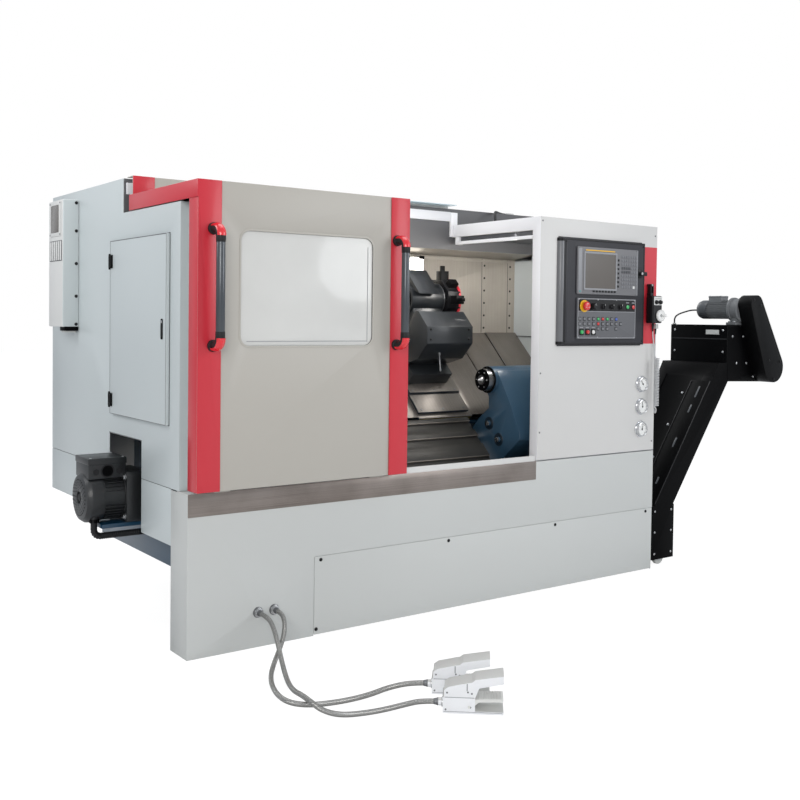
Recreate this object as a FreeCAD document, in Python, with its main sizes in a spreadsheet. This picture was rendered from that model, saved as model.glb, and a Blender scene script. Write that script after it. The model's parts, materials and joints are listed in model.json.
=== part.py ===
import FreeCAD, Part
import math
import os
import re

import Sketcher

# CNC turning lathe with a slanted bed, a sliding door, a chip conveyor and two foot pedals.
# Millimetres. While it is built, X runs to the operator's right, Y runs away from the operator
# and Z is up, from the front left corner of the base. Every piece is moved by the last placement
# to the machine's own frame, whose origin is on the floor under the middle of the machine.

V = FreeCAD.Vector
doc = FreeCAD.newDocument("TurningLathe")
sizes = doc.addObject("Spreadsheet::Sheet", "Sizes")

SIZES = [
    # frame
    ("origin_right", 1584.5, "origin from the base's left end"),
    ("origin_back", 674.0, "origin from the base's front"),
    ("sheet", 3.0, "thickness of the sheet metal"),
    ("fit_gap", 0.3, "gap between two pieces that meet"),
    ("shadow_gap", 2.0, "visible gap round a removable sheet"),
    # base
    ("base_long", 2404.0, "length of the base"),
    ("skirt_deep", 141.0, "depth of the front skirt"),
    ("skirt_high", 574.0, "height of the front skirt"),
    ("strip_low", 496.0, "lower edge of the steel strip"),
    ("strip_gap", 6.0, "gap between the steel strip and the control cabinet"),
    ("strip_thick", 2.0, "thickness of the steel strip"),
    ("door_sill", 90.0, "depth of the sill behind the strip"),
    ("lower_left", 509.0, "left edge of the lower front sheet"),
    ("lower_high", 299.0, "upper edge of the lower front sheet"),
    ("screw_head", 7.0, "radius of a cover screw's head"),
    ("screw_proud", 4.0, "height of a cover screw's head"),
    # left side
    ("corner_back", 73.0, "front corner of the left side"),
    ("low_roof", 1589.0, "top of the low front part"),
    ("step_back", 616.0, "front of the high rear part"),
    ("high_roof", 1723.0, "top of the high rear part"),
    ("machine_deep", 1491.0, "depth of the housing"),
    ("side_low_front", 374.0, "lower edge of the side, front"),
    ("side_low_rear", 393.0, "lower edge of the side, rear"),
    ("side_seam", 577.0, "seam between upper and lower side"),
    ("notch_front", 417.0, "front edge of the motor notch"),
    ("notch_rear", 754.0, "rear edge of the motor notch"),
    ("notch_top", 721.0, "top of the motor notch"),
    ("hatch_front", 161.0, "front edge of the side hatch"),
    ("hatch_rear", 717.0, "hinge edge of the side hatch"),
    ("hatch_low", 800.0, "lower edge of the side hatch"),
    ("hatch_top", 1484.0, "top edge of the side hatch"),
    ("hatch_thick", 20.0, "thickness of the side hatch"),
    # sliding door
    ("door_front", 68.0, "door's front face ahead of the base"),
    ("door_deep", 71.0, "depth of the door's front part"),
    ("door_wide", 880.0, "width of the door"),
    ("door_low", 591.0, "lower edge of the door"),
    ("door_top", 1652.0, "top of the door"),
    ("door_roof_low", 1592.0, "underside of the door's roof bar"),
    ("door_roof_back", 545.0, "rear end of the door's roof"),
    ("door_post_top", 1727.0, "top of the door's rear upstand"),
    ("door_post_back", 600.0, "back of the door's rear upstand"),
    ("trim_wide", 86.0, "width of the red edge"),
    ("window_left", 160.0, "left edge of the door window"),
    ("window_long", 554.0, "width of the door window"),
    ("window_low", 1087.0, "lower edge of the door window"),
    ("window_top", 1491.0, "top edge of the door window"),
    ("window_round", 38.0, "corner radius of the door window"),
    ("glass_thick", 8.0, "thickness of the window pane"),
    ("handle_left", 54.5, "left handle from the door's left edge"),
    ("handle_in", 60.5, "right handle from the door's right edge"),
    ("handle_low", 1074.0, "lower end of a handle"),
    ("handle_top", 1505.0, "upper end of a handle"),
    ("handle_tube", 16.5, "radius of a handle's tube"),
    ("handle_reach", 59.5, "axis of a handle ahead of the door"),
    ("rail_low", 1662.0, "lower edge of the door's top rail"),
    ("rail_top", 1706.0, "top of the door's top rail"),
    ("rail_deep", 12.0, "thickness of the door's top rail"),
    # control cabinet
    ("cabinet_left", 1640.0, "left edge of the control cabinet"),
    ("cabinet_top", 1644.0, "top of the control cabinet"),
    ("cabinet_deep", 50.0, "depth of the cabinet's front box"),
    ("beam_low", 1587.0, "underside of the cabinet's roof box"),
    ("console_in", 111.0, "console from the base's right end"),
    ("console_long", 553.0, "width of the console"),
    ("console_low", 1084.0, "lower edge of the console"),
    ("console_top", 1558.0, "top edge of the console"),
    ("console_proud", 22.0, "console's face ahead of the cabinet"),
    ("display_in", 99.0, "display unit from the console's left edge"),
    ("display_long", 396.0, "width of the display unit"),
    ("display_low", 1311.0, "lower edge of the display unit"),
    ("display_top", 1523.0, "top edge of the display unit"),
    ("operator_in", 102.0, "operator panel from the console's left edge"),
    ("operator_long", 382.0, "width of the operator panel"),
    ("operator_low", 1112.0, "lower edge of the operator panel"),
    ("operator_top", 1294.0, "top edge of the operator panel"),
    ("unit_thick", 9.0, "thickness of the display and operator units"),
    ("gauge_in", 95.0, "axis of the gauges from the base's right end"),
    ("gauge_first", 896.0, "height of the upper gauge"),
    ("gauge_step", 107.0, "distance from gauge to gauge"),
    ("gauge_flange", 39.5, "radius of a gauge's flange"),
    ("gauge_glass", 31.0, "radius of a gauge's glass"),
    # chamber
    ("chamber_left", 700.0, "left wall of the work chamber"),
    ("chamber_in", 204.0, "right wall of the work chamber from the base's right end"),
    ("chamber_rear", 780.0, "rear wall of the work chamber"),
    ("chamber_rear_top", 1505.0, "top of the chamber's rear wall"),
    ("gutter_high", 1527.0, "front edge of the gutter over the chamber"),
    # slanted bed: distances along the slant and square to it
    ("slant_back", 250.0, "foot of the slant from the front"),
    ("slant_high", 464.6, "foot of the slant above the floor"),
    ("cover_off", 100.0, "way covers above the bed's face"),
    ("way_high", 25.0, "height of the ways"),
    ("bed_left", 200.0, "left end of the bed's main beam"),
    ("bed_foot_left", 60.0, "left end of the bed's foot"),
    ("bed_in", 254.0, "right end of the bed from the base's right end"),
    ("bed_low", 265.0, "underside of the bed"),
    ("bed_foot_high", 120.0, "height of the bed's foot"),
    ("bed_front", 400.0, "front of the bed's beam"),
    ("bed_rear", 1000.0, "rear of the bed's beam"),
    ("bed_nose_low", 345.0, "underside of the bed's nose"),
    ("bed_crest", 934.6, "top of the bed's beam"),
    ("foot_high", 40.0, "height of the levelling feet"),
    # spindle line
    ("axis_back", 300.0, "spindle axis from the front"),
    ("axis_high", 917.0, "spindle axis above the floor"),
    ("head_left", 200.0, "left end of the headstock"),
    ("head_right", 690.0, "right end of the headstock"),
    ("spindle_round", 60.0, "radius of the spindle"),
    ("spindle_hole", 26.0, "radius of the hole through the spindle"),
    ("nose_round", 98.0, "radius of the spindle's flange"),
    ("chuck_round", 105.0, "radius of the chuck"),
    ("chuck_left", 720.0, "back face of the chuck"),
    ("chuck_long", 84.0, "length of the chuck"),
    ("chuck_hole", 28.0, "radius of the hole through the chuck"),
    ("jaw_wide", 25.4, "width of a jaw"),
    ("jaw_slot", 26.0, "width of a jaw's slot"),
    ("jaw_deep", 31.0, "depth of a jaw in the chuck"),
    ("jaw_out", 42.0, "length of a jaw ahead of the chuck"),
    ("jaw_inner", 38.0, "grip radius of the jaws"),
    ("jaw_outer", 98.0, "outer radius of the jaws"),
    ("head_pulley", 95.0, "radius of the spindle's pulley"),
    ("motor_pulley_round", 60.0, "radius of the motor's pulley"),
    ("belt_left", 92.0, "left edge of the belt"),
    ("belt_wide", 48.0, "width of the belt"),
    ("belt_thick", 7.0, "thickness of the belt"),
    # main motor
    ("motor_back", 585.0, "motor axis from the front"),
    ("motor_high", 497.0, "motor axis above the floor"),
    ("motor_round", 88.0, "radius of the motor's frame"),
    ("cowl_round", 97.0, "radius of the motor's fan cowl"),
    ("cowl_left", -181.0, "left end of the fan cowl"),
    ("cowl_long", 66.0, "length of the fan cowl"),
    ("frame_right", -20.0, "right end of the motor's frame"),
    ("flange_right", 58.0, "right face of the motor's flange"),
    ("flange_half", 97.0, "half width of the motor's flange"),
    # tool carriage
    ("saddle_left", 1290.0, "left end of the carriage"),
    ("saddle_right", 1600.0, "right end of the carriage"),
    ("saddle_foot", 300.0, "lower end of the carriage along the slant"),
    ("saddle_crest", 700.0, "upper end of the carriage along the slant"),
    ("slide_left", 1300.0, "left side of the cross slide"),
    ("slide_right", 1525.0, "right side of the cross slide"),
    ("slide_foot", 480.0, "lower end of the cross slide"),
    ("slide_crest", 800.0, "upper end of the cross slide"),
    ("slide_off", 126.0, "cross slide above the bed's face"),
    ("slide_thick", 64.0, "thickness of the cross slide"),
    ("nose_left", 1280.0, "left end of the tool head's nose"),
    ("nose_right", 1540.0, "right end of the tool head's nose"),
    ("turret_back", 600.0, "turret axis from the front"),
    ("turret_high", 1283.0, "turret axis above the floor"),
    ("turret_left", 1536.0, "left face of the turret disc"),
    ("turret_long", 74.0, "thickness of the turret disc"),
    ("turret_flat", 93.0, "half width of the turret disc over its flats"),
    ("turret_case", 78.0, "radius of the turret's case"),
    # tailstock
    ("tail_left", 1620.0, "left face of the tailstock"),
    ("tail_long", 340.0, "length of the tailstock"),
    ("barrel_round", 62.0, "radius of the tailstock's barrel"),
    ("quill_round", 50.0, "radius of the quill"),
    ("quill_left", 1571.0, "front face of the quill"),
    ("quill_long", 340.0, "length of the quill"),
    ("centre_round", 22.0, "radius of the live centre"),
    ("centre_tip", 1548.0, "point of the live centre"),
    ("centre_deep", 24.0, "depth of the live centre in the quill"),
    # chip conveyor
    ("conveyor_front", 15.0, "front side of the conveyor"),
    ("conveyor_wide", 360.0, "width of the conveyor"),
    ("conveyor_step", 21.0, "conveyor's box right of the base"),
    ("conveyor_box_long", 160.0, "length of the conveyor's box"),
    ("conveyor_box_low", 34.0, "underside of the conveyor's box"),
    ("conveyor_box_top", 296.0, "top of the conveyor's box"),
    ("conveyor_inner", 760.0, "left end of the conveyor under the machine"),
    ("trunk_foot_in", 24.0, "upper edge of the trunk in from the box"),
    ("trunk_foot_out", 14.0, "lower edge of the trunk in from the box"),
    ("trunk_lean", 449.0, "upper edge of the trunk's head right of the box"),
    ("trunk_thick", 117.0, "thickness of the trunk's head"),
    ("trunk_head_high", 905.0, "top end of the trunk"),
    ("hood_lap", 13.0, "conveyor's head over the trunk"),
    ("hood_long", 362.0, "length of the conveyor's head"),
    ("hood_low", 882.0, "underside of the conveyor's head"),
    ("hood_top", 1180.0, "top of the conveyor's head"),
    ("guard_deep", 80.0, "depth of the chain guard"),
    ("guard_top_in", 135.0, "upper shaft from the head's left side"),
    ("guard_top_high", 1285.0, "upper shaft above the floor"),
    ("guard_low_in", 292.0, "lower shaft from the head's left side"),
    ("guard_low_high", 962.0, "lower shaft above the floor"),
    ("guard_top_round", 50.0, "upper radius of the chain guard"),
    ("guard_low_round", 80.0, "lower radius of the chain guard"),
    ("gear_round", 64.0, "radius of the gearmotor's flange"),
    ("gear_motor_round", 50.0, "radius of the gearmotor"),
    ("gear_motor_long", 190.0, "length of the gearmotor"),
    ("caster_round", 32.5, "radius of a conveyor wheel"),
    ("caster_wide", 22.0, "width of a conveyor wheel"),
    # rear cooler
    ("cooler_proud", 70.0, "cooler's face ahead of the left side"),
    ("cooler_front", 1130.0, "front of the cooler"),
    ("cooler_rear", 1321.0, "rear of the cooler"),
    ("cooler_low", 1138.0, "underside of the cooler"),
    ("cooler_top", 1683.0, "top of the cooler"),
    # pendant
    ("pendant_in", 83.0, "pendant from the base's right end"),
    ("pendant_wide", 81.0, "width of the pendant"),
    ("pendant_low", 1185.0, "underside of the pendant"),
    ("pendant_top", 1314.0, "top of the pendant"),
    ("pendant_deep", 44.0, "depth of the pendant"),
    ("pendant_gap", 10.0, "pendant ahead of the cabinet"),
    ("dial_round", 28.0, "radius of the pendant's dial"),
    # pedals
    ("pedal_long", 184.0, "length of a pedal"),
    ("pedal_wide", 82.0, "width of a pedal"),
    ("pedal_body", 98.0, "length of a pedal's body"),
    ("pedal_seam", 49.0, "height of a pedal's lower half"),
    ("pedal_wall", 5.0, "wall of a pedal"),
    ("guard_crest", 118.0, "height of a pedal's guard"),
    ("pedal_gland", 20.0, "height of a pedal's conduit"),
    ("conduit_round", 8.3, "radius of a pedal's conduit"),
    ("gland_round", 12.0, "radius of a conduit's gland"),
    ("gland_long", 14.0, "length of a conduit's gland"),
    ("gland_high", 127.0, "height of the conduits' glands"),
    ("gland_left_at", 275.0, "left gland from the base's left end"),
    ("gland_right_at", 341.0, "right gland from the base's left end"),
]
# places that follow from the sizes above
FOLLOWS = {
    "strip_long": "cabinet_left - strip_gap",
    "window_right": "window_left + window_long",
    "handle_right": "door_wide - handle_in",
    "console_right": "base_long - console_in",
    "console_left": "console_right - console_long",
    "display_left": "console_left + display_in",
    "display_right": "display_left + display_long",
    "operator_left": "console_left + operator_in",
    "operator_right": "operator_left + operator_long",
    "gauge_right": "base_long - gauge_in",
    "chamber_right": "base_long - chamber_in",
    "bed_right": "base_long - bed_in",
    "conveyor_box_left": "base_long + conveyor_step",
    "conveyor_box_right": "conveyor_box_left + conveyor_box_long",
    "trunk_foot_left": "conveyor_box_left + trunk_foot_in",
    "trunk_foot_right": "conveyor_box_right - trunk_foot_out",
    "trunk_head_left": "conveyor_box_left + trunk_lean",
    "trunk_head_right": "trunk_head_left + trunk_thick",
    "hood_left": "trunk_head_right - hood_lap",
    "hood_right": "hood_left + hood_long",
    "guard_top_right": "hood_left + guard_top_in",
    "guard_low_right": "hood_left + guard_low_in",
    "pendant_left": "base_long - pendant_in",
    "pendant_right": "pendant_left + pendant_wide",
    "caster_at": "conveyor_box_left + conveyor_box_long * 0.55",
}
VALUE = {}
for row, (alias, value, note) in enumerate(SIZES, 1):
    sizes.set("A%d" % row, note)
    sizes.set("B%d" % row, str(value))
    sizes.setAlias("B%d" % row, alias)
    VALUE[alias] = value
doc.recompute()

SHIFT = 200.0                  # keeps every sketch's coordinates positive
HALF_ROOT = 0.70710678
NODES = {}


def sized(text, sheet="Sizes."):
    """Write a size expression with each named value taken from the sheet."""
    def name(hit):
        word = hit.group(0)
        if word in FOLLOWS:
            return "(" + sized(FOLLOWS[word], sheet) + ")"
        return sheet + word if word in VALUE else word
    return re.sub(r"[A-Za-z_]\w*", name, str(text))


def worth(text):
    """Work out a size expression."""
    return float(sizes.evalExpression(sized(text, "")))


S = dict(VALUE)                # short name for code that places patterns
for follower in FOLLOWS:
    S[follower] = worth(follower)


def bind(obj, prop, text):
    """Bind one property of an object to a size expression."""
    obj.setExpression(prop, sized(text))


def place(obj, at, rotation=None):
    """Place an object, with its position bound to size expressions."""
    if rotation is not None:
        obj.Placement = FreeCAD.Placement(V(0, 0, 0), rotation)
    for axis, text in zip("xyz", at):
        bind(obj, "Placement.Base." + axis, text)


def box(name, at, long, deep, high, rotation=None):
    """A block with its corner at a point."""
    obj = doc.addObject("Part::Box", name)
    for prop, text in (("Length", long), ("Width", deep), ("Height", high)):
        bind(obj, prop, text)
    place(obj, at, rotation)
    return obj


TURN = {
    "z": FreeCAD.Rotation(),
    "x": FreeCAD.Rotation(V(0, 1, 0), 90),
    "y": FreeCAD.Rotation(V(1, 0, 0), -90),
    "-x": FreeCAD.Rotation(V(0, 1, 0), -90),
    "-y": FreeCAD.Rotation(V(1, 0, 0), 90),
}
SLANT = FreeCAD.Rotation(V(1, 0, 0), 45)


def rod(name, at, radius, long, axis="z"):
    """A cylinder that starts at a point and runs along an axis."""
    obj = doc.addObject("Part::Cylinder", name)
    bind(obj, "Radius", radius)
    bind(obj, "Height", long)
    place(obj, at, TURN[axis])
    return obj


def cone(name, at, radius, end_radius, long, axis="z"):
    """A cone that starts at a point and runs along an axis."""
    obj = doc.addObject("Part::Cone", name)
    bind(obj, "Radius1", radius)
    bind(obj, "Radius2", end_radius)
    bind(obj, "Height", long)
    place(obj, at, TURN[axis])
    return obj


def slab(name, left, along, off, long, run, thick):
    """A block that lies on the slanted bed: along the slant and off its face."""
    at = (left,
          "slant_back + ((%s) - (%s)) * %s" % (along, off, HALF_ROOT),
          "slant_high + ((%s) + (%s)) * %s" % (along, off, HALF_ROOT))
    return box(name, at, long, run, thick, SLANT)


def prism(name, plane, corners, start, long):
    """Extrude a polygon: plane side (Y, Z along X), front (X, Z along Y) or slant."""
    sketch = doc.addObject("Sketcher::SketchObject", name + "_outline")
    side = FreeCAD.Rotation(V(0, 1, 0), V(0, 0, 1), V(1, 0, 0), "XYZ")
    if plane == "side":
        sketch.Placement = FreeCAD.Placement(V(0, -SHIFT, 0), side)
        bind(sketch, "Placement.Base.x", start)
        shift, lift = SHIFT, 0.0
    elif plane == "front":
        turned = FreeCAD.Rotation(V(1, 0, 0), 90)
        sketch.Placement = FreeCAD.Placement(V(0, 0, 0), turned)
        bind(sketch, "Placement.Base.y", "(%s) + (%s)" % (start, long))
        shift, lift = 0.0, 0.0
    else:
        sketch.Placement = FreeCAD.Placement(V(0, 0, 0), SLANT.multiply(side))
        shift, lift = SHIFT, SHIFT
        bind(sketch, "Placement.Base.x", start)
        bind(sketch, "Placement.Base.y", "slant_back")
        bind(sketch, "Placement.Base.z", "slant_high - %s" % (SHIFT * 2 * HALF_ROOT))
    texts = [("(%s) + %s" % (a, shift), "(%s) + %s" % (b, lift)) for a, b in corners]
    points = [V(worth(a), worth(b), 0) for a, b in texts]
    count = len(points)
    for i in range(count):
        sketch.addGeometry(Part.LineSegment(points[i], points[(i + 1) % count]))
    for i in range(count):
        sketch.addConstraint(Sketcher.Constraint("Coincident", i, 2, (i + 1) % count, 1))
    for i, (a, b) in enumerate(texts):
        for kind, text, value in (("DistanceX", a, points[i].x), ("DistanceY", b, points[i].y)):
            number = sketch.addConstraint(Sketcher.Constraint(kind, -1, 1, i, 1, value))
            sketch.setExpression("Constraints[%d]" % number, sized(text))
    solid = doc.addObject("Part::Extrusion", name)
    solid.Base = sketch
    solid.DirMode = "Normal"
    solid.Solid = True
    bind(solid, "LengthFwd", long)
    return solid


def fuse(name, *parts):
    """Join several shapes that touch into one."""
    obj = doc.addObject("Part::MultiFuse", name)
    obj.Shapes = list(parts)
    obj.Refine = True
    return obj


def cut(name, base, *tools):
    """Take one or more shapes away from a base."""
    tool = tools[0] if len(tools) == 1 else fuse(name + "_tools", *tools)
    obj = doc.addObject("Part::Cut", name)
    obj.Base = base
    obj.Tool = tool
    return obj


def node(label, *parts, at=("0", "0", "0"), rotation=None):
    """Collect the solids of one sub-part and move it to the machine's own frame."""
    obj = doc.addObject("Part::Compound", label)
    obj.Label = label
    obj.Links = list(parts)
    place(obj, ("(%s) - origin_right" % at[0], "(%s) - origin_back" % at[1], at[2]), rotation)
    NODES[label] = obj
    return obj


def spun(name, axis_at, outline):
    """Turn an outline of (x, radius) pairs round a line along X."""
    sketch = doc.addObject("Sketcher::SketchObject", name + "_outline")
    sketch.Placement = FreeCAD.Placement(V(0, 0, 0), FreeCAD.Rotation(V(1, 0, 0), 90))
    bind(sketch, "Placement.Base.y", axis_at[0])
    bind(sketch, "Placement.Base.z", axis_at[1])
    texts = [("(%s) + 400" % a, b) for a, b in outline]
    bind(sketch, "Placement.Base.x", "-400")
    points = [V(worth(a), worth(b), 0) for a, b in texts]
    count = len(points)
    for i in range(count):
        sketch.addGeometry(Part.LineSegment(points[i], points[(i + 1) % count]))
    for i in range(count):
        sketch.addConstraint(Sketcher.Constraint("Coincident", i, 2, (i + 1) % count, 1))
    for i, (a, b) in enumerate(texts):
        for kind, text, value in (("DistanceX", a, points[i].x), ("DistanceY", b, points[i].y)):
            if kind == "DistanceY" and value < 1e-6:
                sketch.addConstraint(Sketcher.Constraint("PointOnObject", i, 1, -1))
                continue
            number = sketch.addConstraint(Sketcher.Constraint(kind, -1, 1, i, 1, value))
            sketch.setExpression("Constraints[%d]" % number, sized(text))
    solid = doc.addObject("Part::Revolution", name)
    solid.Source = sketch
    solid.Axis = V(1, 0, 0)
    bind(solid, "Base.x", "0")
    bind(solid, "Base.y", axis_at[0])
    bind(solid, "Base.z", axis_at[1])
    solid.Angle = 360
    solid.Solid = True
    return solid


def swept(name, points, radius, least, bore=None):
    """A round tube along straight runs joined by tangent arcs; prints its radii and its length."""
    pts = [V(*p) for p in points]
    corners = []
    for i in range(1, len(pts) - 1):
        back, ahead = pts[i - 1] - pts[i], pts[i + 1] - pts[i]
        turn = math.pi - back.getAngle(ahead)
        reach = 0.45 * min(back.Length, ahead.Length)
        bend = reach / math.tan(turn / 2)
        back.normalize()
        ahead.normalize()
        middle = back + ahead
        middle.normalize()
        start = pts[i] + back * reach
        end = pts[i] + ahead * reach
        centre_far = bend / math.cos(turn / 2)
        crown = pts[i] + middle * (centre_far - bend)
        corners.append((start, crown, end, bend, turn))
    edges, at = [], pts[0]
    for start, crown, end, bend, turn in corners:
        edges.append(Part.LineSegment(at, start).toShape())
        edges.append(Part.Arc(start, crown, end).toShape())
        at = end
    edges.append(Part.LineSegment(at, pts[-1]).toShape())
    wire = Part.Wire(edges)
    first = pts[1] - pts[0]
    section = Part.Wire([Part.Circle(pts[0], first, radius).toShape()])
    solid = wire.makePipeShell([section], True, False)
    if bore:
        hole = wire.makePipeShell([Part.Wire([Part.Circle(pts[0], first, bore).toShape()])], True, False)
        solid = solid.cut(hole)
    area = math.pi * (radius ** 2 - (bore or 0) ** 2)
    bends = [c[3] for c in corners]
    print("%s: length %.0f, radii %.0f to %.0f, largest turn %.0f degrees, volume ratio %.4f"
          % (name, wire.Length, min(bends), max(bends), math.degrees(max(c[4] for c in corners)),
             solid.Volume / (area * wire.Length)))
    if min(bends) < least:
        print("%s: bend tighter than %.0f" % (name, least))
    feature = doc.addObject("Part::Feature", name + "_tube")
    feature.Shape = solid
    return feature


# ---------------------------------------------------------------- bed and feet
bed_beam = prism("bed_beam", "side", [
    ("slant_back", "bed_nose_low"), ("bed_front", "bed_nose_low"), ("bed_front", "bed_low"),
    ("bed_rear", "bed_low"), ("bed_rear", "bed_crest - 134"), ("bed_rear - 134", "bed_crest"),
    ("slant_back + bed_crest - slant_high", "bed_crest"), ("slant_back", "slant_high")],
    "bed_left", "bed_right - bed_left")
bed_core = box("bed_core", ("bed_left + 40", "bed_front + 45", "bed_low + 40"),
               "bed_right - bed_left", "bed_rear - bed_front - 90", "330")
bed_foot = box("bed_foot", ("bed_foot_left", "160", "bed_low"), "bed_left - bed_foot_left + 250",
               "bed_rear - 160", "bed_foot_high")
bed_leg_left = box("bed_leg_left", ("bed_left + 220", "bed_front + 40", "foot_high"), "340",
                   "bed_rear - bed_front - 60", "bed_low - foot_high + 20")
bed_leg_right = box("bed_leg_right", ("bed_right - 400", "bed_front + 40", "foot_high"), "340",
                    "bed_rear - bed_front - 60", "bed_low - foot_high + 20")
ways = [slab("way_%d" % i, "head_right + 2", along, "-5", "bed_right - head_right - 2", "40",
             "way_high + 5") for i, along in enumerate(("70", "222", "330", "625"))]
bed_pad = box("motor_pad", ("-120", "motor_back - 85", "bed_low + bed_foot_high - 0"),
              "bed_foot_left + 180", "170", "motor_high - flange_half - bed_low - bed_foot_high")
brackets = [box("housing_bracket_%d" % i, (x, "bed_rear - 1", "520"), "90", "61", "90")
            for i, x in enumerate(("bed_left + 300", "bed_right - 450"))]
bed = cut("bed_shape", fuse("bed_solid", bed_beam, bed_foot, bed_leg_left, bed_leg_right, bed_pad, *ways,
                            *brackets), bed_core)
node("bed_casting", bed)

feet = []
for i, (x, y) in enumerate((x, y) for x in ("bed_left + 280", "bed_left + 500", "bed_right - 350", "bed_right - 110")
                           for y in ("bed_front + 100", "bed_rear - 80")):
    pad = rod("foot_pad_%d" % i, (x, y, "0"), "42", "16")
    stem = rod("foot_stem_%d" % i, (x, y, "10"), "14", "foot_high - 10")
    feet.append(fuse("foot_%d" % i, pad, stem))
node("levelling_feet", *feet)

# ---------------------------------------------------------------- skirt, strip, lower sheet
skirt_face = box("skirt_face", ("0", "0", "0"), "base_long", "sheet", "skirt_high")
skirt_opening = box("skirt_opening", ("lower_left", "-10", "-10"), "base_long", "sheet + 20",
                    "lower_high + 10")
skirt_front = cut("skirt_front", skirt_face, skirt_opening)
skirt_frame = box("skirt_frame", ("lower_left - 20", "sheet", "lower_high - 20"),
                  "base_long - lower_left + 16", "sheet", "50")
skirt_stile = box("skirt_stile", ("lower_left - 20", "sheet", "8"), "45", "sheet", "lower_high")
skirt_rail = box("skirt_rail", ("lower_left - 20", "sheet", "8"), "base_long - lower_left + 16",
                 "sheet", "45")
skirt_left = box("skirt_left", ("0", "sheet", "0"), "sheet", "skirt_deep - sheet", "skirt_high")
skirt_back = box("skirt_back", ("0", "skirt_deep - sheet", "0"), "620", "sheet", "bed_low - 5")
skirt_top = box("skirt_top", ("0", "0", "skirt_high - sheet"), "base_long - 4", "60", "sheet")
gland_bosses = [rod("boss_%d" % i, (x, "-gland_long", "gland_high"), "gland_round + 3", "gland_long + 1", "y")
                for i, x in enumerate(("gland_left_at", "gland_right_at"))]
node("base_skirt", fuse("skirt_shape", skirt_front, skirt_frame, skirt_stile, skirt_rail, skirt_left,
                        skirt_back, skirt_top, *gland_bosses))

node("lower_front_panel", box("lower_sheet", ("lower_left + shadow_gap", "0", "4"),
                              "base_long - lower_left - 2 * shadow_gap", "sheet",
                              "lower_high - shadow_gap - 4"))

strip_face = box("strip_face", ("0", "-strip_thick", "strip_low"), "strip_long", "strip_thick",
                 "skirt_high - strip_low")
strip_sill = box("strip_sill", ("0", "-strip_thick", "skirt_high"), "strip_long",
                 "door_sill + strip_thick", "sheet")
strip_lip = box("strip_lip", ("sheet + 30", "door_deep - door_front + fit_gap", "skirt_high"),
                "strip_long - sheet - 34", "sheet", "26")
strip_drop = box("strip_drop", ("chamber_left + 5", "door_sill - sheet", "300"),
                 "strip_long - chamber_left - 10", "sheet", "skirt_high - 300 + sheet")
node("drip_rail", fuse("strip_shape", strip_face, strip_sill, strip_lip, strip_drop))

# ---------------------------------------------------------------- left side
side_high = prism("side_high", "side", [
    ("corner_back", "side_seam + 1"), ("machine_deep", "side_seam + 1"), ("machine_deep", "high_roof"),
    ("step_back", "high_roof"), ("step_back", "low_roof"), ("corner_back", "low_roof")], "0", "sheet")
hatch_hole = box("hatch_hole", ("-10", "hatch_front + 12", "hatch_low + 12"), "sheet + 20",
                 "hatch_rear - hatch_front - 24", "hatch_top - hatch_low - 24")
motor_hole = box("motor_hole", ("-10", "notch_front", "side_seam - 10"), "sheet + 20",
                 "notch_rear - notch_front", "notch_top - side_seam + 10")
side_return = box("side_return", ("0", "corner_back", "side_seam + 1"), "34", "sheet",
                  "low_roof - side_seam - 1")
side_jamb = box("side_jamb", ("31", "8", "side_seam + 1"), "sheet", "corner_back - 8",
                "low_roof - side_seam - 1")
node("left_upper_panel", fuse("side_high_shape", cut("side_high_cut", side_high, hatch_hole, motor_hole),
                              side_return, side_jamb))
side_low_a = box("side_low_a", ("0", "skirt_deep", "side_low_front"), "sheet",
                 "notch_front - skirt_deep", "side_seam - side_low_front - 1")
side_low_b = box("side_low_b", ("0", "notch_rear", "side_low_rear"), "sheet",
                 "machine_deep - notch_rear", "side_seam - side_low_rear - 1")
node("left_lower_panel", side_low_a, side_low_b)

hatch_leaf = box("hatch_leaf", ("-hatch_thick + 6", "hatch_front", "hatch_low"), "hatch_thick - 6 - fit_gap",
                 "hatch_rear - hatch_front", "hatch_top - hatch_low")
hatch_latch = box("hatch_latch", ("-hatch_thick", "hatch_front + 42", "1094"), "10", "26", "100")
hatch_hinges = [rod("hatch_hinge_%d" % i, ("-hatch_thick + 6", "hatch_rear", z), "7", "62")
                for i, z in enumerate(("1371", "825"))]
node("access_door", fuse("hatch_shape", hatch_leaf, hatch_latch, *hatch_hinges))

# ---------------------------------------------------------------- fixed housing over the headstock
cover_front = box("cover_front", ("31 + sheet", "8", "side_seam + 1"), "chamber_left - 31 - sheet", "sheet",
                  "low_roof - side_seam - 1 - sheet")
cover_roof = box("cover_roof", ("sheet", "corner_back + sheet", "low_roof - sheet"),
                 "chamber_left - sheet", "step_back - corner_back - sheet", "sheet")
cover_roof_front = box("cover_roof_front", ("31 + sheet", "8", "low_roof - sheet"),
                       "chamber_left - 31 - sheet", "corner_back", "sheet")
cover_wall_sheet = box("cover_wall_sheet", ("chamber_left - sheet", "8", "side_seam + 1"), "sheet",
                       "chamber_rear - 8", "low_roof - side_seam - 1 - sheet")
cover_wall_hole = rod("cover_wall_hole", ("chamber_left - 20", "axis_back", "axis_high"),
                      "nose_round + 12", "40", "x")
cover_wall_slot = slab("cover_wall_slot", "chamber_left - 20", "-60", "-420", "40", "920", "way_high + 3 + 420")
cover_wall_notch = box("cover_wall_notch", ("chamber_left - 20", "step_back - 1", "gutter_high - 28"), "40",
                       "400", "200")
cover_wall = cut("cover_wall", cover_wall_sheet, cover_wall_hole, cover_wall_slot, cover_wall_notch)
node("headstock_cover", fuse("headstock_cover_shape", cover_front, cover_roof, cover_roof_front, cover_wall))

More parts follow.
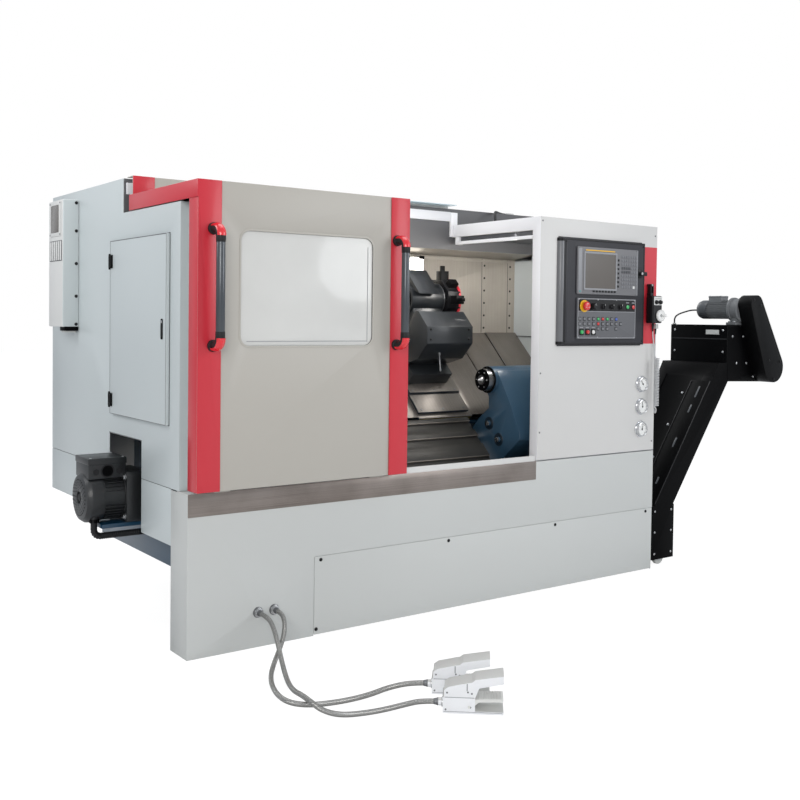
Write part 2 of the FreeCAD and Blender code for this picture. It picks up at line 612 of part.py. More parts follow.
# ---------------------------------------------------------------- control cabinet
cabinet_face = box("cabinet_face", ("cabinet_left", "0", "side_seam"), "base_long - cabinet_left", "sheet",
                   "cabinet_top - side_seam")
cabinet_jamb = box("cabinet_jamb", ("cabinet_left", "0", "side_seam"), "sheet", "cabinet_deep",
                   "cabinet_top - side_seam")
cabinet_back = box("cabinet_back", ("cabinet_left", "cabinet_deep - sheet", "side_seam"),
                   "base_long - cabinet_left - sheet - 1", "sheet", "cabinet_top - side_seam")
cabinet_low = box("cabinet_low", ("cabinet_left", "0", "side_seam"), "base_long - cabinet_left - sheet - 1",
                  "cabinet_deep", "sheet")
roof_sheet = box("roof_sheet", ("cabinet_left", "0", "cabinet_top - sheet"), "base_long - cabinet_left",
                 "step_back - fit_gap", "sheet")
roof_beam = box("roof_beam", ("cabinet_left", "0", "beam_low"), "sheet", "step_back - fit_gap",
                "cabinet_top - beam_low")
roof_under = box("roof_under", ("cabinet_left", "0", "beam_low"), "base_long - cabinet_left - sheet - 1",
                 "step_back - fit_gap", "sheet")
cord_socket = box("cord_socket", ("pendant_left + 57", "-24", "pendant_low - 26"), "18", "24", "22")
node("control_cabinet", fuse("cabinet_shape", cabinet_face, cabinet_jamb, cabinet_back, cabinet_low,
                             roof_sheet, roof_beam, roof_under, cord_socket))

end_sheet = prism("end_sheet", "side", [
    ("sheet", "0"), ("machine_deep", "0"), ("machine_deep", "high_roof"), ("step_back", "high_roof"),
    ("step_back", "cabinet_top - sheet - 0.3"), ("sheet", "cabinet_top - sheet - 0.3")],
    "base_long - sheet", "sheet")
end_opening = box("end_opening", ("base_long - 20", "conveyor_front + 18", "-10"), "40",
                  "conveyor_wide - 36", "272")
node("right_end_panel", cut("end_shape", end_sheet, end_opening))

# ---------------------------------------------------------------- rear housing and chamber walls
rear_inner = "base_long - 2 * sheet"
rear_top = box("rear_top", ("sheet", "step_back", "high_roof - sheet"), rear_inner,
               "machine_deep - step_back", "sheet")
rear_back = box("rear_back", ("sheet", "machine_deep - sheet", "side_low_rear"), rear_inner, "sheet",
                "high_roof - side_low_rear")
rear_floor = box("rear_floor", ("sheet", "bed_rear + 60", "side_low_rear"), rear_inner,
                 "machine_deep - bed_rear - 60", "sheet")
rear_band = box("rear_band", ("sheet", "step_back", "gutter_high"), rear_inner, "sheet",
                "high_roof - gutter_high")
rear_inner_wall = box("rear_inner_wall", ("sheet", "bed_rear + 60", "side_low_rear"), rear_inner, "sheet",
                      "high_roof - side_low_rear")
gutter = prism("gutter", "side", [
    ("step_back", "gutter_high"), ("chamber_rear", "chamber_rear_top + 3"),
    ("chamber_rear + sheet", "chamber_rear_top + 3"), ("chamber_rear + sheet", "chamber_rear_top + 6"),
    ("chamber_rear", "chamber_rear_top + 6"), ("step_back", "gutter_high + 3")],
    "chamber_left", "chamber_right - chamber_left")
top_rail = box("top_rail", ("12", "step_back - rail_deep", "rail_low"), "cabinet_left - 30", "rail_deep",
               "rail_top - rail_low")
rail_cover = box("rail_cover", ("1030", "step_back - 46", "door_post_top + 8"), "600", "110", "sheet")
rail_cover_foot = box("rail_cover_foot", ("1030", "step_back + 20", "high_roof - 1"), "600", "44",
                      "door_post_top + 9 - high_roof")
rear_ribs = [box("rear_rib_%d" % i, (x, "machine_deep", "side_low_rear + 60"), "540", "6",
                 "high_roof - side_low_rear - 120") for i, x in enumerate((60, 640, 1220, 1800))]
HOSE_AT, STEP = S["base_long"] - 554, S["step_back"]
roof_socket = box("roof_socket", ("base_long - 354", "step_back + 62", "high_roof - 1"), "44", "38", "15")
ROOF = S["high_roof"]
roof_hose = swept("roof_hose", [
    (HOSE_AT, STEP - 76, S["cabinet_top"]), (HOSE_AT, STEP - 76, S["cabinet_top"] + 30),
    (HOSE_AT + 14, STEP - 58, ROOF - 20), (HOSE_AT + 42, STEP - 24, ROOF), (HOSE_AT + 80, STEP + 12, ROOF + 7.5),
    (HOSE_AT + 130, STEP + 48, ROOF + 7.5), (HOSE_AT + 174, STEP + 74, ROOF + 7.5),
    (HOSE_AT + 200, STEP + 81, ROOF + 7.5)], 6.3, 30)
node("rear_housing", fuse("rear_shape", rear_top, rear_back, rear_floor, rear_band, rear_inner_wall,
                          gutter, top_rail, rail_cover, rail_cover_foot, roof_socket, *rear_ribs), roof_hose)

lining_rear = box("lining_rear", ("chamber_left", "chamber_rear", "slant_high + 641"),
                  "chamber_right - chamber_left + sheet", "sheet", "chamber_rear_top + 2 - slant_high - 641")
lining_right_sheet = box("lining_right_sheet", ("chamber_right", "cabinet_deep + fit_gap", "side_seam"),
                         "sheet", "chamber_rear - cabinet_deep", "beam_low - fit_gap - side_seam")
lining_right_notch = box("lining_right_notch", ("chamber_right - 20", "step_back - 1", "gutter_high - 28"),
                         "40", "400", "200")
lining_tray = slab("lining_tray", "chamber_left", "-6", "cover_off - 3",
                   "tail_left - chamber_left - 66", "296", "3")
tray_drop = box("tray_drop", ("chamber_left + 4", "175", "320"), "tail_left - chamber_left - 70", "sheet", "212")
tray_steps = [slab("tray_step_%d" % i, "chamber_left + 4", along, "cover_off - 1", "tail_left - chamber_left - 70",
                   run, "9") for i, (along, run) in enumerate((("60", "70"), ("176", "34"), ("262", "22")))]
node("chamber_lining", fuse("lining_walls", lining_rear,
                            cut("lining_right", lining_right_sheet, lining_right_notch)),
     fuse("lining_floor", lining_tray, tray_drop, *tray_steps))

cooler_box = box("cooler_box", ("-cooler_proud", "cooler_front", "cooler_low"), "cooler_proud",
                 "cooler_rear - cooler_front", "cooler_top - cooler_low")
cooler_vent = box("cooler_vent", ("-cooler_proud - 4", "cooler_front + 12", "cooler_top - 266"), "6",
                  "cooler_rear - cooler_front - 27", "96")
cooler_slats = [box("cooler_slat_%d" % i, ("-cooler_proud - 8", "cooler_front + %.1f" % (19 + 21.4 * i), "cooler_top - 260"),
                    "5", "8", "84") for i in range(8)]
cooler_window = box("cooler_window", ("-cooler_proud - 3", "cooler_front + 26", "cooler_top - 155"), "4",
                    "cooler_rear - cooler_front - 46", "146")
node("cabinet_cooler", fuse("cooler_shape", cooler_box, cooler_vent, cooler_window, *cooler_slats))

lamp_body = box("lamp_body", ("1446", "chamber_rear - 40", "1409"), "122", "32", "86")
lamp_arm = box("lamp_arm", ("1480", "chamber_rear - 9", "1430"), "50", "9", "40")
node("work_lamp", fuse("lamp_shape", lamp_body, lamp_arm))

screws = []
for i, (x, z) in enumerate((("lower_left + 11", "24"), ("lower_left + 29", "lower_high - 15"),
                            ("1151", "lower_high - 15"), ("1757", "lower_high - 15"),
                            ("base_long - 47", "lower_high - 15"))):
    screws.append(rod("front_screw_%d" % i, (x, "-screw_proud", z), "screw_head", "screw_proud", "y"))
for i, z in enumerate((1150, 1270, 1410, 1550, 1670)):
    screws.append(rod("cooler_screw_%d" % i, (-12, "cooler_front - screw_proud", z), "screw_head",
                      "screw_proud", "y"))
node("cover_screws", *screws)

# ---------------------------------------------------------------- sliding door
door_sheet = box("door_sheet", ("0", "-door_front", "door_low"), "door_wide", "sheet",
                 "door_top - door_low")
window_wide = box("window_wide", ("window_left", "-door_front - 10", "window_low + window_round"),
                  "window_right - window_left", "sheet + 20", "window_top - window_low - 2 * window_round")
window_tall = box("window_tall", ("window_left + window_round", "-door_front - 10", "window_low"),
                  "window_right - window_left - 2 * window_round", "sheet + 20", "window_top - window_low")
window_corners = [rod("window_corner_%d" % i, (x, "-door_front - 10", z), "window_round", "sheet + 20", "y")
                  for i, (x, z) in enumerate((
                      ("window_left + window_round", "window_low + window_round"),
                      ("window_right - window_round", "window_low + window_round"),
                      ("window_left + window_round", "window_top - window_round"),
                      ("window_right - window_round", "window_top - window_round")))]
window_hole = fuse("window_hole", window_wide, window_tall, *window_corners)
door_left = box("door_left", ("0", "-door_front", "door_low"), "sheet", "door_deep", "door_top - door_low")
door_right = box("door_right", ("door_wide - sheet", "-door_front", "door_low"), "sheet", "door_deep",
                 "door_top - door_low")
door_foot = box("door_foot", ("0", "-door_front", "door_low"), "door_wide", "door_deep - 20", "sheet")
door_roof = box("door_roof", ("0", "-door_front", "door_top - sheet"), "door_wide",
                "door_roof_back + door_front", "sheet")
door_roof_rib = box("door_roof_rib", ("door_wide - sheet", "-door_front", "door_roof_low"), "sheet",
                    "door_roof_back + door_front", "door_top - door_roof_low")
door_post = box("door_post", ("10", "door_roof_back - sheet", "door_roof_low"), "door_wide - 10", "sheet",
                "door_post_top - door_roof_low")
door_post_cap = box("door_post_cap", ("10", "door_roof_back - sheet", "door_post_top - sheet"),
                    "door_wide - 10", "door_post_back - door_roof_back + sheet", "sheet")
rollers = []
for i, x in enumerate((90, 740)):
    rollers.append(box("door_roller_%d" % i, (x, "door_post_back - 10", "rail_top + fit_gap"), "60", "22",
                       "door_post_top - rail_top - fit_gap - 0.5"))
    rollers.append(box("door_roller_arm_%d" % i, (x, "door_roof_back - 1", "rail_top + 8"), "60",
                       "door_post_back - door_roof_back - 6", "8"))
    rollers.append(box("door_guide_%d" % i, (x, "door_deep - door_front - 25", "skirt_high + sheet + 2"), "60",
                       "25", "door_low - skirt_high + 1"))
node("sliding_door", fuse("door_shape", cut("door_face", door_sheet, window_hole), door_left, door_right,
                          door_foot, door_roof, door_roof_rib, door_post, door_post_cap, *rollers))

trim_parts = []
for side, x in (("left", "0"), ("right", "door_wide - trim_wide")):
    trim_parts.append(box("trim_" + side, (x, "-door_front - 5", "door_low"), "trim_wide", "5 - 0",
                          "door_top - door_low"))
trim_bar = box("trim_bar", ("-4", "-door_front - 5", "door_roof_low"), "4",
               "door_roof_back + door_front + 5", "door_top - door_roof_low")
trim_parts[0] = fuse("trim_left_wrap", trim_parts[0], trim_bar)
trim_post = box("trim_post", ("10", "door_roof_back - sheet - 5", "door_top"), "87", "5",
                "door_post_top - door_top")
node("door_trim", *trim_parts, trim_post)

pane = box("pane", ("window_left - 14", "-door_front + sheet", "window_low - 14"),
           "window_right - window_left + 28", "glass_thick", "window_top - window_low + 28")
node("door_window", pane)

handles = []
for i, x in enumerate(("handle_left", "handle_right")):
    axis_y = "-door_front - 5 - handle_reach"
    bar = rod("handle_bar_%d" % i, (x, axis_y, "handle_low"), "handle_tube", "handle_top - handle_low")
    parts = [bar]
    for j, z in enumerate(("handle_low + handle_tube", "handle_top - handle_tube")):
        parts.append(rod("handle_arm_%d_%d" % (i, j), (x, axis_y, z), "handle_tube + 1", "handle_reach", "y"))
    handles.append(fuse("handle_%d" % i, *parts))
node("door_handles", *handles)

# ---------------------------------------------------------------- console and gauges
console_plate = box("console_plate", ("console_left", "-console_proud", "console_low"),
                    "console_right - console_left", "console_proud", "console_top - console_low")
console_corner = box("console_corner", ("console_left - 1", "-console_proud - 1", "console_low - 1"),
                     "console_proud + 1", "console_proud + 1", "console_top - console_low + 2")
console_round = rod("console_round", ("console_left + console_proud", "0", "console_low - 2"), "console_proud",
                    "console_top - console_low + 4")
console_waste = cut("console_waste", console_corner, console_round)
node("console_housing", cut("console_shape", console_plate, console_waste))

display_body = box("display_body", ("display_left", "-console_proud - unit_thick", "display_low"),
                   "display_right - display_left", "unit_thick", "display_top - display_low")
display_frame = box("display_frame", ("display_left + 38", "-console_proud - unit_thick - 3", "display_low + 30"),
                    "213", "4", "display_top - display_low - 50")
display_keys = [box("display_key_%d_%d" % (i, j),
                    (S["display_left"] + 284 + 15.6 * i, "-console_proud - unit_thick - 3",
                     S["display_low"] + 31 + 17.5 * j), "12", "4", "12")
                for i in range(7) for j in range(9)]
soft_keys = [box("soft_key_%d" % i, (S["display_left"] + 96 + 19.6 * i, "-console_proud - unit_thick - 3",
                                     S["display_low"] + 10), "13", "4", "9") for i in range(8)]
node("display_unit", fuse("display_shape", display_body, display_frame, *display_keys, *soft_keys))

operator_body = box("operator_body", ("operator_left", "-console_proud - unit_thick", "operator_low"),
                    "operator_right - operator_left", "unit_thick", "operator_top - operator_low")
operator_keys = [box("operator_key_%d_%d" % (i, j),
                     (S["operator_left"] + 130 + 21.5 * i, "-console_proud - unit_thick - 3",
                      S["operator_low"] + 38 + 26 * j), "16", "4", "15")
                 for i in range(11) for j in range(3)]
UNIT_FACE = "-console_proud - unit_thick"
STEMS = {
    "estop_button": ("operator_left + 41", "operator_low + 146", "11"),
    "feed_knob": ("operator_left + 96", "operator_low + 146", "8"),
    "start_button": ("operator_left + 26", "operator_low + 30", "9"),
    "stop_button": ("operator_left + 64", "operator_low + 30", "9"),
}
stem_holes = [rod("hole_" + name, (x, UNIT_FACE + " - 1", z), radius + " + 0.4", "unit_thick - 0.5", "y")
              for name, (x, z, radius) in STEMS.items()]
fixed_knobs = [rod("small_knob_%d" % i, (S["operator_left"] + 163 + 57 * i, UNIT_FACE + " - 14", "operator_low + 146"),
                   "13", "15", "y") for i in range(3)]
fixed_knobs += [rod("small_lamp_%d" % i, (x, UNIT_FACE + " - 5", z), "8", "6", "y") for i, (x, z) in enumerate((
    ("operator_left + 326", "operator_low + 146"), ("operator_left + 365", "operator_low + 146"),
    ("operator_left + 102", "operator_low + 30")))]
start_plate = rod("estop_plate", ("operator_left + 41", UNIT_FACE + " - 1", "operator_low + 146"), "28", "2", "y")
node("operator_panel", cut("operator_shape", fuse("operator_solid", operator_body, start_plate, *operator_keys,
                                                  *fixed_knobs), *stem_holes))


def button(label, proud, cap=None, cap_long="6"):
    """A push button or knob whose stem runs into its hole in the operator panel."""
    x, z, radius = STEMS[label]
    stem = rod(label + "_stem", (x, UNIT_FACE + " - " + proud, z), radius, proud + " + 2", "y")
    if cap is None:
        node(label, stem)
    else:
        head = rod(label + "_cap", (x, UNIT_FACE + " - " + proud + " - " + cap_long, z), cap, cap_long, "y")
        node(label, fuse(label + "_shape", stem, head))


button("estop_button", "12", "20", "13")
button("start_button", "8")
button("stop_button", "8")
button("feed_knob", "6", "15", "15")

gauge_list = []
for i in range(3):
    z = "gauge_first - %d * gauge_step" % i
    flange = rod("gauge_flange_%d" % i, ("gauge_right", "-4", z), "gauge_flange", "4", "y")
    case = rod("gauge_case_%d" % i, ("gauge_right", "-16", z), "gauge_glass + 3", "16", "y")
    dish = rod("gauge_dish_%d" % i, ("gauge_right", "-18", z), "gauge_glass", "8", "y")
    hub = rod("gauge_hub_%d" % i, ("gauge_right", "-14", z), "4", "6", "y")
    needle = box("gauge_needle_%d" % i, (S["gauge_right"] - 1.5, "-14", z), "3", "2", "24")
    gauge_list.append(fuse("gauge_%d" % i, cut("gauge_body_%d" % i, fuse("gauge_solid_%d" % i, flange, case),
                                               dish), hub, needle))
node("gauges", *gauge_list)

# ---------------------------------------------------------------- headstock, spindle, chuck
head_block = prism("head_block", "slant", [
    ("120", "-0"), ("620", "-0"), ("620", "210"), ("530", "420"), ("190", "420"), ("120", "250")],
    "head_left", "head_right - head_left")
head_bore = rod("head_bore", ("head_left - 10", "axis_back", "axis_high"), "spindle_round + fit_gap",
                "head_right - head_left + 20", "x")
head_ring = rod("head_ring", ("head_right - 1", "axis_back", "axis_high"), "nose_round - 4", "7", "x")
node("headstock", cut("headstock_shape", fuse("head_solid", head_block, head_ring), head_bore))

axis_at = ("axis_back", "axis_high")
node("spindle", spun("spindle_shape", axis_at, [
    ("80", "spindle_hole"), ("chuck_left - fit_gap", "spindle_hole"), ("chuck_left - fit_gap", "nose_round"),
    ("chuck_left - 20", "nose_round"), ("chuck_left - 20", "spindle_round"), ("150", "spindle_round"),
    ("150", "head_pulley + 5"), ("belt_left + belt_wide + 1", "head_pulley + 5"),
    ("belt_left + belt_wide + 1", "head_pulley"), ("belt_left - 1", "head_pulley"),
    ("belt_left - 1", "head_pulley + 5"), ("84", "head_pulley + 5"), ("84", "spindle_round"),
    ("80", "spindle_round")]))

chuck_body = spun("chuck_body", axis_at, [
    ("chuck_left", "chuck_hole"), ("chuck_left + chuck_long", "chuck_hole"),
    ("chuck_left + chuck_long", "chuck_round - 4"), ("chuck_left + chuck_long - 4", "chuck_round"),
    ("chuck_left + 4", "chuck_round"), ("chuck_left", "chuck_round - 4")])
SLOT_FACE = "chuck_left + chuck_long - jaw_deep"
slots, jaws = [], []
for i in range(3):
    turn = FreeCAD.Rotation(V(1, 0, 0), 120 * i)
    side = turn.multVec(V(0, 1, 0))
    up = turn.multVec(V(0, 0, 1))

    def spot(across, out):
        """A point on the jaw's plane: across it and out from the spindle's axis."""
        return ("axis_back + (%s) * %.6f + (%s) * %.6f" % (across, side.y, out, up.y),
                "axis_high + (%s) * %.6f + (%s) * %.6f" % (across, side.z, out, up.z))

    slots.append(box("jaw_slot_%d" % i, (SLOT_FACE,) + spot("-jaw_slot / 2", "jaw_inner - 14"),
                     "jaw_deep + 10", "jaw_slot", "chuck_round + 20", turn))
    base = box("jaw_base_%d" % i, (SLOT_FACE + " + fit_gap",) + spot("-jaw_wide / 2", "jaw_inner"),
               "jaw_deep", "jaw_wide", "jaw_outer - jaw_inner", turn)
    head = box("jaw_head_%d" % i, (SLOT_FACE + " + jaw_deep",) + spot("-jaw_wide / 2", "jaw_inner"),
               "jaw_out / 2", "jaw_wide", "jaw_outer - jaw_inner - 6", turn)
    tip = box("jaw_tip_%d" % i, (SLOT_FACE + " + jaw_deep",) + spot("-jaw_wide / 2", "jaw_inner"),
              "jaw_out", "jaw_wide", "22", turn)
    jaws.append(fuse("jaw_shape_%d" % i, base, head, tip))
node("chuck", cut("chuck_shape", chuck_body, *slots))
for letter, jaw in zip("abc", jaws):
    node("chuck_jaw_" + letter, jaw)

# ---------------------------------------------------------------- main motor, pulley and belt
motor_at = ("motor_back", "motor_high")
cowl = spun("cowl", motor_at, [
    ("cowl_left + 14", "0"), ("cowl_left + cowl_long + 2", "0"), ("cowl_left + cowl_long + 2", "cowl_round"),
    ("cowl_left + 22", "cowl_round"), ("cowl_left + 6", "cowl_round - 10"), ("cowl_left", "cowl_round - 30"),
    ("cowl_left", "22"), ("cowl_left + 14", "20")])
frame = rod("motor_frame", ("cowl_left + cowl_long", "motor_back", "motor_high"), "motor_round",
            "frame_right - cowl_left - cowl_long", "x")
flange = box("motor_flange", ("frame_right - 8", "motor_back - flange_half", "motor_high - flange_half"),
             "flange_right - frame_right + 8", "2 * flange_half", "2 * flange_half")
flange_shoulder = rod("flange_shoulder", ("flange_right - 1", "motor_back", "motor_high"), "50", "6", "x")
terminal = box("terminal_box", ("-170", "motor_back - 75", "motor_high + motor_round - 14"), "150", "150", "80")
motor_ribs = [box("motor_rib_%d" % i, ("cowl_left + cowl_long", y, z), "frame_right - cowl_left - cowl_long",
                  "8", "8") for i, (y, z) in enumerate(((S["motor_back"] - 92, 470), (S["motor_back"] - 92, 545),
                                                        (S["motor_back"] + 84, 470), (S["motor_back"] + 84, 545)))]
motor_feet = box("motor_feet", ("flange_right - 50", "motor_back - 90", "motor_high - flange_half"), "49", "180", "8")
shaft_bore = rod("shaft_bore", ("-10", "motor_back", "motor_high"), "19.3", "90", "x")
conduit_boss = rod("conduit_boss", ("-141", "motor_back - 55", "motor_high - 92"), "17", "30")
node("main_motor", cut("motor_shape", fuse("motor_solid", cowl, frame, flange, flange_shoulder, terminal,
                                           conduit_boss, *motor_ribs, motor_feet), shaft_bore))

node("motor_pulley", spun("motor_pulley_shape", motor_at, [
    ("-5", "0"), ("belt_left + belt_wide + 8", "0"), ("belt_left + belt_wide + 8", "motor_pulley_round + 5"),
    ("belt_left + belt_wide + 1", "motor_pulley_round + 5"), ("belt_left + belt_wide + 1", "motor_pulley_round"),
    ("belt_left - 1", "motor_pulley_round"), ("belt_left - 1", "motor_pulley_round + 5"),
    ("belt_left - 8", "motor_pulley_round + 5"), ("belt_left - 8", "19"), ("-5", "19")]))


def belt_loop(grow):
    """The outline round both pulleys, grown outwards, as a face at the belt's left edge."""
    a = V(0, S["axis_back"], S["axis_high"])
    b = V(0, S["motor_back"], S["motor_high"])
    ra = S["head_pulley"] + grow
    rb = S["motor_pulley_round"] + grow
    line = b - a
    reach = line.Length
    line.normalize()
    square = V(0, -line.z, line.y)
    lean = math.asin((ra - rb) / reach)
    points = []
    for sign in (1, -1):
        out = line * math.sin(lean) + square * (sign * math.cos(lean))
        points.append((a + out * ra, b + out * rb, out))
    edges = [Part.LineSegment(points[0][0], points[0][1]).toShape(),
             Part.Arc(points[0][1], b + line * rb, points[1][1]).toShape(),
             Part.LineSegment(points[1][1], points[1][0]).toShape(),
             Part.Arc(points[1][0], a - line * ra, points[0][0]).toShape()]
    return Part.Face(Part.Wire(edges))


ring = belt_loop(S["fit_gap"] + S["belt_thick"]).cut(belt_loop(S["fit_gap"]))
belt = doc.addObject("Part::Feature", "belt_shape")
belt.Shape = ring.extrude(V(S["belt_wide"], 0, 0))
place(belt, ("belt_left", "0", "0"))
node("drive_belt", belt)


# corrugated conduit from under the fan cowl, round a bend and along to the bed's foot
HOSE_CORE, HOSE_CREST, HOSE_BORE, HOSE_BEND = 11.0, 13.0, 9.0, 26.0


def ribbed_hose(name, start, drop, bend, run, rib_pitch):
    """A corrugated hose: down, a quarter bend, then along X; ruled ribs through circles, and its bore."""
    quarter = bend * math.pi / 2
    length = drop + quarter + run

    def frame_at(way):
        """The point and direction of the hose's centre line after a length."""
        if way <= drop:
            return V(start.x, start.y, start.z - way), V(0, 0, -1)
        if way <= drop + quarter:
            angle = (way - drop) / bend
            return (V(start.x + bend * (1 - math.cos(angle)), start.y, start.z - drop - bend * math.sin(angle)),
                    V(math.sin(angle), 0, -math.cos(angle)))
        return V(start.x + bend + way - drop - quarter, start.y, start.z - drop - bend), V(1, 0, 0)

    plain = 2 * HOSE_CREST
    ribs = int((length - 2 * plain) / rib_pitch)
    ways = [(0.0, HOSE_CREST - 0.5), (plain, HOSE_CREST - 0.5)]
    for rib in range(ribs):
        foot = plain + (length - 2 * plain) * rib / ribs
        pitch = (length - 2 * plain) / ribs
        ways += [(foot + 0.20 * pitch, HOSE_CORE), (foot + 0.40 * pitch, HOSE_CORE),
                 (foot + 0.60 * pitch, HOSE_CREST), (foot + 0.85 * pitch, HOSE_CREST)]
    ways += [(length - plain, HOSE_CREST - 0.5), (length, HOSE_CREST - 0.5)]
    rings, holes = [], []
    for way, radius in ways:
        point, heading = frame_at(way)
        for group, size in ((rings, radius), (holes, HOSE_BORE)):
            circle = Part.Circle(point, heading, size)
            circle.XAxis = V(0, 1, 0)
            group.append(Part.Wire([circle.toShape()]))
    feature = doc.addObject("Part::Feature", name + "_hose")
    feature.Shape = Part.makeLoft(rings, True, True).cut(Part.makeLoft(holes, True, True))
    print("%s: %d ribs, length %.0f, bend %.0f" % (name, ribs, length, bend))
    return feature


HOSE_TOP = S["motor_high"] - 92.0
node("motor_conduit", ribbed_hose(
    "motor_conduit", V(-141, S["motor_back"] - 55, HOSE_TOP), 2 * HOSE_CREST, HOSE_BEND,
    S["bed_foot_left"] + 141 - HOSE_BEND, 8.0))

# ---------------------------------------------------------------- carriage, cross slide, turret
saddle_block = slab("saddle_block", "saddle_left", "saddle_foot", "way_high + fit_gap",
                    "saddle_right - saddle_left", "saddle_crest - saddle_foot",
                    "cover_off - 5 - way_high - fit_gap")
saddle_riser = slab("saddle_riser", "saddle_left + 40", "saddle_foot + 30", "cover_off - 6",
                    "saddle_right - saddle_left - 80", "saddle_crest - saddle_foot - 60", "10")
apron_upper = slab("apron_upper", "saddle_left", "430", "cover_off + 1", "saddle_right - saddle_left - 20",
                   "95", "22")
apron_lower = slab("apron_lower", "saddle_left", "321", "cover_off + 1", "saddle_right - saddle_left - 20",
                   "110", "12")
back_cover = slab("back_cover", "saddle_left", "524", "cover_off + 1", "saddle_right - saddle_left", "322", "3")
guide_rails = [slab("slide_rail_%d" % i, x, "530", "cover_off + 2", "26", "290",
                    "slide_off - cover_off - 2 - fit_gap") for i, x in enumerate(("slide_left + 20", "slide_right - 46"))]
node("carriage", fuse("carriage_shape", saddle_block, saddle_riser, apron_upper, apron_lower, back_cover,
                      *guide_rails))

slide_plate = slab("slide_plate", "slide_left", "slide_foot", "slide_off", "slide_right - slide_left",
                   "slide_crest - slide_foot", "slide_thick")
nose = prism("nose", "side", [
    ("425", "1226"), ("398", "1226"), ("330", "1158"), ("330", "1083"), ("400", "1012"), ("500", "985"),
    ("560", "1050"), ("560", "1104"), ("482", "1150")], "nose_left", "nose_right - nose_left")
turret_case = rod("turret_case_solid", ("1340", "turret_back", "turret_high"), "turret_case",
                  "turret_left - 6 - 1340", "x")
turret_bracket = prism("turret_bracket", "side", [
    ("560", "1050"), ("700", "1176"), ("676", "1260"), ("530", "1240"), ("520", "1120")], "1350", "165")
coolant_block = prism("coolant_block", "side", [
    ("486", "1308"), ("620", "1352"), ("640", "1420"), ("596", "1420")], "1352", "120")
node("cross_slide", fuse("cross_slide_shape", slide_plate, nose, turret_case, turret_bracket, coolant_block))

FLAT = "turret_flat"
SIDE = "turret_flat * 0.41421356"
disc = prism("turret_plate", "side", [
    ("turret_back + " + SIDE, "turret_high + " + FLAT), ("turret_back + " + FLAT, "turret_high + " + SIDE),
    ("turret_back + " + FLAT, "turret_high - " + SIDE), ("turret_back + " + SIDE, "turret_high - " + FLAT),
    ("turret_back - " + SIDE, "turret_high - " + FLAT), ("turret_back - " + FLAT, "turret_high - " + SIDE),
    ("turret_back - " + FLAT, "turret_high + " + SIDE), ("turret_back - " + SIDE, "turret_high + " + FLAT)],
    "turret_left", "turret_long")
disc_hub = rod("disc_hub", ("turret_left - 6 + fit_gap", "turret_back", "turret_high"), "44", "8", "x")
holders = []
for i in range(8):
    turn = FreeCAD.Rotation(V(1, 0, 0), 45 * i)
    side, up = turn.multVec(V(0, 1, 0)), turn.multVec(V(0, 0, 1))
    low = S["turret_flat"] - 1
    wide, tall = (34, 30) if i % 2 else (40, 46)
    at = ("turret_left + 14", "turret_back + (turret_flat - 1) * %.6f + %.6f" % (up.y, -wide / 2 * side.y),
          "turret_high + (turret_flat - 1) * %.6f + %.6f" % (up.z, -wide / 2 * side.z))
    holders.append(box("holder_%d" % i, at, "46", wide, tall, turn))
    if i % 2 == 0:
        at = ("turret_left + 26", "turret_back + (turret_flat + 40) * %.6f + %.6f" % (up.y, -8 * side.y),
              "turret_high + (turret_flat + 40) * %.6f + %.6f" % (up.z, -8 * side.z))
        holders.append(box("tool_%d" % i, at, "20", "16", "30", turn))
node("turret_disc", fuse("turret_shape", disc, disc_hub, *holders))

# covers over the ways, three telescoping lengths on each side of the carriage
LEFT_RUN = "(saddle_left - chamber_left - 2 * fit_gap)"
left_steps = [slab("left_step_%d" % i, "chamber_left + fit_gap + %s * %d / 3" % (LEFT_RUN, i), "310", 97 - 3 * i,
                   LEFT_RUN + (" / 3 + 9" if i < 2 else " / 3"), "525", "3") for i in range(3)]
left_edges = [slab("left_edge_%d" % i, "chamber_left + fit_gap + %s * %d / 3" % (LEFT_RUN, i + 1), "310", 91 - 3 * i,
                   "6", "525", "9") for i in range(2)]
node("way_cover_left", fuse("way_cover_left_shape", *left_steps, *left_edges))
RIGHT_RUN = "(chamber_right - saddle_right - 2 * fit_gap)"
right_steps = [slab("right_step_%d" % i, "chamber_right - fit_gap - %s * %d / 3 %s" % (RIGHT_RUN, i + 1, "- 9" if i < 2 else ""),
                    "310", 97 - 3 * i, RIGHT_RUN + (" / 3 + 9" if i < 2 else " / 3"), "525", "3") for i in range(3)]
right_edges = [slab("right_edge_%d" % i, "chamber_right - fit_gap - %s * %d / 3 - 9" % (RIGHT_RUN, i + 1), "310", 91 - 3 * i,
                    "6", "525", "9") for i in range(2)]
node("way_cover_right", fuse("way_cover_right_shape", *right_steps, *right_edges))

# ---------------------------------------------------------------- tailstock
tail_body = prism("tail_body", "side", [
    ("375", "732"), ("247", "604"), ("204", "562"), ("94", "660"), ("94", "690"), ("156", "812"), ("223", "923"),
    ("250", "960"), ("330", "960"), ("344", "900"), ("303", "838"), ("303", "786")], "tail_left", "tail_long")
tail_foot = slab("tail_foot", "tail_left", "48", "way_high + fit_gap", "tail_long", "228", "cover_off - 20")
tail_barrel = rod("tail_barrel", ("tail_left - 14", "axis_back", "axis_high"), "barrel_round", "tail_long + 14", "x")
tail_bore = rod("tail_bore", ("tail_left - 40", "axis_back", "axis_high"), "quill_round + fit_gap",
                "quill_long - 20", "x")
tail_bolts = [rod("tail_bolt_%d" % i, ("tail_left - 8", y, z), "13", "9", "x")
              for i, (y, z) in enumerate(((300, 716), (232, 648)))]
node("tailstock", cut("tailstock_shape", fuse("tail_solid", tail_body, tail_foot, tail_barrel, *tail_bolts),
                      tail_bore))
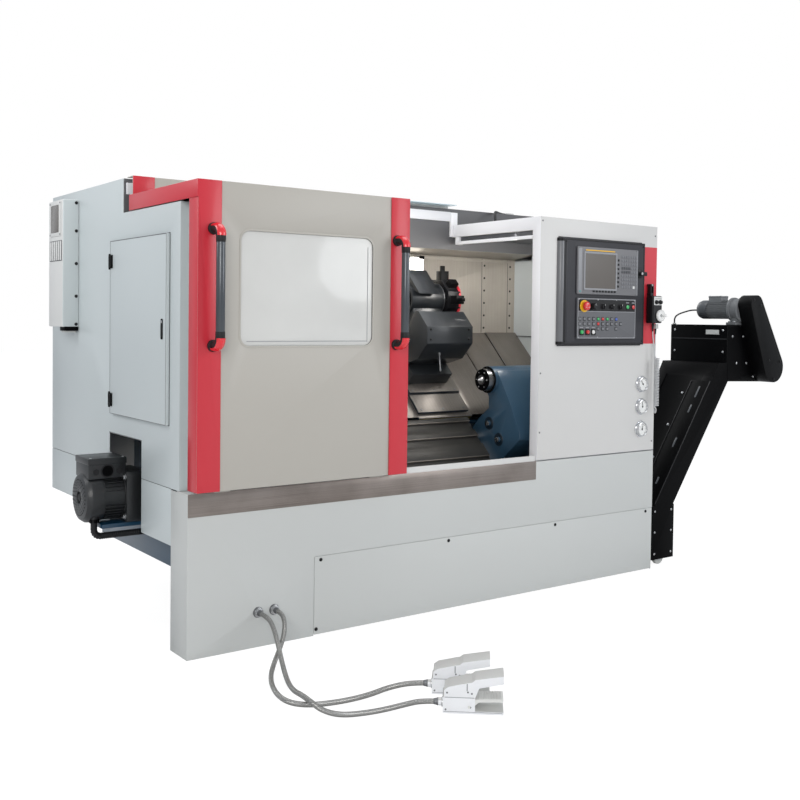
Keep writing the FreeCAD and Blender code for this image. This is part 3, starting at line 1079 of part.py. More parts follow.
node("quill", spun("quill_shape", axis_at, [
    ("quill_left", "centre_round + fit_gap"), ("quill_left + centre_deep + 1", "centre_round + fit_gap"),
    ("quill_left + centre_deep + 1", "0"), ("tail_left + quill_long - 130", "0"),
    ("tail_left + quill_long - 130", "quill_round"), ("quill_left + 4", "quill_round"),
    ("quill_left", "quill_round - 4")]))
node("live_centre", spun("live_centre_shape", axis_at, [
    ("centre_tip", "0"), ("quill_left + centre_deep", "0"), ("quill_left + centre_deep", "centre_round"),
    ("quill_left - 2", "centre_round"), ("centre_tip", "1")]))

# ---------------------------------------------------------------- chip conveyor
low_box = box("low_box", ("conveyor_box_left", "conveyor_front", "conveyor_box_low"),
              "conveyor_box_right - conveyor_box_left", "conveyor_wide", "conveyor_box_top - conveyor_box_low")
inner_pan = box("inner_pan", ("conveyor_inner", "conveyor_front + 30", "60"),
                "conveyor_box_left - conveyor_inner + 10", "conveyor_wide - 60", "190")
inner_hollow = box("inner_hollow", ("conveyor_inner + 12", "conveyor_front + 42", "96"),
                   "base_long - conveyor_inner - 60", "conveyor_wide - 84", "300")
collar = box("conveyor_collar", ("base_long + fit_gap", "conveyor_front + 4", "conveyor_box_low + 6"),
             "conveyor_box_left - base_long + 1", "conveyor_wide - 8", "conveyor_box_top - conveyor_box_low - 10")
trunk = prism("trunk", "front", [
    ("trunk_foot_left", "conveyor_box_top - 10"), ("trunk_foot_right", "conveyor_box_top - 10"),
    ("trunk_head_right", "trunk_head_high - 16"), ("trunk_head_right + 60", "trunk_head_high + 80"),
    ("trunk_head_left + 40", "trunk_head_high + 80"), ("trunk_head_left", "trunk_head_high + 8")],
    "conveyor_front", "conveyor_wide")
head_case = prism("head_case", "front", [
    ("hood_left", "hood_low + 8"), ("hood_right - 60", "hood_low"), ("hood_right", "hood_low + 60"),
    ("hood_right", "1060"), ("hood_right - 110", "hood_top"), ("hood_left", "hood_top")],
    "conveyor_front", "conveyor_wide")
outlet = box("outlet", ("hood_left + 120", "conveyor_front + 24", "hood_low - 20"), "150",
             "conveyor_wide - 48", "130")
side_rail = prism("side_rail", "front", [
    ("trunk_foot_left - 12", "conveyor_box_top - 6"), ("trunk_foot_left + 2", "conveyor_box_top - 6"),
    ("trunk_head_left + 12", "trunk_head_high + 8"), ("trunk_head_left - 2", "trunk_head_high + 14")],
    "conveyor_front", "62")
side_rail_far = prism("side_rail_far", "front", [
    ("trunk_foot_left - 12", "conveyor_box_top - 6"), ("trunk_foot_left + 2", "conveyor_box_top - 6"),
    ("trunk_head_left + 12", "trunk_head_high + 8"), ("trunk_head_left - 2", "trunk_head_high + 14")],
    "conveyor_front + conveyor_wide - 62", "62")
belt_plate = box("belt_plate", ("conveyor_inner + 14", "conveyor_front + 44", "96"),
                 "base_long - conveyor_inner - 66", "conveyor_wide - 88", "5")
belt_slats = [box("belt_slat_%d" % i, ("conveyor_inner + %d" % (60 + 120 * i), "conveyor_front + 44", "100"),
                  "10", "conveyor_wide - 88", "18") for i in range(13)]
head_bore_low = rod("head_bore_low", ("guard_low_right", "conveyor_front - 5", "guard_low_high"), "15.3",
                    "conveyor_wide + 10", "y")
caster_slots = [box("caster_slot_%d" % i, ("caster_at - caster_round - 6", y, "0"), "2 * caster_round + 12",
                    "caster_wide + 12", "caster_round * 2 + 8") for i, y in enumerate(("36", "330"))]
caster_bore = rod("caster_bore", ("caster_at", "30", "caster_round"), "7.3", "340", "y")
axle_block = box("axle_block", ("caster_at - 13", "75", "20"), "26", "20", "20")
axle_block_far = box("axle_block_far", ("caster_at - 13", "300", "20"), "26", "20", "20")
node("conveyor_frame", cut("conveyor_shape", fuse("conveyor_solid", low_box, inner_pan, collar, trunk, head_case, side_rail,
                                                  side_rail_far, axle_block, axle_block_far),
                           inner_hollow, outlet, head_bore_low, caster_bore, *caster_slots),
     fuse("slat_belt", belt_plate, *belt_slats))
wheels = [rod("wheel_%d" % i, ("caster_at", y, "caster_round"), "caster_round", "caster_wide", "y")
          for i, y in enumerate(("42", "336"))]
axle = rod("wheel_axle", ("caster_at", "45", "caster_round"), "7", "310", "y")
node("caster_wheels", fuse("caster_shape", axle, *wheels))

head_shaft_rod = rod("head_shaft_rod", ("guard_low_right", "conveyor_front - 40", "guard_low_high"), "15",
                     "conveyor_wide + 70", "y")
chain_wheel = rod("chain_wheel", ("guard_low_right", "conveyor_front - 46", "guard_low_high"), "56", "8", "y")
shaft_nut = rod("shaft_nut", ("guard_low_right", "conveyor_front + conveyor_wide + 4", "guard_low_high"),
                "26", "18", "y")
node("head_shaft", fuse("head_shaft_shape", head_shaft_rod, chain_wheel, shaft_nut))


def drop_plate(grow):
    """The teardrop round the two chain wheels, as a face on the conveyor's front side."""
    a = V(S["guard_top_right"], 0, S["guard_top_high"])
    b = V(S["guard_low_right"], 0, S["guard_low_high"])
    ra, rb = S["guard_top_round"] + grow, S["guard_low_round"] + grow
    line = b - a
    reach = line.Length
    line.normalize()
    square = V(-line.z, 0, line.x)
    lean = math.asin((ra - rb) / reach)
    points = []
    for sign in (1, -1):
        out = line * math.sin(lean) + square * (sign * math.cos(lean))
        points.append((a + out * ra, b + out * rb))
    edges = [Part.LineSegment(points[0][0], points[0][1]).toShape(),
             Part.Arc(points[0][1], b + line * rb, points[1][1]).toShape(),
             Part.LineSegment(points[1][1], points[1][0]).toShape(),
             Part.Arc(points[1][0], a - line * ra, points[0][0]).toShape()]
    return Part.Face(Part.Wire(edges))


guard = doc.addObject("Part::Feature", "guard_shape")
guard_outer = drop_plate(0).extrude(V(0, S["guard_deep"], 0))
guard_inner = drop_plate(-3).extrude(V(0, S["guard_deep"] - 6, 0))
guard_inner.translate(V(0, 3, 0))
shaft_way = Part.makeCylinder(15.6, 12, V(S["guard_low_right"], S["guard_deep"] - 6, S["guard_low_high"]),
                              V(0, 1, 0))
guard.Shape = guard_outer.cut(guard_inner).cut(shaft_way)
place(guard, ("0", "conveyor_front - guard_deep", "0"))
node("chain_guard", guard)

gear_axis = ("guard_top_right", "guard_top_high - 24")
gear_flange = rod("gear_flange", (gear_axis[0], "conveyor_front + fit_gap", gear_axis[1]), "gear_round", "66", "y")
gear_foot = box("gear_foot", ("guard_top_right - 60", "conveyor_front + 6", "hood_top"), "120", "60",
                "guard_top_high - 24 - hood_top")
gear_body = rod("gear_body", (gear_axis[0], "conveyor_front + 60", gear_axis[1]), "gear_motor_round",
                "gear_motor_long", "y")
gear_cap = cone("gear_cap", (gear_axis[0], "conveyor_front + 60 + gear_motor_long", gear_axis[1]),
                "gear_motor_round", "gear_motor_round - 16", "22", "y")
gear_box = box("gear_box", ("guard_top_right - 30", "conveyor_front + 120", "guard_top_high - 24 + 30"), "60", "80",
               "42")
gear_end = S["conveyor_front"] + 82 + S["gear_motor_long"]
gear_cable = swept("gear_cable", [
    (S["guard_top_right"], gear_end, S["guard_top_high"] - 29), (S["guard_top_right"], gear_end + 30, S["guard_top_high"] - 26),
    (S["guard_top_right"] - 17, gear_end + 56, S["guard_top_high"] - 28),
    (S["guard_top_right"] - 51, gear_end + 73, S["guard_top_high"] - 39),
    (S["guard_top_right"] - 85, gear_end + 79, S["guard_top_high"] - 49),
    (S["hood_left"] + 15, gear_end + 79, S["hood_top"] + 38), (S["hood_left"] + 15, gear_end + 79, S["hood_top"])],
    4.0, 20)
node("conveyor_gearmotor", fuse("gearmotor_shape", gear_flange, gear_foot, gear_body, gear_cap, gear_box), gear_cable)

# ---------------------------------------------------------------- pendant with its curly cord
PENDANT_FACE = "-pendant_gap - pendant_deep"
CORD_BACK = "-pendant_gap - pendant_deep / 2"
CORD_BACK_AT = -S["pendant_gap"] - S["pendant_deep"] / 2
RETURN_BACK_AT = -14.0
pendant_box = box("pendant_box", ("pendant_left", PENDANT_FACE, "pendant_low"), "pendant_right - pendant_left",
                  "pendant_deep", "pendant_top - pendant_low")
pendant_hook = box("pendant_hook", ("pendant_left + 14", "-pendant_gap - 16", "pendant_top - 1"), "22",
                   "pendant_gap + 16", "57")
pendant_window = box("pendant_window", ("pendant_left + 19", "-pendant_gap - 20", "pendant_top + 18"), "12",
                     "pendant_gap + 30", "22")
pendant_back = box("pendant_back", ("pendant_left + 12", "-pendant_gap - 1", "pendant_low + 40"), "40",
                   "pendant_gap + 1", "30")
pendant_knobs = [rod("pendant_knob_%d" % i, (x, PENDANT_FACE + " - 12", "pendant_top - 26"), "10", "13", "y")
                 for i, x in enumerate(("pendant_left + 26", "pendant_right - 26"))]
pendant_gland = rod("pendant_gland", ("pendant_left + 25", CORD_BACK, "pendant_low - 14"), "6", "15")
node("pendant", fuse("pendant_shape", cut("hook_shape", pendant_hook, pendant_window), pendant_box, pendant_back,
                     pendant_gland, *pendant_knobs))
dial_rim = rod("dial_rim", ("pendant_left + 47", PENDANT_FACE + " - 12", "pendant_low + 36"), "dial_round",
               "12 - fit_gap", "y")
dial_grip = rod("dial_grip", ("pendant_left + 63", PENDANT_FACE + " - 28", "pendant_low + 36"), "6", "17", "y")
node("pendant_dial", fuse("dial_shape", dial_rim, dial_grip))

WIRE = 2.6           # radius of the curly cord's wire
COIL = 10.0          # radius of the curls' centre line
CURLS = 31
PITCH = 7.4          # climb from curl to curl
COIL_X = S["pendant_left"] + 53.0
COIL_Y = -38.0
COIL_TOP = 1019.0


def biarc(start, start_way, end, end_way):
    """Two tangent arcs between two points with given directions."""
    chord = end - start
    a = 2 * (1 - start_way.dot(end_way))
    b = 2 * chord.dot(start_way + end_way)
    c = -chord.dot(chord)
    reach = -c / b if abs(a) < 1e-9 else (-b + math.sqrt(b * b - 4 * a * c)) / (2 * a)
    near = start + start_way * reach
    far = end - end_way * reach
    middle = (near + far) * 0.5
    edges = []
    for p, q, r in ((start, near, middle), (middle, far, end)):
        back, ahead = p - q, r - q
        turn = math.pi - back.getAngle(ahead)
        if turn < 1e-6:
            edges.append(Part.LineSegment(p, r).toShape())
            continue
        bend = reach / math.tan(turn / 2)
        back.normalize()
        ahead.normalize()
        inward = back + ahead
        inward.normalize()
        edges.append(Part.Arc(p, q + inward * (bend / math.cos(turn / 2) - bend), r).toShape())
        RADII.append(bend)
    return edges


RADII = []


def curly_cord():
    """One unbroken wire: a lead from the pendant, a row of curls, a loop below and a way back up."""
    down, up = V(0, 0, -1), V(0, 0, 1)
    slope = -PITCH / (2 * math.pi * COIL)

    def curl(turns):
        """The point and direction on the curls after a number of turns."""
        angle = math.pi + 2 * math.pi * turns
        heading = V(-math.sin(angle), math.cos(angle), slope)
        heading.normalize()
        return (V(COIL_X + COIL * math.cos(angle), COIL_Y + COIL * math.sin(angle), COIL_TOP - PITCH * turns),
                heading)

    gland = V(S["pendant_left"] + 25, CORD_BACK_AT, S["pendant_low"] - 14)
    lead = gland + down * (2 * WIRE)
    first, first_way = curl(0)
    above = V(first.x, first.y + 8, first.z + 11)
    edges = [Part.LineSegment(gland, lead).toShape()]
    edges += biarc(lead, down, above, down)
    edges += biarc(above, down, first, first_way)
    at, way = first, first_way
    for half in range(1, 2 * CURLS + 1):
        to, to_way = curl(half / 2.0)
        edges += biarc(at, way, to, to_way)
        at, way = to, to_way
    below = V(at.x, at.y - 8, at.z - 11)
    edges += biarc(at, way, below, down)
    back = V(S["pendant_left"] + 66, RETURN_BACK_AT, below.z)
    edges += biarc(below, down, back, up)
    top = V(S["pendant_left"] + 66, RETURN_BACK_AT, S["pendant_low"] - 26)
    high = top - up * (2 * WIRE)
    edges.append(Part.LineSegment(back, high).toShape())
    edges.append(Part.LineSegment(high, top).toShape())
    wire = Part.Wire(edges)
    section = Part.Wire([Part.Circle(gland, down, WIRE).toShape()])
    solid = wire.makePipeShell([section], True, False)
    print("pendant_cord: length %.0f, least radius %.1f, volume ratio %.4f, valid %s"
          % (wire.Length, min(RADII), solid.Volume / (math.pi * WIRE ** 2 * wire.Length), solid.isValid()))
    points = wire.discretize(Distance=2.0)
    near = min((points[i] - points[k]).Length for i in range(len(points))
               for k in range(i + 9, len(points)))
    print("pendant_cord: least gap to itself %.2f" % (near - 2 * WIRE))
    return solid


coil_feature = doc.addObject("Part::Feature", "pendant_wire")
coil_feature.Shape = curly_cord()
node("pendant_cord", coil_feature)

# ---------------------------------------------------------------- foot pedals and their conduits
PEDAL_TURN = FreeCAD.Rotation(V(0, 0, 1), -40)
PEDALS = {"front": ("445", "-860"), "rear": ("514", "-717")}
for name, corner in PEDALS.items():
    spot = (corner[0], corner[1], "0")
    plate = box("pedal_plate_" + name, ("0", "0", "0"), "pedal_long", "pedal_wide", "8")
    body = box("pedal_body_" + name, ("0", "0", "0"), "pedal_body", "pedal_wide", "pedal_seam")
    cap = prism("pedal_cap_" + name, "front", [
        ("4", "pedal_seam"), ("pedal_body", "pedal_seam"), ("pedal_body + 12", "pedal_seam + 30"),
        ("pedal_long", "guard_crest - 24"), ("pedal_long", "guard_crest"), ("pedal_body", "guard_crest - 14"),
        ("pedal_body - 10", "guard_crest - 22"), ("pedal_body - 22", "guard_crest - 24"), ("18", "pedal_seam + 32"),
        ("4", "pedal_seam + 22")], "0", "pedal_wide")
    hollow = prism("pedal_hollow_" + name, "front", [
        ("pedal_body - 26", "8 + 4"), ("pedal_body + 6", "8 + 4"), ("pedal_body + 16", "pedal_seam + 30"),
        ("pedal_long + 5", "guard_crest - 26"), ("pedal_long + 5", "guard_crest - pedal_wall"),
        ("pedal_body + 4", "guard_crest - 17 - pedal_wall"), ("pedal_body - 26", "guard_crest - 34 - pedal_wall")],
        "pedal_wall", "pedal_wide - 2 * pedal_wall")
    boss = rod("pedal_boss_" + name, ("1", "pedal_wide / 2", "pedal_gland"), "gland_round", "gland_long + 1", "-x")
    pin_way = rod("pin_way_" + name, ("pedal_body - 18", "-5", "21"), "4.3", "pedal_wide + 10", "y")
    seam = box("pedal_step_" + name, ("-1", "-1", "pedal_seam - 0.8"), "pedal_body + 2", "2", "1.6")
    node("pedal_" + name, cut("pedal_shape_" + name, fuse("pedal_solid_" + name, plate, body, cap, boss),
                              hollow, pin_way, seam), at=spot, rotation=PEDAL_TURN)
    tread = prism("tread_" + name, "front", [
        ("pedal_body + 8", "34"), ("pedal_long - 1", "37"), ("pedal_long - 1", "46"), ("pedal_body + 8", "43"),
        ("pedal_body - 8", "38"), ("pedal_body - 8", "31")], "pedal_wall + 1", "pedal_wide - 2 * pedal_wall - 2")
    ribs = [box("tread_rib_%s_%d" % (name, i), ("pedal_body + %d" % (12 + 8 * i), "pedal_wall + 3", 42 + 0.32 * i), "3",
                "pedal_wide - 2 * pedal_wall - 6", "3.2") for i in range(9)]
    arm = prism("tread_arm_" + name, "front", [
        ("pedal_body - 24", "16"), ("pedal_body - 12", "15"), ("pedal_body + 12", "34"), ("pedal_body + 12", "40"),
        ("pedal_body - 8", "38"), ("pedal_body - 24", "27")], "pedal_wall + 1", "pedal_wide - 2 * pedal_wall - 2")
    pin = rod("tread_pin_" + name, ("pedal_body - 18", "-2", "21"), "4", "pedal_wide + 4", "y")
    node("treadle_" + name, fuse("treadle_shape_" + name, tread, arm, pin, *ribs), at=spot, rotation=PEDAL_TURN)


def conduit(name, points):
    """A pedal's metal conduit, on the floor from the skirt's gland to the pedal's."""
    tube = swept(name, points, S["conduit_round"], 80)
    node(name, tube)


GLAND_FACE = -S["gland_long"]
pedal_way = V(math.cos(math.radians(-40)), math.sin(math.radians(-40)), 0)
pedal_side = V(-pedal_way.y, pedal_way.x, 0)


def pedal_end(corner):
    """The outer end of a pedal's gland."""
    end = V(float(corner[0]), float(corner[1]), S["pedal_gland"])
    return end + pedal_side * (S["pedal_wide"] / 2) - pedal_way * S["gland_long"]


front_end = pedal_end(PEDALS["front"])
rear_end = pedal_end(PEDALS["rear"])
FRONT_ROUTE = [(S["gland_left_at"], GLAND_FACE, S["gland_high"]), (S["gland_left_at"], -70, S["gland_high"]),
               (263, -134, 113), (246, -196, 80), (228, -253, 42), (203, -326, 12), (168, -415, 8.3),
               (145, -490, 15), (132, -556, 26.5), (127, -616, 26), (135, -672, 14), (168, -718, 8.3),
               (228, -744, 8.3), (300, -757, 8.3), (368, -768, 13),
               tuple(front_end - pedal_way * 52), tuple(front_end)]
REAR_ROUTE = [(S["gland_right_at"], GLAND_FACE, S["gland_high"]), (S["gland_right_at"], -60, S["gland_high"]),
              (326, -108, 106), (298, -148, 72), (258, -186, 40), (206, -240, 14), (158, -310, 8.3),
              (118, -392, 8.3), (92, -478, 8.3), (92, -548, 8.3), (128, -596, 8.3), (190, -620, 8.3),
              (262, -632, 8.3), (338, -630, 8.3), (412, -622, 13),
              tuple(rear_end - pedal_way * 52), tuple(rear_end)]
conduit("pedal_hose_front", FRONT_ROUTE)
conduit("pedal_hose_rear", REAR_ROUTE)

# ---------------------------------------------------------------- checks and files
doc.recompute()
trouble = []
for obj in doc.Objects:
    if "Invalid" in obj.State or "Error" in obj.State:
        trouble.append("%s: %s" % (obj.Name, obj.State))
for label, obj in NODES.items():
    shape = obj.Shape
    if shape.isNull() or not shape.isValid() or not shape.Solids:
        trouble.append("%s: no valid solid" % label)
if trouble:
    raise RuntimeError("; ".join(trouble))
os.makedirs("parts", exist_ok=True)
for label, obj in NODES.items():
    obj.Shape.exportStep("parts/%s.step" % label)
whole = FreeCAD.BoundBox()
for label, obj in NODES.items():
    if label in ("pendant_cord", "pedal_front", "pedal_rear", "treadle_front", "treadle_rear",
                 "pedal_hose_front", "pedal_hose_rear"):
        continue
    whole.add(obj.Shape.BoundBox)
print("%d pieces, machine box %s" % (len(NODES), whole))
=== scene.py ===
"""CNC turning lathe: the looks, cords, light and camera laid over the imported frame."""

import json
import logging
import math
from dataclasses import dataclass, replace
from enum import Enum
from functools import cache
from typing import Callable, Sequence

import bmesh
import bpy
from mathutils import Matrix, Vector


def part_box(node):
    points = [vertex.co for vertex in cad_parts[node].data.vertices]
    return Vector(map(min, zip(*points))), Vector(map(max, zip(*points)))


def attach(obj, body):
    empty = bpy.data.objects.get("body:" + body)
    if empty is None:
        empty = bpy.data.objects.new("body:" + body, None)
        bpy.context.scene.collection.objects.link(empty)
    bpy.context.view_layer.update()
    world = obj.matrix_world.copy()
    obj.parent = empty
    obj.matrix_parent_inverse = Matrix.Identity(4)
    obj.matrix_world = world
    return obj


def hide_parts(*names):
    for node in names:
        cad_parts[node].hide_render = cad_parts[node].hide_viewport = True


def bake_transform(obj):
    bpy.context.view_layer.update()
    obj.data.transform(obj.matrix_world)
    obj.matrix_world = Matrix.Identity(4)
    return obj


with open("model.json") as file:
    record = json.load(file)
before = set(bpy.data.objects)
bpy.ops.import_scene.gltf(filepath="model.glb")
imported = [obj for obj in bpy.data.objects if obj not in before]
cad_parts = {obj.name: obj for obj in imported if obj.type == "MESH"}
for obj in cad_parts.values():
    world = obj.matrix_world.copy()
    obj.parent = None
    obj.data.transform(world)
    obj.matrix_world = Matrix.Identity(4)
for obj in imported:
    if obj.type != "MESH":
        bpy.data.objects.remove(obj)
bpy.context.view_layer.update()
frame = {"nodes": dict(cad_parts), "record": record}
BODY_OF = {node: body for body, nodes in frame["record"]["behaviour"]["bodies"].items() for node in nodes}
LEFT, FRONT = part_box("base_skirt")[0].x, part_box("lower_front_panel")[0].y
MM = 0.001
HALF_TURN = math.pi
DIAGONAL = math.sqrt(0.5)

Point = Sequence[float]
Shape = bmesh.types.BMesh
Socket = bpy.types.NodeSocket
Test = Callable[[Vector, Vector], bool]
log = logging.getLogger("turning_lathe")


class Axis(Enum):
    """The way a turned shape, a screw or a turn runs."""

    X = (1.0, 0.0, 0.0)
    Y = (0.0, 1.0, 0.0)
    Z = (0.0, 0.0, 1.0)


X, Y, Z = Axis


# ---------------------------------------------------------------- places, in millimetres from the base's corner
def at(x: float, y: float, z: float) -> Vector:
    """Turn millimetres from the base's front left floor corner into the part's own metres."""
    return Vector((x * MM + LEFT, y * MM + FRONT, z * MM))


def slant(along: float, off: float) -> tuple[float, float]:
    """Give the depth and height of a place so far up the 45 degree bed and so far off its face."""
    return 250 + (along - off) * DIAGONAL, 464.6 + (along + off) * DIAGONAL


def ring(count: int, radius: float, first: float = 0.0) -> list[tuple[float, float]]:
    """Give the offsets of places spread evenly round a circle, the first at an angle in degrees."""
    angles = [math.radians(first + 360 * i / count) for i in range(count)]
    return [(radius * math.cos(a), radius * math.sin(a)) for a in angles]


def about(place: Point, degrees: float, axis: Axis = Axis.X) -> Matrix:
    """Give the matrix that turns a shape round an axis through a place."""
    turn = Matrix.Rotation(math.radians(degrees), 4, axis.name)
    return Matrix.Translation(at(*place)) @ turn @ Matrix.Translation(-at(*place))


def between(start: Vector, end: Vector) -> Matrix:
    """Give the matrix that carries the Z axis from the origin onto a line's middle."""
    turn = (end - start).to_track_quat("Z", "Y").to_matrix().to_4x4()
    return Matrix.Translation((start + end) / 2) @ turn


def inside(*box: float) -> Test:
    """Make a test for faces whose middle lies between the lowest and highest corner of a box."""
    low, high = at(*box[:3]), at(*box[3:])
    return lambda middle, normal: all(p <= m <= q for p, m, q in zip(low, middle, high))


def slanted(*box: float) -> Test:
    """Make a test for faces within a box that look forward and up, as the bed's own face does."""
    within = inside(*box)
    return lambda middle, normal: within(middle, normal) and normal.y < -0.6 and normal.z > 0.6


# ---------------------------------------------------------------- shader graphs
def tone(code: str) -> tuple[float, float, float, float]:
    """Turn a hex sRGB code into the linear colour that a shader takes."""
    parts = [int(code[i:i + 2], 16) / 255 for i in (0, 2, 4)]
    return (*(c / 12.92 if c <= 0.04045 else ((c + 0.055) / 1.055) ** 2.4 for c in parts), 1.0)


class Graph:
    """A small hand for wiring a node tree."""

    def __init__(self, tree: bpy.types.NodeTree) -> None:
        """Hold the tree that is wired."""
        self.tree = tree

    def feed(self, node: bpy.types.Node, **inputs: object) -> bpy.types.Node:
        """Set a node's inputs.

        Args:
            node: the node.
            inputs: values or sockets by the input's name, with an underscore for a blank, or by
                the letter i and its number.

        Returns:
            The node.
        """
        for key, value in inputs.items():
            socket = node.inputs[int(key[1:]) if key[1:].isdigit() else key.replace("_", " ")]
            if isinstance(value, Socket):
                self.tree.links.new(value, socket)
            else:
                socket.default_value = value
        return node

    def add(self, kind: str | bpy.types.NodeTree, operation: str = "", **inputs: object) -> bpy.types.Node:
        """Add a node.

        Args:
            kind: its type without the ShaderNode prefix, or a node group's tree.
            operation: the operation of a maths node.
            inputs: its inputs, as for feed.

        Returns:
            The new node.
        """
        node = self.tree.nodes.new("ShaderNode" + (kind if isinstance(kind, str) else "Group"))
        if not isinstance(kind, str):
            node.node_tree = kind
        if operation:
            node.operation = operation
        return self.feed(node, **inputs)

    def math(self, operation: str, a: object, b: object = 0.0) -> Socket:
        """Add a maths node and give its result."""
        return self.add("Math", operation, i0=a, i1=b).outputs[0]

    def swing(self, source: Socket, amount: object) -> Socket:
        """Centre a mask on nought and scale it."""
        return self.math("MULTIPLY", self.math("SUBTRACT", source, 0.5), amount)

    def ramp(self, factor: object, dark: float, dark_tone: str, light: float, light_tone: str) -> Socket:
        """Add a colour ramp.

        Args:
            factor: what it reads.
            dark, dark_tone: place and hex code of its first stop.
            light, light_tone: place and hex code of its second stop.

        Returns:
            Its colour.
        """
        node = self.add("ValToRGB", Fac=factor)
        stops = ((dark, dark_tone), (light, light_tone))
        for element, (position, code) in zip(node.color_ramp.elements, stops):
            element.position, element.color = position, tone(code)
        return node.outputs["Color"]

    def camera_sees(self) -> Socket:
        """Give a mask of the rays that come from the camera, also through glass."""
        path = self.add("LightPath")
        return self.math("MAXIMUM", path.outputs["Is Camera Ray"], path.outputs["Is Transmission Ray"])

    def mix(self, mask: object, first: bpy.types.Node, second: bpy.types.Node) -> bpy.types.Node:
        """Mix two shaders by a mask."""
        return self.add("MixShader", i0=mask, i1=first.outputs[0], i2=second.outputs[0])


class Surface(Graph):
    """The graph of a material, with its shader."""

    def __init__(self, name: str) -> None:
        """Make a material.

        Args:
            name: its name.
        """
        self.material = bpy.data.materials.new(name)
        self.material.use_nodes = True
        super().__init__(self.material.node_tree)
        self.shader = self.tree.nodes["Principled BSDF"]

    def body(self, colour: str, *levels: float) -> bpy.types.Node:
        """Wire an uneven colour and gloss.

        Args:
            colour: hex code of the colour.
            levels: cloud, speck, size, roughness and spread.

        Returns:
            The node that gives them.
        """
        named = dict(zip(("Cloud", "Speck", "Size", "Roughness", "Spread"), levels))
        made = self.add(group_tone(), Colour=tone(colour), **named)
        self.feed(self.shader, Base_Color=made.outputs["Colour"], Roughness=made.outputs["Roughness"])
        return made

    def bump(self, strength: float, distance: float, height: Socket) -> None:
        """Wire a relief into the shader."""
        node = self.add("Bump", Strength=strength, Distance=distance, Height=height)
        self.feed(self.shader, Normal=node.outputs["Normal"])


def start_group(name: str, inputs: dict[str, object], *outputs: str
                ) -> tuple[Graph, bpy.types.NodeOutputs, bpy.types.Node, Socket]:
    """Start a shader node group.

    Args:
        name: the group's name.
        inputs: its inputs with their defaults, whose lengths give their types.
        outputs: its outputs, numbers apart from Colour.

    Returns:
        Its graph, its given sockets, its output node and the object's own coordinates.
    """
    tree = bpy.data.node_groups.new(name, "ShaderNodeTree")
    for label, default in inputs.items():
        kind = {4: "Color", 3: "Vector"}[len(default)] if isinstance(default, tuple) else "Float"
        socket = tree.interface.new_socket(label, in_out="INPUT", socket_type="NodeSocket" + kind)
        socket.default_value = default
    for label in outputs:
        kind = "Color" if label == "Colour" else "Float"
        tree.interface.new_socket(label, in_out="OUTPUT", socket_type="NodeSocket" + kind)
    g = Graph(tree)
    given, out = tree.nodes.new("NodeGroupInput").outputs, tree.nodes.new("NodeGroupOutput")
    return g, given, out, g.add("TexCoord").outputs["Object"]


@cache
def group_tone() -> bpy.types.NodeTree:
    """Make uneven colour and gloss: broad clouds with fine specks.

    Returns:
        The node group.
    """
    g, given, out, place = start_group(
        "surface_tone", {"Colour": (0.8, 0.8, 0.8, 1), "Cloud": 0.05, "Speck": 0.03, "Size": 3.0,
                         "Roughness": 0.4, "Spread": 0.08}, "Colour", "Roughness")
    cloud = g.add("TexNoise", Vector=place, Scale=given["Size"], Detail=3.0).outputs["Fac"]
    fine = g.add("TexNoise", Vector=place, Scale=420.0, Detail=2.0).outputs["Fac"]
    both = g.math("ADD", g.swing(cloud, given["Cloud"]), g.swing(fine, given["Speck"]))
    shade = g.add("HueSaturation", Value=g.math("ADD", both, 1.0), Color=given["Colour"])
    gloss = g.math("ADD", g.swing(cloud, given["Spread"]), given["Roughness"])
    g.feed(out, Colour=shade.outputs["Color"], Roughness=gloss)
    return g.tree


@cache
def group_relief() -> bpy.types.NodeTree:
    """Make a fine even relief, as on powder coat, cast skin or moulded grain.

    Returns:
        The node group.
    """
    g, given, out, place = start_group("fine_relief", {"Grain": 600.0, "Detail": 2.0, "Pits": 0.0}, "Height")
    grain = g.add("TexNoise", Vector=place, Scale=given["Grain"], Detail=given["Detail"])
    cells = g.add("TexVoronoi", Vector=place, Scale=given["Grain"])
    pitted = g.math("MULTIPLY", cells.outputs["Distance"], given["Pits"])
    g.feed(out, Height=g.math("ADD", grain.outputs["Fac"], pitted))
    return g.tree


@cache
def group_brush() -> bpy.types.NodeTree:
    """Make long brushing marks, stretched on each axis, with a broad smear.

    Returns:
        The node group.
    """
    g, given, out, place = start_group("brush_marks", {"Stretch": (2.0, 900.0, 900.0)}, "Mask", "Smear")
    scaled = g.add("VectorMath", "MULTIPLY", i0=place, i1=given["Stretch"])
    marks = g.add("TexNoise", Vector=scaled.outputs[0], Scale=1.0, Detail=4.0, Roughness=0.7)
    smear = g.add("TexNoise", Vector=place, Scale=5.0, Detail=3.0)
    g.feed(out, Mask=marks.outputs["Fac"], Smear=smear.outputs["Fac"])
    return g.tree


@cache
def group_rings() -> bpy.types.NodeTree:
    """Make turning marks: fine rings round a line along X through a place.

    Returns:
        The node group.
    """
    g, given, out, place = start_group("turning_rings", {"Centre": (0.0, 0.0, 0.0), "Pitch": 0.0015}, "Mask")
    moved = g.add("VectorMath", "SUBTRACT", i0=place, i1=given["Centre"])
    flat = g.add("VectorMath", "MULTIPLY", i0=moved.outputs[0], i1=(0.0, 1.0, 1.0))
    far = g.add("VectorMath", "LENGTH", i0=flat.outputs[0])
    turns = g.math("DIVIDE", far.outputs["Value"], given["Pitch"])
    g.feed(out, Mask=g.math("SINE", g.math("MULTIPLY", turns, 6.283)))
    return g.tree


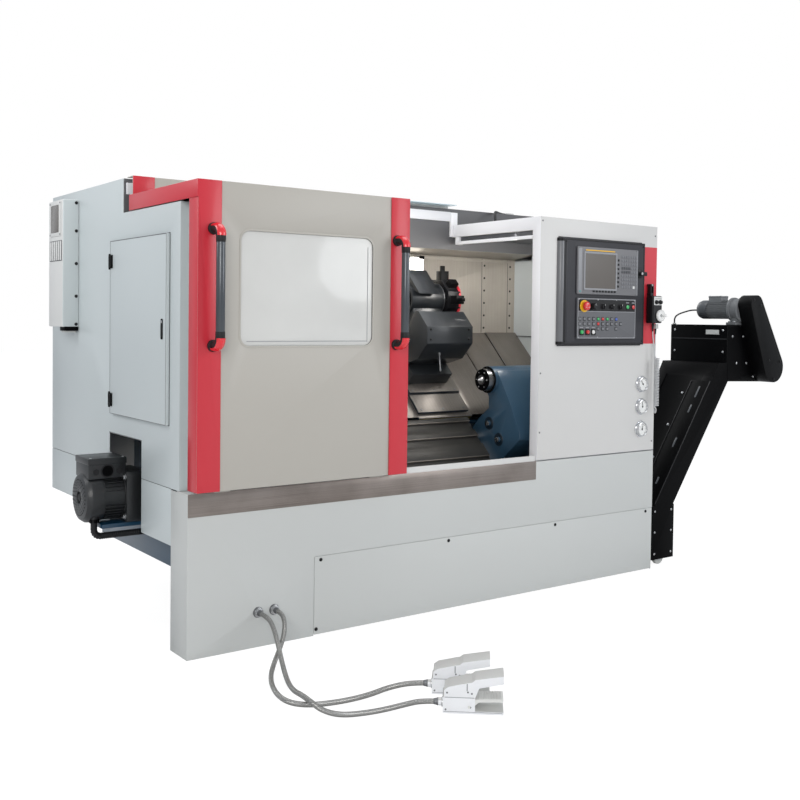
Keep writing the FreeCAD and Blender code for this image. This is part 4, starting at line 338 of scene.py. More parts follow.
# ---------------------------------------------------------------- finishes
@dataclass(frozen=True)
class Finish:
    """A named surface that can make its own material once."""

    name: str
    colour: str = "cccccc"

    @cache
    def material(self) -> bpy.types.Material:
        """Make the finish's material.

        Returns:
            The material, the same one on every call.
        """
        surface = Surface(self.name)
        self.wire(surface)
        return surface.material

    def wire(self, g: Surface) -> None:
        """Wire the finish's own nodes into the shader."""
        raise NotImplementedError

    def like(self, name: str, colour: str, **changes: float) -> "Finish":
        """Give the same surface in another colour."""
        return replace(self, name=name, colour=colour, **changes)


@dataclass(frozen=True)
class Coat(Finish):
    """Paint, powder coat or moulded plastic."""

    roughness: float = 0.42
    cloud: float = 0.04
    speck: float = 0.03
    size: float = 1.2
    grain: float = 900.0
    depth: float = 0.04
    clear: float = 0.0
    metallic: float = 0.0
    shine: float = 0.5

    def wire(self, g: Surface) -> None:
        """Wire an uneven colour, an uneven gloss and a fine relief.

        Args:
            g: the material's graph.
        """
        g.body(self.colour, self.cloud, self.speck, self.size, self.roughness, 0.12)
        g.bump(self.depth, 0.001, g.add(group_relief(), Grain=self.grain).outputs["Height"])
        g.feed(g.shader, Metallic=self.metallic, Specular_IOR_Level=self.shine)
        if self.clear:
            g.feed(g.shader, Coat_Weight=self.clear, Coat_Roughness=0.12)


@dataclass(frozen=True)
class Brushed(Finish):
    """Brushed or ground sheet metal."""

    dark: str = "8a8986"
    roughness: float = 0.3
    stretch: tuple[float, float, float] = (3.0, 900.0, 900.0)
    metallic: float = 1.0

    def wire(self, g: Surface) -> None:
        """Wire the brushing marks into colour, gloss and relief.

        Args:
            g: the material's graph.
        """
        marks = g.add(group_brush(), Stretch=self.stretch).outputs
        mixed = g.math("ADD", g.math("MULTIPLY", marks["Mask"], 0.6), g.math("MULTIPLY", marks["Smear"], 0.4))
        g.feed(g.shader, Base_Color=g.ramp(mixed, 0.32, self.dark, 0.68, self.colour), Metallic=self.metallic,
               Roughness=g.math("ADD", g.math("MULTIPLY", mixed, 0.22), self.roughness - 0.11))
        g.bump(0.12, 0.0004, marks["Mask"])


@dataclass(frozen=True)
class Turned(Finish):
    """Bright steel with turning marks round a line along X."""

    centre: tuple[float, float, float] = (0.0, 0.0, 0.0)
    roughness: float = 0.25

    def wire(self, g: Surface) -> None:
        """Wire the rings into colour and relief.

        Args:
            g: the material's graph.
        """
        rings = g.add(group_rings(), Centre=self.centre, Pitch=0.0018)
        g.body(self.colour, 0.2, 0.1, 18.0, self.roughness, 0.2)
        g.bump(0.1, 0.0003, rings.outputs["Mask"])
        g.feed(g.shader, Metallic=1.0)


@dataclass(frozen=True)
class Pane(Finish):
    """A pane that still has its pale protective film, with painted reflection in its pale clouded colour."""

    roughness: float = 0.02
    clearness: float = 1.0
    cloud: float = 0.02

    def wire(self, g: Surface) -> None:
        """Wire clouds into the pane's colour and gloss: painted reflection on the glass."""
        g.body(self.colour, self.cloud, 0.0, 5.0, self.roughness + 0.01, 0.06)
        g.feed(g.shader, Transmission_Weight=self.clearness, IOR=1.45)


@dataclass(frozen=True)
class Glow(Finish):
    """A lit face: a lamp's diffuser or a display."""

    strength: float = 1.0
    base: str = "d0d0d0"
    roughness: float = 0.3

    def wire(self, g: Surface) -> None:
        """Wire a slightly uneven light.

        Args:
            g: the material's graph.
        """
        lit = g.body(self.colour, 0.1, 0.04, 8.0, self.roughness, 0.05)
        g.body(self.base, 0.05, 0.02, 8.0, self.roughness, 0.05)
        g.feed(g.shader, Emission_Color=lit.outputs["Colour"], Emission_Strength=self.strength)


@dataclass(frozen=True)
class Spiral(Finish):
    """A tube's surface with rings along its own length."""

    dark: str = "5a5a5a"
    rings: float = 300.0
    depth: float = 0.6
    roughness: float = 0.35

    def wire(self, g: Surface) -> None:
        """Wire the rings from the tube's own map.

        Args:
            g: the material's graph.
        """
        split = g.add("SeparateXYZ", Vector=g.add("UVMap").outputs["UV"])
        wave = g.math("SINE", g.math("MULTIPLY", split.outputs["X"], self.rings * 6.2832))
        level = g.math("ADD", g.math("MULTIPLY", wave, 0.5), 0.5)
        g.bump(self.depth, 0.001, level)
        g.feed(g.shader, Base_Color=g.ramp(level, 0.0, self.dark, 0.55, self.colour), Metallic=1.0,
               Roughness=g.math("ADD", g.math("MULTIPLY", level, -0.1), self.roughness))


WHITE_SHEET = Coat("white_sheet", "d0cfcd", cloud=0.035)
# painted shade: the side panels bear the same white paint as the front; this darker, bluer copy paints their shade into
# the colour
SIDE_SHEET_PAINTED_SHADE = Coat("side_sheet", "c2c9ca", 0.34)
SKIRT_SHEET = Coat("skirt_sheet", "c4c6c4", 0.44)
DOOR_SHEET = Coat("door_sheet", "b3afa7", cloud=0.03, size=1.5)
DOOR_RED = Coat("door_red", "c92a38", 0.38, speck=0.02, size=2.0, clear=0.15)
BRUSHED_STRIP = Brushed("brushed_strip", "a39a94", "716862", 0.36, (2.0, 700.0, 1400.0))
LINING_STEEL = Brushed("lining_steel", "b5aea3", "98928a", 0.42, (900.0, 900.0, 3.0), 0.3)
TRAY_STEEL = Brushed("tray_steel", "45433f", "262523", 0.4, (3.0, 700.0, 700.0), 0.4)
# near-white trim; on the cabinet's left-facing jamb it is partly the jamb's paler sheet and partly painted light that
# brightens a face the lamps leave shaded
TRIM_WHITE_AND_JAMB_HIGHLIGHT = Coat("edge_white", "e8e8eb", 0.36, 0.02, size=1.5)
# painted shade: dark grey for the wall that lies in shadow under the top rail
UNDER_RAIL_PAINTED_SHADE = Coat("shade_sheet", "58585a", 0.5, 0.12, 0.06, 2.5, 700.0, 0.08)
COVER_STEEL = Brushed("cover_steel", "86807a", "5f5a54", 0.34, (900.0, 3.0, 3.0), 0.45)
CAST_NAVY = Coat("cast_navy", "143a52", 0.34, 0.12, 0.05, 5.0, 160.0, 0.25, 0.35)
CAST_DARK = Coat("cast_dark", "0c1c28", 0.4, 0.15, 0.05, 5.0, 160.0, 0.25, 0.25)
BLACK_PAINT = Coat("black_paint", "050506", 0.5, 0.2, 0.1, 3.0, 500.0, 0.12, shine=0.05)
BLACK_FINE = Coat("black_fine", "1b1b1d", 0.5, 0.15, 0.2, 6.0, 1400.0, 0.2, shine=0.3)
MOTOR_BLACK = Coat("motor_black", "1b1d1f", 0.4, 0.2, 0.15, 8.0, 300.0, 0.2, 0.15)
GREY_PLASTIC = Coat("grey_plastic", "b9bab8", 0.45, 0.04, 0.05, 6.0, 1200.0, 0.1)
LIGHT_PLASTIC = GREY_PLASTIC.like("light_plastic", "d6d6d4", roughness=0.42)
RUBBER = Coat("rubber", "1a1a1a", 0.7, 0.15, 0.15, 10.0, 900.0, 0.15)
SCREW_BLACK = Coat("screw_black", "1d1d1e", 0.35, 0.1, 0.1, 30.0, 900.0, 0.1, metallic=0.6)
STEEL = Coat("bright_steel", "b4b5b6", 0.28, 0.12, 0.12, 20.0, 600.0, 0.06, metallic=1.0)
DULL_STEEL = Coat("dull_steel", "77787a", 0.42, 0.2, 0.2, 14.0, 500.0, 0.1, metallic=0.9)
KEY_GREY = Coat("key_grey", "8f9094", 0.5, 0.1, 0.1, 40.0, 1500.0, 0.12)
KEY_DARK = KEY_GREY.like("key_dark", "4a4b4f")
KEY_MID = KEY_GREY.like("key_mid", "76777b")
PANEL_GREY = Coat("panel_grey", "5c5d61", 0.48, 0.1, 0.1, 14.0, 1200.0, 0.12)
BUTTON_RED = Coat("button_red", "d22a2a", 0.3, 0.05, 0.02, 40.0, 900.0, 0.03, 0.4)
BUTTON_GREEN = BUTTON_RED.like("button_green", "2fae5b")
BUTTON_WHITE = BUTTON_RED.like("button_white", "e4e4e2")
BUTTON_BLUE = BUTTON_RED.like("button_blue", "4a64b8", roughness=0.35, clear=0.0)
YELLOW = Coat("signal_yellow", "e8b416", 0.4, 0.05, 0.03, 30.0, 900.0, 0.05)
TEAL = YELLOW.like("teal_mark", "4f8d8c", speck=0.05)
DIAL_WHITE = Coat("dial_white", "e8e8e6", 0.35, 0.03, 0.02, 30.0, 900.0, 0.02)
FILM_BLUE = Coat("film_blue", "b9cfd8", 0.28, 0.12, 0.05, 14.0, 120.0, 0.3, 0.5)
HANDLE_GREY = Coat("handle_grey", "464b50", 0.3, 0.08, 0.05, 8.0, 700.0, 0.06, 0.3, 0.35)
CAP_RED = Coat("cap_red", "e01d2b", 0.22, 0.04, 0.02, 20.0, 700.0, 0.03, 0.7)
CONSOLE_BLACK = Coat("console_black", "2b2b30", 0.45, 0.1, 0.1, 6.0, 1200.0, 0.12, shine=0.35)
CONSOLE_DARK = Coat("console_dark", "121214", 0.4, 0.1, 0.1, 10.0, 1200.0, 0.1, shine=0.3)
# painted highlight: the grey stands in for the light that the console's rounded stile catches
STILE_PAINTED_HIGHLIGHT = Coat("grip_grey", "6c6d70", 0.35, 0.1, 0.08, 10.0, 900.0, 0.08, 0.2)
BEZEL_GREY = Coat("bezel_grey", "6f6f72", 0.45, 0.08, 0.08, 8.0, 1200.0, 0.1)
BEZEL_LIGHT = BEZEL_GREY.like("bezel_light", "8d8e92", roughness=0.42, depth=0.08)
CHROME = Coat("chrome", "d2d3d5", 0.14, 0.06, 0.04, 30.0, 600.0, 0.02, metallic=1.0)
BRASS = Coat("brass", "a08a52", 0.34, 0.2, 0.2, 20.0, 500.0, 0.1, metallic=0.9)
HEAD_DARK = Coat("head_dark", "202326", 0.36, 0.14, 0.08, 6.0, 220.0, 0.18, 0.2)
DISC_BLACK = Coat("disc_black", "0c0c0f", 0.36, 0.15, 0.1, 10.0, 400.0, 0.1, shine=0.3)
CAST_BLUE = Coat("cast_blue", "2b475c", 0.36, 0.1, 0.06, 5.0, 180.0, 0.2, 0.3)
GUARD_BLACK = Coat("guard_black", "060607", 0.46, 0.12, 0.1, 4.0, 700.0, 0.12, shine=0.12)
VENT_DARK = Coat("vent_dark", "060606", 0.7, 0.1, 0.1, 20.0, 900.0, 0.1)
JAW_STEEL = Coat("jaw_steel", "9fa1a4", 0.3, 0.15, 0.15, 25.0, 500.0, 0.08, metallic=1.0)
GEAR_GREY = Coat("gear_grey", "6c6e70", 0.42, 0.1, 0.1, 12.0, 400.0, 0.14, 0.1)
GEAR_DARK = GEAR_GREY.like("gear_dark", "4a4d51")
TYRE_GREY = Coat("tyre_grey", "c6c7c4", 0.5, 0.08, 0.06, 12.0, 600.0, 0.1)
PEDAL_WHITE = Coat("pedal_white", "eff0f2", 0.42, 0.03, 0.04, 6.0, 1200.0, 0.08)
PEDAL_GREY = Coat("pedal_grey", "cacac7", 0.5, 0.06, 0.05, 12.0, 900.0, 0.1)
TREAD_GREY = PEDAL_GREY.like("tread_grey", "e0e0dc", cloud=0.05)
# partly the pale protective film, partly painted reflection: near-white, mostly opaque and clouded
PANE_FILM_AND_PAINTED_REFLECTION = Pane("filmed_pane", "efefec", 0.1, 0.3, 0.14)
LAMP_FACE = Glow("lamp_face", "fff8ec", 5.0, "f0f0f0")
SCREEN_FACE = Glow("screen_face", "7b756f", 0.34, "3a3735", 0.2)
CORD_GREY = Coat("cord_grey", "c4c5c6", 0.4, 0.05, 0.05, 20.0, 900.0, 0.05)
CONDUIT_STEEL = Spiral("conduit_steel", "b4b3b0", "6c6b69", 330.0, 0.7, 0.34)


# ---------------------------------------------------------------- shapes, in millimetres from the base's corner
def ease(bm: Shape, width: float, segments: int = 2, least: float = 0.5) -> Shape:
    """Bevel every edge sharper than an angle.

    Args:
        bm: the shape, changed in place.
        width: width of the bevel in millimetres, none when 0.
        segments: steps across it.
        least: least angle between faces in radians.

    Returns:
        The shape.
    """
    edges = [e for e in bm.edges if len(e.link_faces) == 2 and e.calc_face_angle(0.0) > least] if width else []
    if edges:
        bmesh.ops.bevel(bm, geom=edges, offset=width * MM, segments=segments, profile=0.5,
                        affect="EDGES", clamp_overlap=True, material=-1)
    return bm


def grow(bm: Shape, made: dict, way: Vector) -> Shape:
    """Move what an extrusion made, and turn the faces outwards.

    Args:
        bm: the shape, changed in place.
        made: what the extrusion gave back.
        way: the way it moves, in metres.

    Returns:
        The shape.
    """
    moved = [v for v in made["geom"] if isinstance(v, bmesh.types.BMVert)]
    bmesh.ops.translate(bm, verts=moved, vec=way)
    bmesh.ops.recalc_face_normals(bm, faces=bm.faces)
    return bm


def box(x0: float, y0: float, z0: float, x1: float, y1: float, z1: float, bevel: float = 1.5,
        segments: int = 2) -> Shape:
    """Make a block.

    Args:
        x0, y0, z0, x1, y1, z1: its lowest and highest corner.
        bevel: width of its eased edges.
        segments: steps across them.

    Returns:
        The block.
    """
    bm = bmesh.new()
    bmesh.ops.create_cube(bm, size=1.0)
    a, b = at(x0, y0, z0), at(x1, y1, z1)
    bmesh.ops.scale(bm, verts=bm.verts, vec=[abs(q - p) for p, q in zip(a, b)])
    bmesh.ops.translate(bm, verts=bm.verts, vec=(a + b) / 2)
    return ease(bm, bevel, segments)


def cone(a: Vector, b: Vector, radius: float, end_radius: float, bevel: float, sides: int) -> Shape:
    """Make a round bar or cone.

    Args:
        a, b: its ends, in metres.
        radius, end_radius: its radius at each end.
        bevel: width of its eased rims.
        sides: its sides.

    Returns:
        The bar.
    """
    bm = bmesh.new()
    bmesh.ops.create_cone(bm, cap_ends=True, segments=sides, radius1=radius * MM, radius2=end_radius * MM,
                          depth=(b - a).length, matrix=between(a, b))
    return ease(bm, bevel, 2, 0.9)


def rod(start: Point, end: Point, radius: float, bevel: float = 1.0, sides: int = 40, thin: float = 0.0) -> Shape:
    """Make a round bar between two places, or a cone when it has a thinner end."""
    return cone(at(*start), at(*end), radius, thin or radius, bevel, sides)


def lathe(centre: Point, axis: Axis, outline: Sequence[float], sides: int = 48) -> Shape:
    """Spin an outline round an axis.

    Args:
        centre: a place on the axis.
        axis: the way the axis runs.
        outline: distances along the axis, each followed by its radius. One that starts or ends on
            the axis makes a solid body, any other a ring closed from its last place to its first.
        sides: steps of the full turn.

    Returns:
        The turned shape, closed.
    """
    bm = bmesh.new()
    middle, way = at(*centre), Vector(axis.value)
    side = Vector((1, 0, 0)) if axis is Z else Vector((0, 0, 1))
    verts = [bm.verts.new(middle + way * (s * MM) + side * (r * MM)) for s, r in zip(outline[::2], outline[1::2])]
    edges = [bm.edges.new(pair) for pair in zip(verts, verts[1:])]
    if min(outline[1], outline[-1]) > 0:
        edges.append(bm.edges.new((verts[-1], verts[0])))
    bmesh.ops.spin(bm, geom=verts + edges, cent=middle, axis=way, angle=2 * HALF_TURN, steps=sides,
                   use_merge=True, dvec=(0, 0, 0))
    bmesh.ops.remove_doubles(bm, verts=bm.verts, dist=1e-6)
    bmesh.ops.recalc_face_normals(bm, faces=bm.faces)
    return bm


def plate(corners: Sequence[Point], along: Point, bevel: float = 1.5, segments: int = 2) -> Shape:
    """Extrude a flat outline.

    Args:
        corners: the outline.
        along: the way it is extruded.
        bevel: width of its eased edges.
        segments: steps across them.

    Returns:
        The plate.
    """
    bm = bmesh.new()
    face = bm.faces.new([bm.verts.new(at(*c)) for c in corners])
    grow(bm, bmesh.ops.extrude_face_region(bm, geom=[face]), Vector(along) * MM)
    return ease(bm, bevel, segments)


def oblong(a0: float, b0: float, a1: float, b1: float, radius: float, depth: float = 0.0, steps: int = 4,
           axis: Axis = Axis.Y) -> list[Point]:
    """Give the outline of a rectangle with round corners.

    Args:
        a0, b0, a1, b1: its lowest and highest corner, across and up.
        radius: radius of its corners.
        depth: its place on the axis.
        steps: steps round each corner.
        axis: the axis it is square to, X or Y.

    Returns:
        The outline's places.
    """
    points = []
    for a, b, start in ((a1 - radius, b1 - radius, 0), (a0 + radius, b1 - radius, 90),
                        (a0 + radius, b0 + radius, 180), (a1 - radius, b0 + radius, 270)):
        for i in range(steps + 1):
            turn = math.radians(start + 90 * i / steps)
            p, q = a + radius * math.cos(turn), b + radius * math.sin(turn)
            points.append((depth, p, q) if axis is X else (p, depth, q))
    return points


def rim(x0: float, x1: float, z0: float, z1: float, y0: float, y1: float, wide: float, radius: float = 0.0,
        bevel: float = 0.8) -> Shape:
    """Make a rectangular rim, square to Y.

    Args:
        x0, x1, z0, z1: its outer edges.
        y0, y1: its front and back.
        wide: width of the rim.
        radius: radius of its outer corners.
        bevel: width of its eased edges.

    Returns:
        The rim.
    """
    bm = bmesh.new()
    edges = []
    for inset in (0.0, wide):
        line = oblong(x0 + inset, z0 + inset, x1 - inset, z1 - inset, max(radius - inset, 0.0) + 0.01, y0, 5)
        verts = [bm.verts.new(at(*p)) for p in line]
        edges += [bm.edges.new(pair) for pair in zip(verts, verts[1:] + verts[:1])]
    made = bmesh.ops.bridge_loops(bm, edges=edges)
    grow(bm, bmesh.ops.extrude_face_region(bm, geom=made["faces"]), Vector((0.0, (y1 - y0) * MM, 0.0)))
    return ease(bm, bevel, 2, 0.9)


def slope(x: float, along: float, off: float, long: float, run: float, thick: float, bevel: float = 0.5) -> Shape:
    """Make a sheet that lies on the slanted bed.

    Args:
        x, along, off: its left edge, its lower edge up the slant and its underside off the bed.
        long, run, thick: its length along X, its run up the slant and its thickness.
        bevel: width of its eased edges.

    Returns:
        The sheet.
    """
    corners = ((along, off), (along + run, off), (along + run, off + thick), (along, off + thick))
    return plate([(x, *slant(a, b)) for a, b in corners], (long, 0, 0), bevel)


def screw(place: Point, axis: Axis, out: float, radius: float = 7.0, high: float = 4.0) -> Shape:
    """Make a domed screw head with a hollow for its key.

    Args:
        place: its middle on the face.
        axis: the axis it stands along.
        out: 1 when it points up the axis, -1 when down.
        radius: its radius.
        high: its height.

    Returns:
        The head.
    """
    outline = ((0.0, 1), (0.35, 1), (0.75, 0.82), (1, 0.5), (1, 0.36), (0.45, 0.34), (0.45, 0.0))
    flat = [v for s, r in outline for v in (out * (s * high), r * radius)]
    return lathe(place, axis, [0.0, 0.0] + flat, 14)


def nut(place: Point, way: Point, across: float, high: float) -> Shape:
    """Make a six-sided nut that stands on a face, pointing along a direction."""
    return rod(place, [p + w * high for p, w in zip(place, way)], across / 1.732, 0.7, 6)


def of_node(name: str, bevel: float = 0.0) -> Shape:
    """Copy a CAD node's shape, merged into whole faces.

    Args:
        name: the node.
        bevel: width of its eased edges.

    Returns:
        The shape.
    """
    bm = bmesh.new()
    bm.from_mesh(frame["nodes"][name].data)
    bmesh.ops.remove_doubles(bm, verts=bm.verts, dist=2e-6)
    bmesh.ops.dissolve_limit(bm, angle_limit=0.008, verts=bm.verts, edges=bm.edges, delimit=set())
    return ease(bm, bevel)


def link(obj: bpy.types.Object) -> bpy.types.Object:
    """Put an object into the scene."""
    bpy.context.scene.collection.objects.link(obj)
    return obj


class Piece:
    """One object of the dressed machine, gathered from shapes that each have a finish."""

    def __init__(self, name: str, slot: str = "enclosure", node: str = "", body: str = "machine") -> None:
        """Start an empty piece.

        Args:
            name: the piece's name.
            slot: the record's material slot; kept on the piece but not used.
            node: the CAD node it stands for, whose body it then moves with.
            body: the body it moves with when it stands for none.
        """
        self.name, self.slot, self.node, self.body = name, slot, node, BODY_OF.get(node, body)
        self.finishes: list[Finish] = []
        self.bm = bmesh.new()

    def index(self, finish: Finish) -> int:
        """Give a finish's place in the piece's slots, added when new."""
        if finish not in self.finishes:
            self.finishes.append(finish)
        return self.finishes.index(finish)

    def add(self, finish: Finish, *parts: Shape, marks: Sequence[tuple[Finish, Test]] = (),
            turn: Matrix | None = None) -> "Piece":
        """Take shapes into the piece.

        Args:
            finish: their finish.
            parts: the shapes, used up.
            marks: other finishes for the faces that pass a test of middle and normal.
            turn: a matrix to move them by, in metres.

        Returns:
            The piece, so calls can follow on.
        """
        for part in parts:
            if turn is not None:
                bmesh.ops.transform(part, matrix=turn, verts=part.verts)
            for face in part.faces:
                middle, normal = face.calc_center_median(), face.normal
                face.material_index = self.index(next((f for f, test in marks if test(middle, normal)), finish))
            held = bpy.data.meshes.new("held")
            part.to_mesh(held)
            part.free()
            self.bm.from_mesh(held)
            bpy.data.meshes.remove(held)
        return self

    def done(self, smooth: float = 0.6, ride: bool = True) -> bpy.types.Object:
        """Finish the piece and hang it on its body.

        Args:
            smooth: edges sharper than this angle stay crisp.
            ride: whether it rides on its body now.

        Returns:
            The object.
        """
        for edge in self.bm.edges:
            edge.smooth = len(edge.link_faces) == 2 and edge.calc_face_angle(0.0) < smooth
        for face in self.bm.faces:
            face.smooth = True
        mesh = bpy.data.meshes.new(self.name)
        self.bm.to_mesh(mesh)
        self.bm.free()
        for finish in self.finishes:
            mesh.materials.append(finish.material())
        obj = link(bpy.data.objects.new(self.name, mesh))
        if ride:
            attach(obj, self.body)
        if self.node:
            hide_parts(self.node)
        log.info("%s: %d faces on %s", self.name, len(mesh.polygons), self.body)
        return obj


def skin(node: str, finish: Finish, slot: str = "enclosure", bevel: float = 0.8,
         *marks: tuple[Finish, Test]) -> Piece:
    """Start a piece from a CAD node's own merged shape.

    Args:
        node: the CAD node it stands for.
        finish: its main finish.
        slot: the record's material slot.
        bevel: width of its eased edges.
        marks: other finishes by face.

    Returns:
        The piece, not yet done.
    """
    return Piece(node + "_skin", slot, node).add(finish, of_node(node, bevel), marks=marks)


# ---------------------------------------------------------------- studio
@dataclass
class Studio:
    """The floor, the light and the camera at the photograph's viewing angle."""

    place: Point = (-1466.5, -3254.6, 1190.0)
    yaw: float = 35.9358
    pitch: float = -1.7044
    roll: float = 0.7229
    lens: float = 46.036
    shift: float = -0.0633
    floor_half: float = 30.0

    def build(self) -> None:
        """Make the camera, the world, the lamps and the floor."""
        self.camera()
        self.world()
        self.lamps()
        self.floor()

    def camera(self) -> None:
        """Place the camera and make it the scene's."""
        yaw, pitch, roll = (math.radians(a) for a in (self.yaw, self.pitch, self.roll))
        ahead = Vector((math.sin(yaw) * math.cos(pitch), math.cos(yaw) * math.cos(pitch), math.sin(pitch)))
        right = Vector((math.cos(yaw), -math.sin(yaw), 0.0))
        down = -right.cross(ahead)
        across = right * math.cos(roll) - down * math.sin(roll)
        below = right * math.sin(roll) + down * math.cos(roll)
        data = bpy.data.cameras.new("camera")
        data.lens, data.sensor_width, data.shift_y, data.clip_end = self.lens, 36.0, self.shift, 100.0
        camera = link(bpy.data.objects.new("camera", data))
        camera.matrix_world = (Matrix.Translation(at(*self.place))
                               @ Matrix((across, -below, -ahead)).transposed().to_4x4())
        bpy.context.scene.camera = camera

    def world(self) -> None:
        """Make a soft grey world that the camera sees as white."""
        world = bpy.context.scene.world = bpy.data.worlds.new("studio")
        world.use_nodes = True
        g = Graph(world.node_tree)
        back = g.feed(world.node_tree.nodes["Background"], Color=(0.83, 0.88, 0.95, 1), Strength=0.42)
        seen = g.add("Background", Color=(1, 1, 1, 1), Strength=1.0)
        mirrored = g.add("Background", Color=(0.86, 0.9, 0.95, 1), Strength=0.75)
        shiny = g.mix(g.add("LightPath").outputs["Is Glossy Ray"], back, mirrored)
        g.feed(world.node_tree.nodes["World Output"], Surface=g.mix(g.camera_sees(), shiny, seen).outputs[0])

    def lamps(self) -> None:
        """Hang large soft lamps round the machine and two small ones in its chamber."""
        for name, place, target, size, power, colour in (
                ("key", (-4400, -6200, 3500), (900, 0, 900), 4.0, 240.0, (1.0, 0.98, 0.95)),
                ("fill", (5200, -5200, 3000), (1600, 300, 900), 3.6, 130.0, (0.96, 0.98, 1.0)),
                ("top", (1200, 400, 5600), (1200, 400, 0), 4.5, 105.0, (1.0, 1.0, 1.0)),
                ("side", (-1500, 1000, 2500), (0, 900, 1500), 1.4, 15.0, (0.98, 0.99, 1.0)),
                ("chamber_left", (900, 330, 1430), (1500, 780, 1180), 0.4, 3.0, (1.0, 0.97, 0.93)),
                ("chamber_right", (1790, 140, 1530), (1850, 780, 1200), 0.3, 4.6, (1.0, 0.97, 0.93)),
                ("back", (3200, 6200, 4200), (1400, 900, 900), 3.6, 120.0, (1.0, 1.0, 1.0))):
            data = bpy.data.lights.new(name, "AREA")
            data.shape, data.size, data.energy, data.color = "DISK", size, power, colour
            lamp = link(bpy.data.objects.new(name, data))
            lamp.location = at(*place)
            lamp.visible_camera = False
            lamp.rotation_euler = (at(*target) - at(*place)).to_track_quat("-Z", "Y").to_euler()

    def floor(self) -> None:
        """Lay a plain pale floor that keeps the machine's shadow on white."""
        bm = bmesh.new()
        bmesh.ops.create_grid(bm, x_segments=4, y_segments=4, size=self.floor_half)
        mesh = bpy.data.meshes.new("floor")
        bm.to_mesh(mesh)
        bm.free()
        g = Surface("floor")
        g.feed(g.shader, Base_Color=tone("f2f2f2"), Roughness=0.85)
        lit = g.add("Emission", Color=(1, 1, 1, 1), Strength=1.17)
        choice = g.mix(g.camera_sees(), g.shader, g.mix(0.8, g.shader, lit))
        g.feed(g.tree.nodes["Material Output"], Surface=choice.outputs[0])
        mesh.materials.append(g.material)
        link(bpy.data.objects.new("floor", mesh))


# ---------------------------------------------------------------- cords
def length_of(points: Sequence[Vector], steps: int = 8) -> float:
    """Measure the smooth line that a route's points pull.

    Args:
        points: the route.
        steps: straight steps between two knots.

    Returns:
        Its length in metres.
    """
    knots = [points[0], *((a + b) / 2 for a, b in zip(points[1:-2], points[2:-1])), points[-1]]
    total, last = 0.0, points[0]
    for start, pull, end in zip(knots, points[1:-1], knots[1:]):
        for i in range(1, steps + 1):
            t = i / steps
            spot = start * (1 - t) ** 2 + pull * (2 * t * (1 - t)) + end * t * t
            total += (spot - last).length
            last = spot
    return total


def spline(name: str, route: Sequence[Vector], radius: float, finish: Finish, resolution: int,
           sides: int) -> bpy.types.Object:
    """Make a smooth round cord.

    Args:
        name: the cord's name.
        route: the points that pull it, in metres.
        radius: its radius in millimetres.
        finish: its finish.
        resolution: steps between two points.
        sides: a quarter of the sides round it.

    Returns:
        The curve object, not yet on a body.
    """
    data = bpy.data.curves.new(name, "CURVE")
    data.dimensions, data.bevel_depth, data.bevel_resolution = "3D", radius * MM, sides
    data.resolution_u, data.use_fill_caps = resolution, True
    line = data.splines.new("NURBS")
    line.points.add(len(route) - 1)
    for held, place in zip(line.points, route):
        held.co = (*place, 1.0)
    line.order_u, line.use_endpoint_u = 3, True
    data.materials.append(finish.material())
    return link(bpy.data.objects.new(name, data))


PEDALS = {"front": (445.0, -860.0), "rear": (514.0, -717.0)}
PEDAL_TURN = -40.0


@dataclass
class Conduits:
    """The two metal conduits that lie on the floor between the skirt and the pedals."""

    radius: float = 8.3
    gland: float = 14.0

    def route(self, side: str) -> list[Vector]:
        """Give a conduit's route from the skirt to the pedal's gland.

        Args:
            side: which pedal it leads to.

        Returns:
            The points that pull it, in metres.
        """
        routes = {
            "front": ((275, -14, 127), (275, -70, 127), (263, -134, 113), (246, -196, 80), (228, -253, 42),
                      (203, -326, 12), (168, -415, 8.3), (145, -490, 15), (132, -556, 26.5), (127, -616, 26),
                      (135, -672, 14), (168, -718, 8.3), (228, -744, 8.3), (300, -757, 8.3), (368, -768, 13)),
            "rear": ((341, -14, 127), (341, -60, 127), (326, -108, 106), (298, -148, 72), (258, -186, 40),
                     (206, -240, 14), (158, -310, 8.3), (118, -392, 8.3), (92, -478, 8.3), (92, -548, 8.3),
                     (128, -596, 8.3), (190, -620, 8.3), (262, -632, 8.3), (338, -630, 8.3), (412, -622, 13)),
        }
        turn = math.radians(PEDAL_TURN)
        way = Vector((math.cos(turn), math.sin(turn), 0))
        last = at(*PEDALS[side], 20.0) + Vector((-way.y, way.x, 0)) * 0.041 - way * (self.gland * MM)
        return [at(*p) for p in routes[side]] + [last - way * 0.052, last]

    def build(self) -> None:
        """Make both conduits with the tapered collars at their ends."""
        for side in PEDALS:
            route = self.route(side)
            piece = Piece("conduit_reliefs_" + side, "conduit")
            for start, toward in ((route[0], route[1]), (route[-1], route[-2])):
                way = (toward - start).normalized()
                for radius, thin, first, last in ((11.5, 11.5, -6, 5), (10.6, 9.0, 5, 14)):
                    ends = start + way * (first * MM), start + way * (last * MM)
                    piece.add(DULL_STEEL, cone(*ends, radius, thin, 0.8, 32))
            hose = spline("conduit_" + side, route, self.radius, CONDUIT_STEEL, 8, 5)
            tuple(route[0])
            round(length_of(route), 3)
            piece.done()
            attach(hose, "machine")
            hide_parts("pedal_hose_" + side)


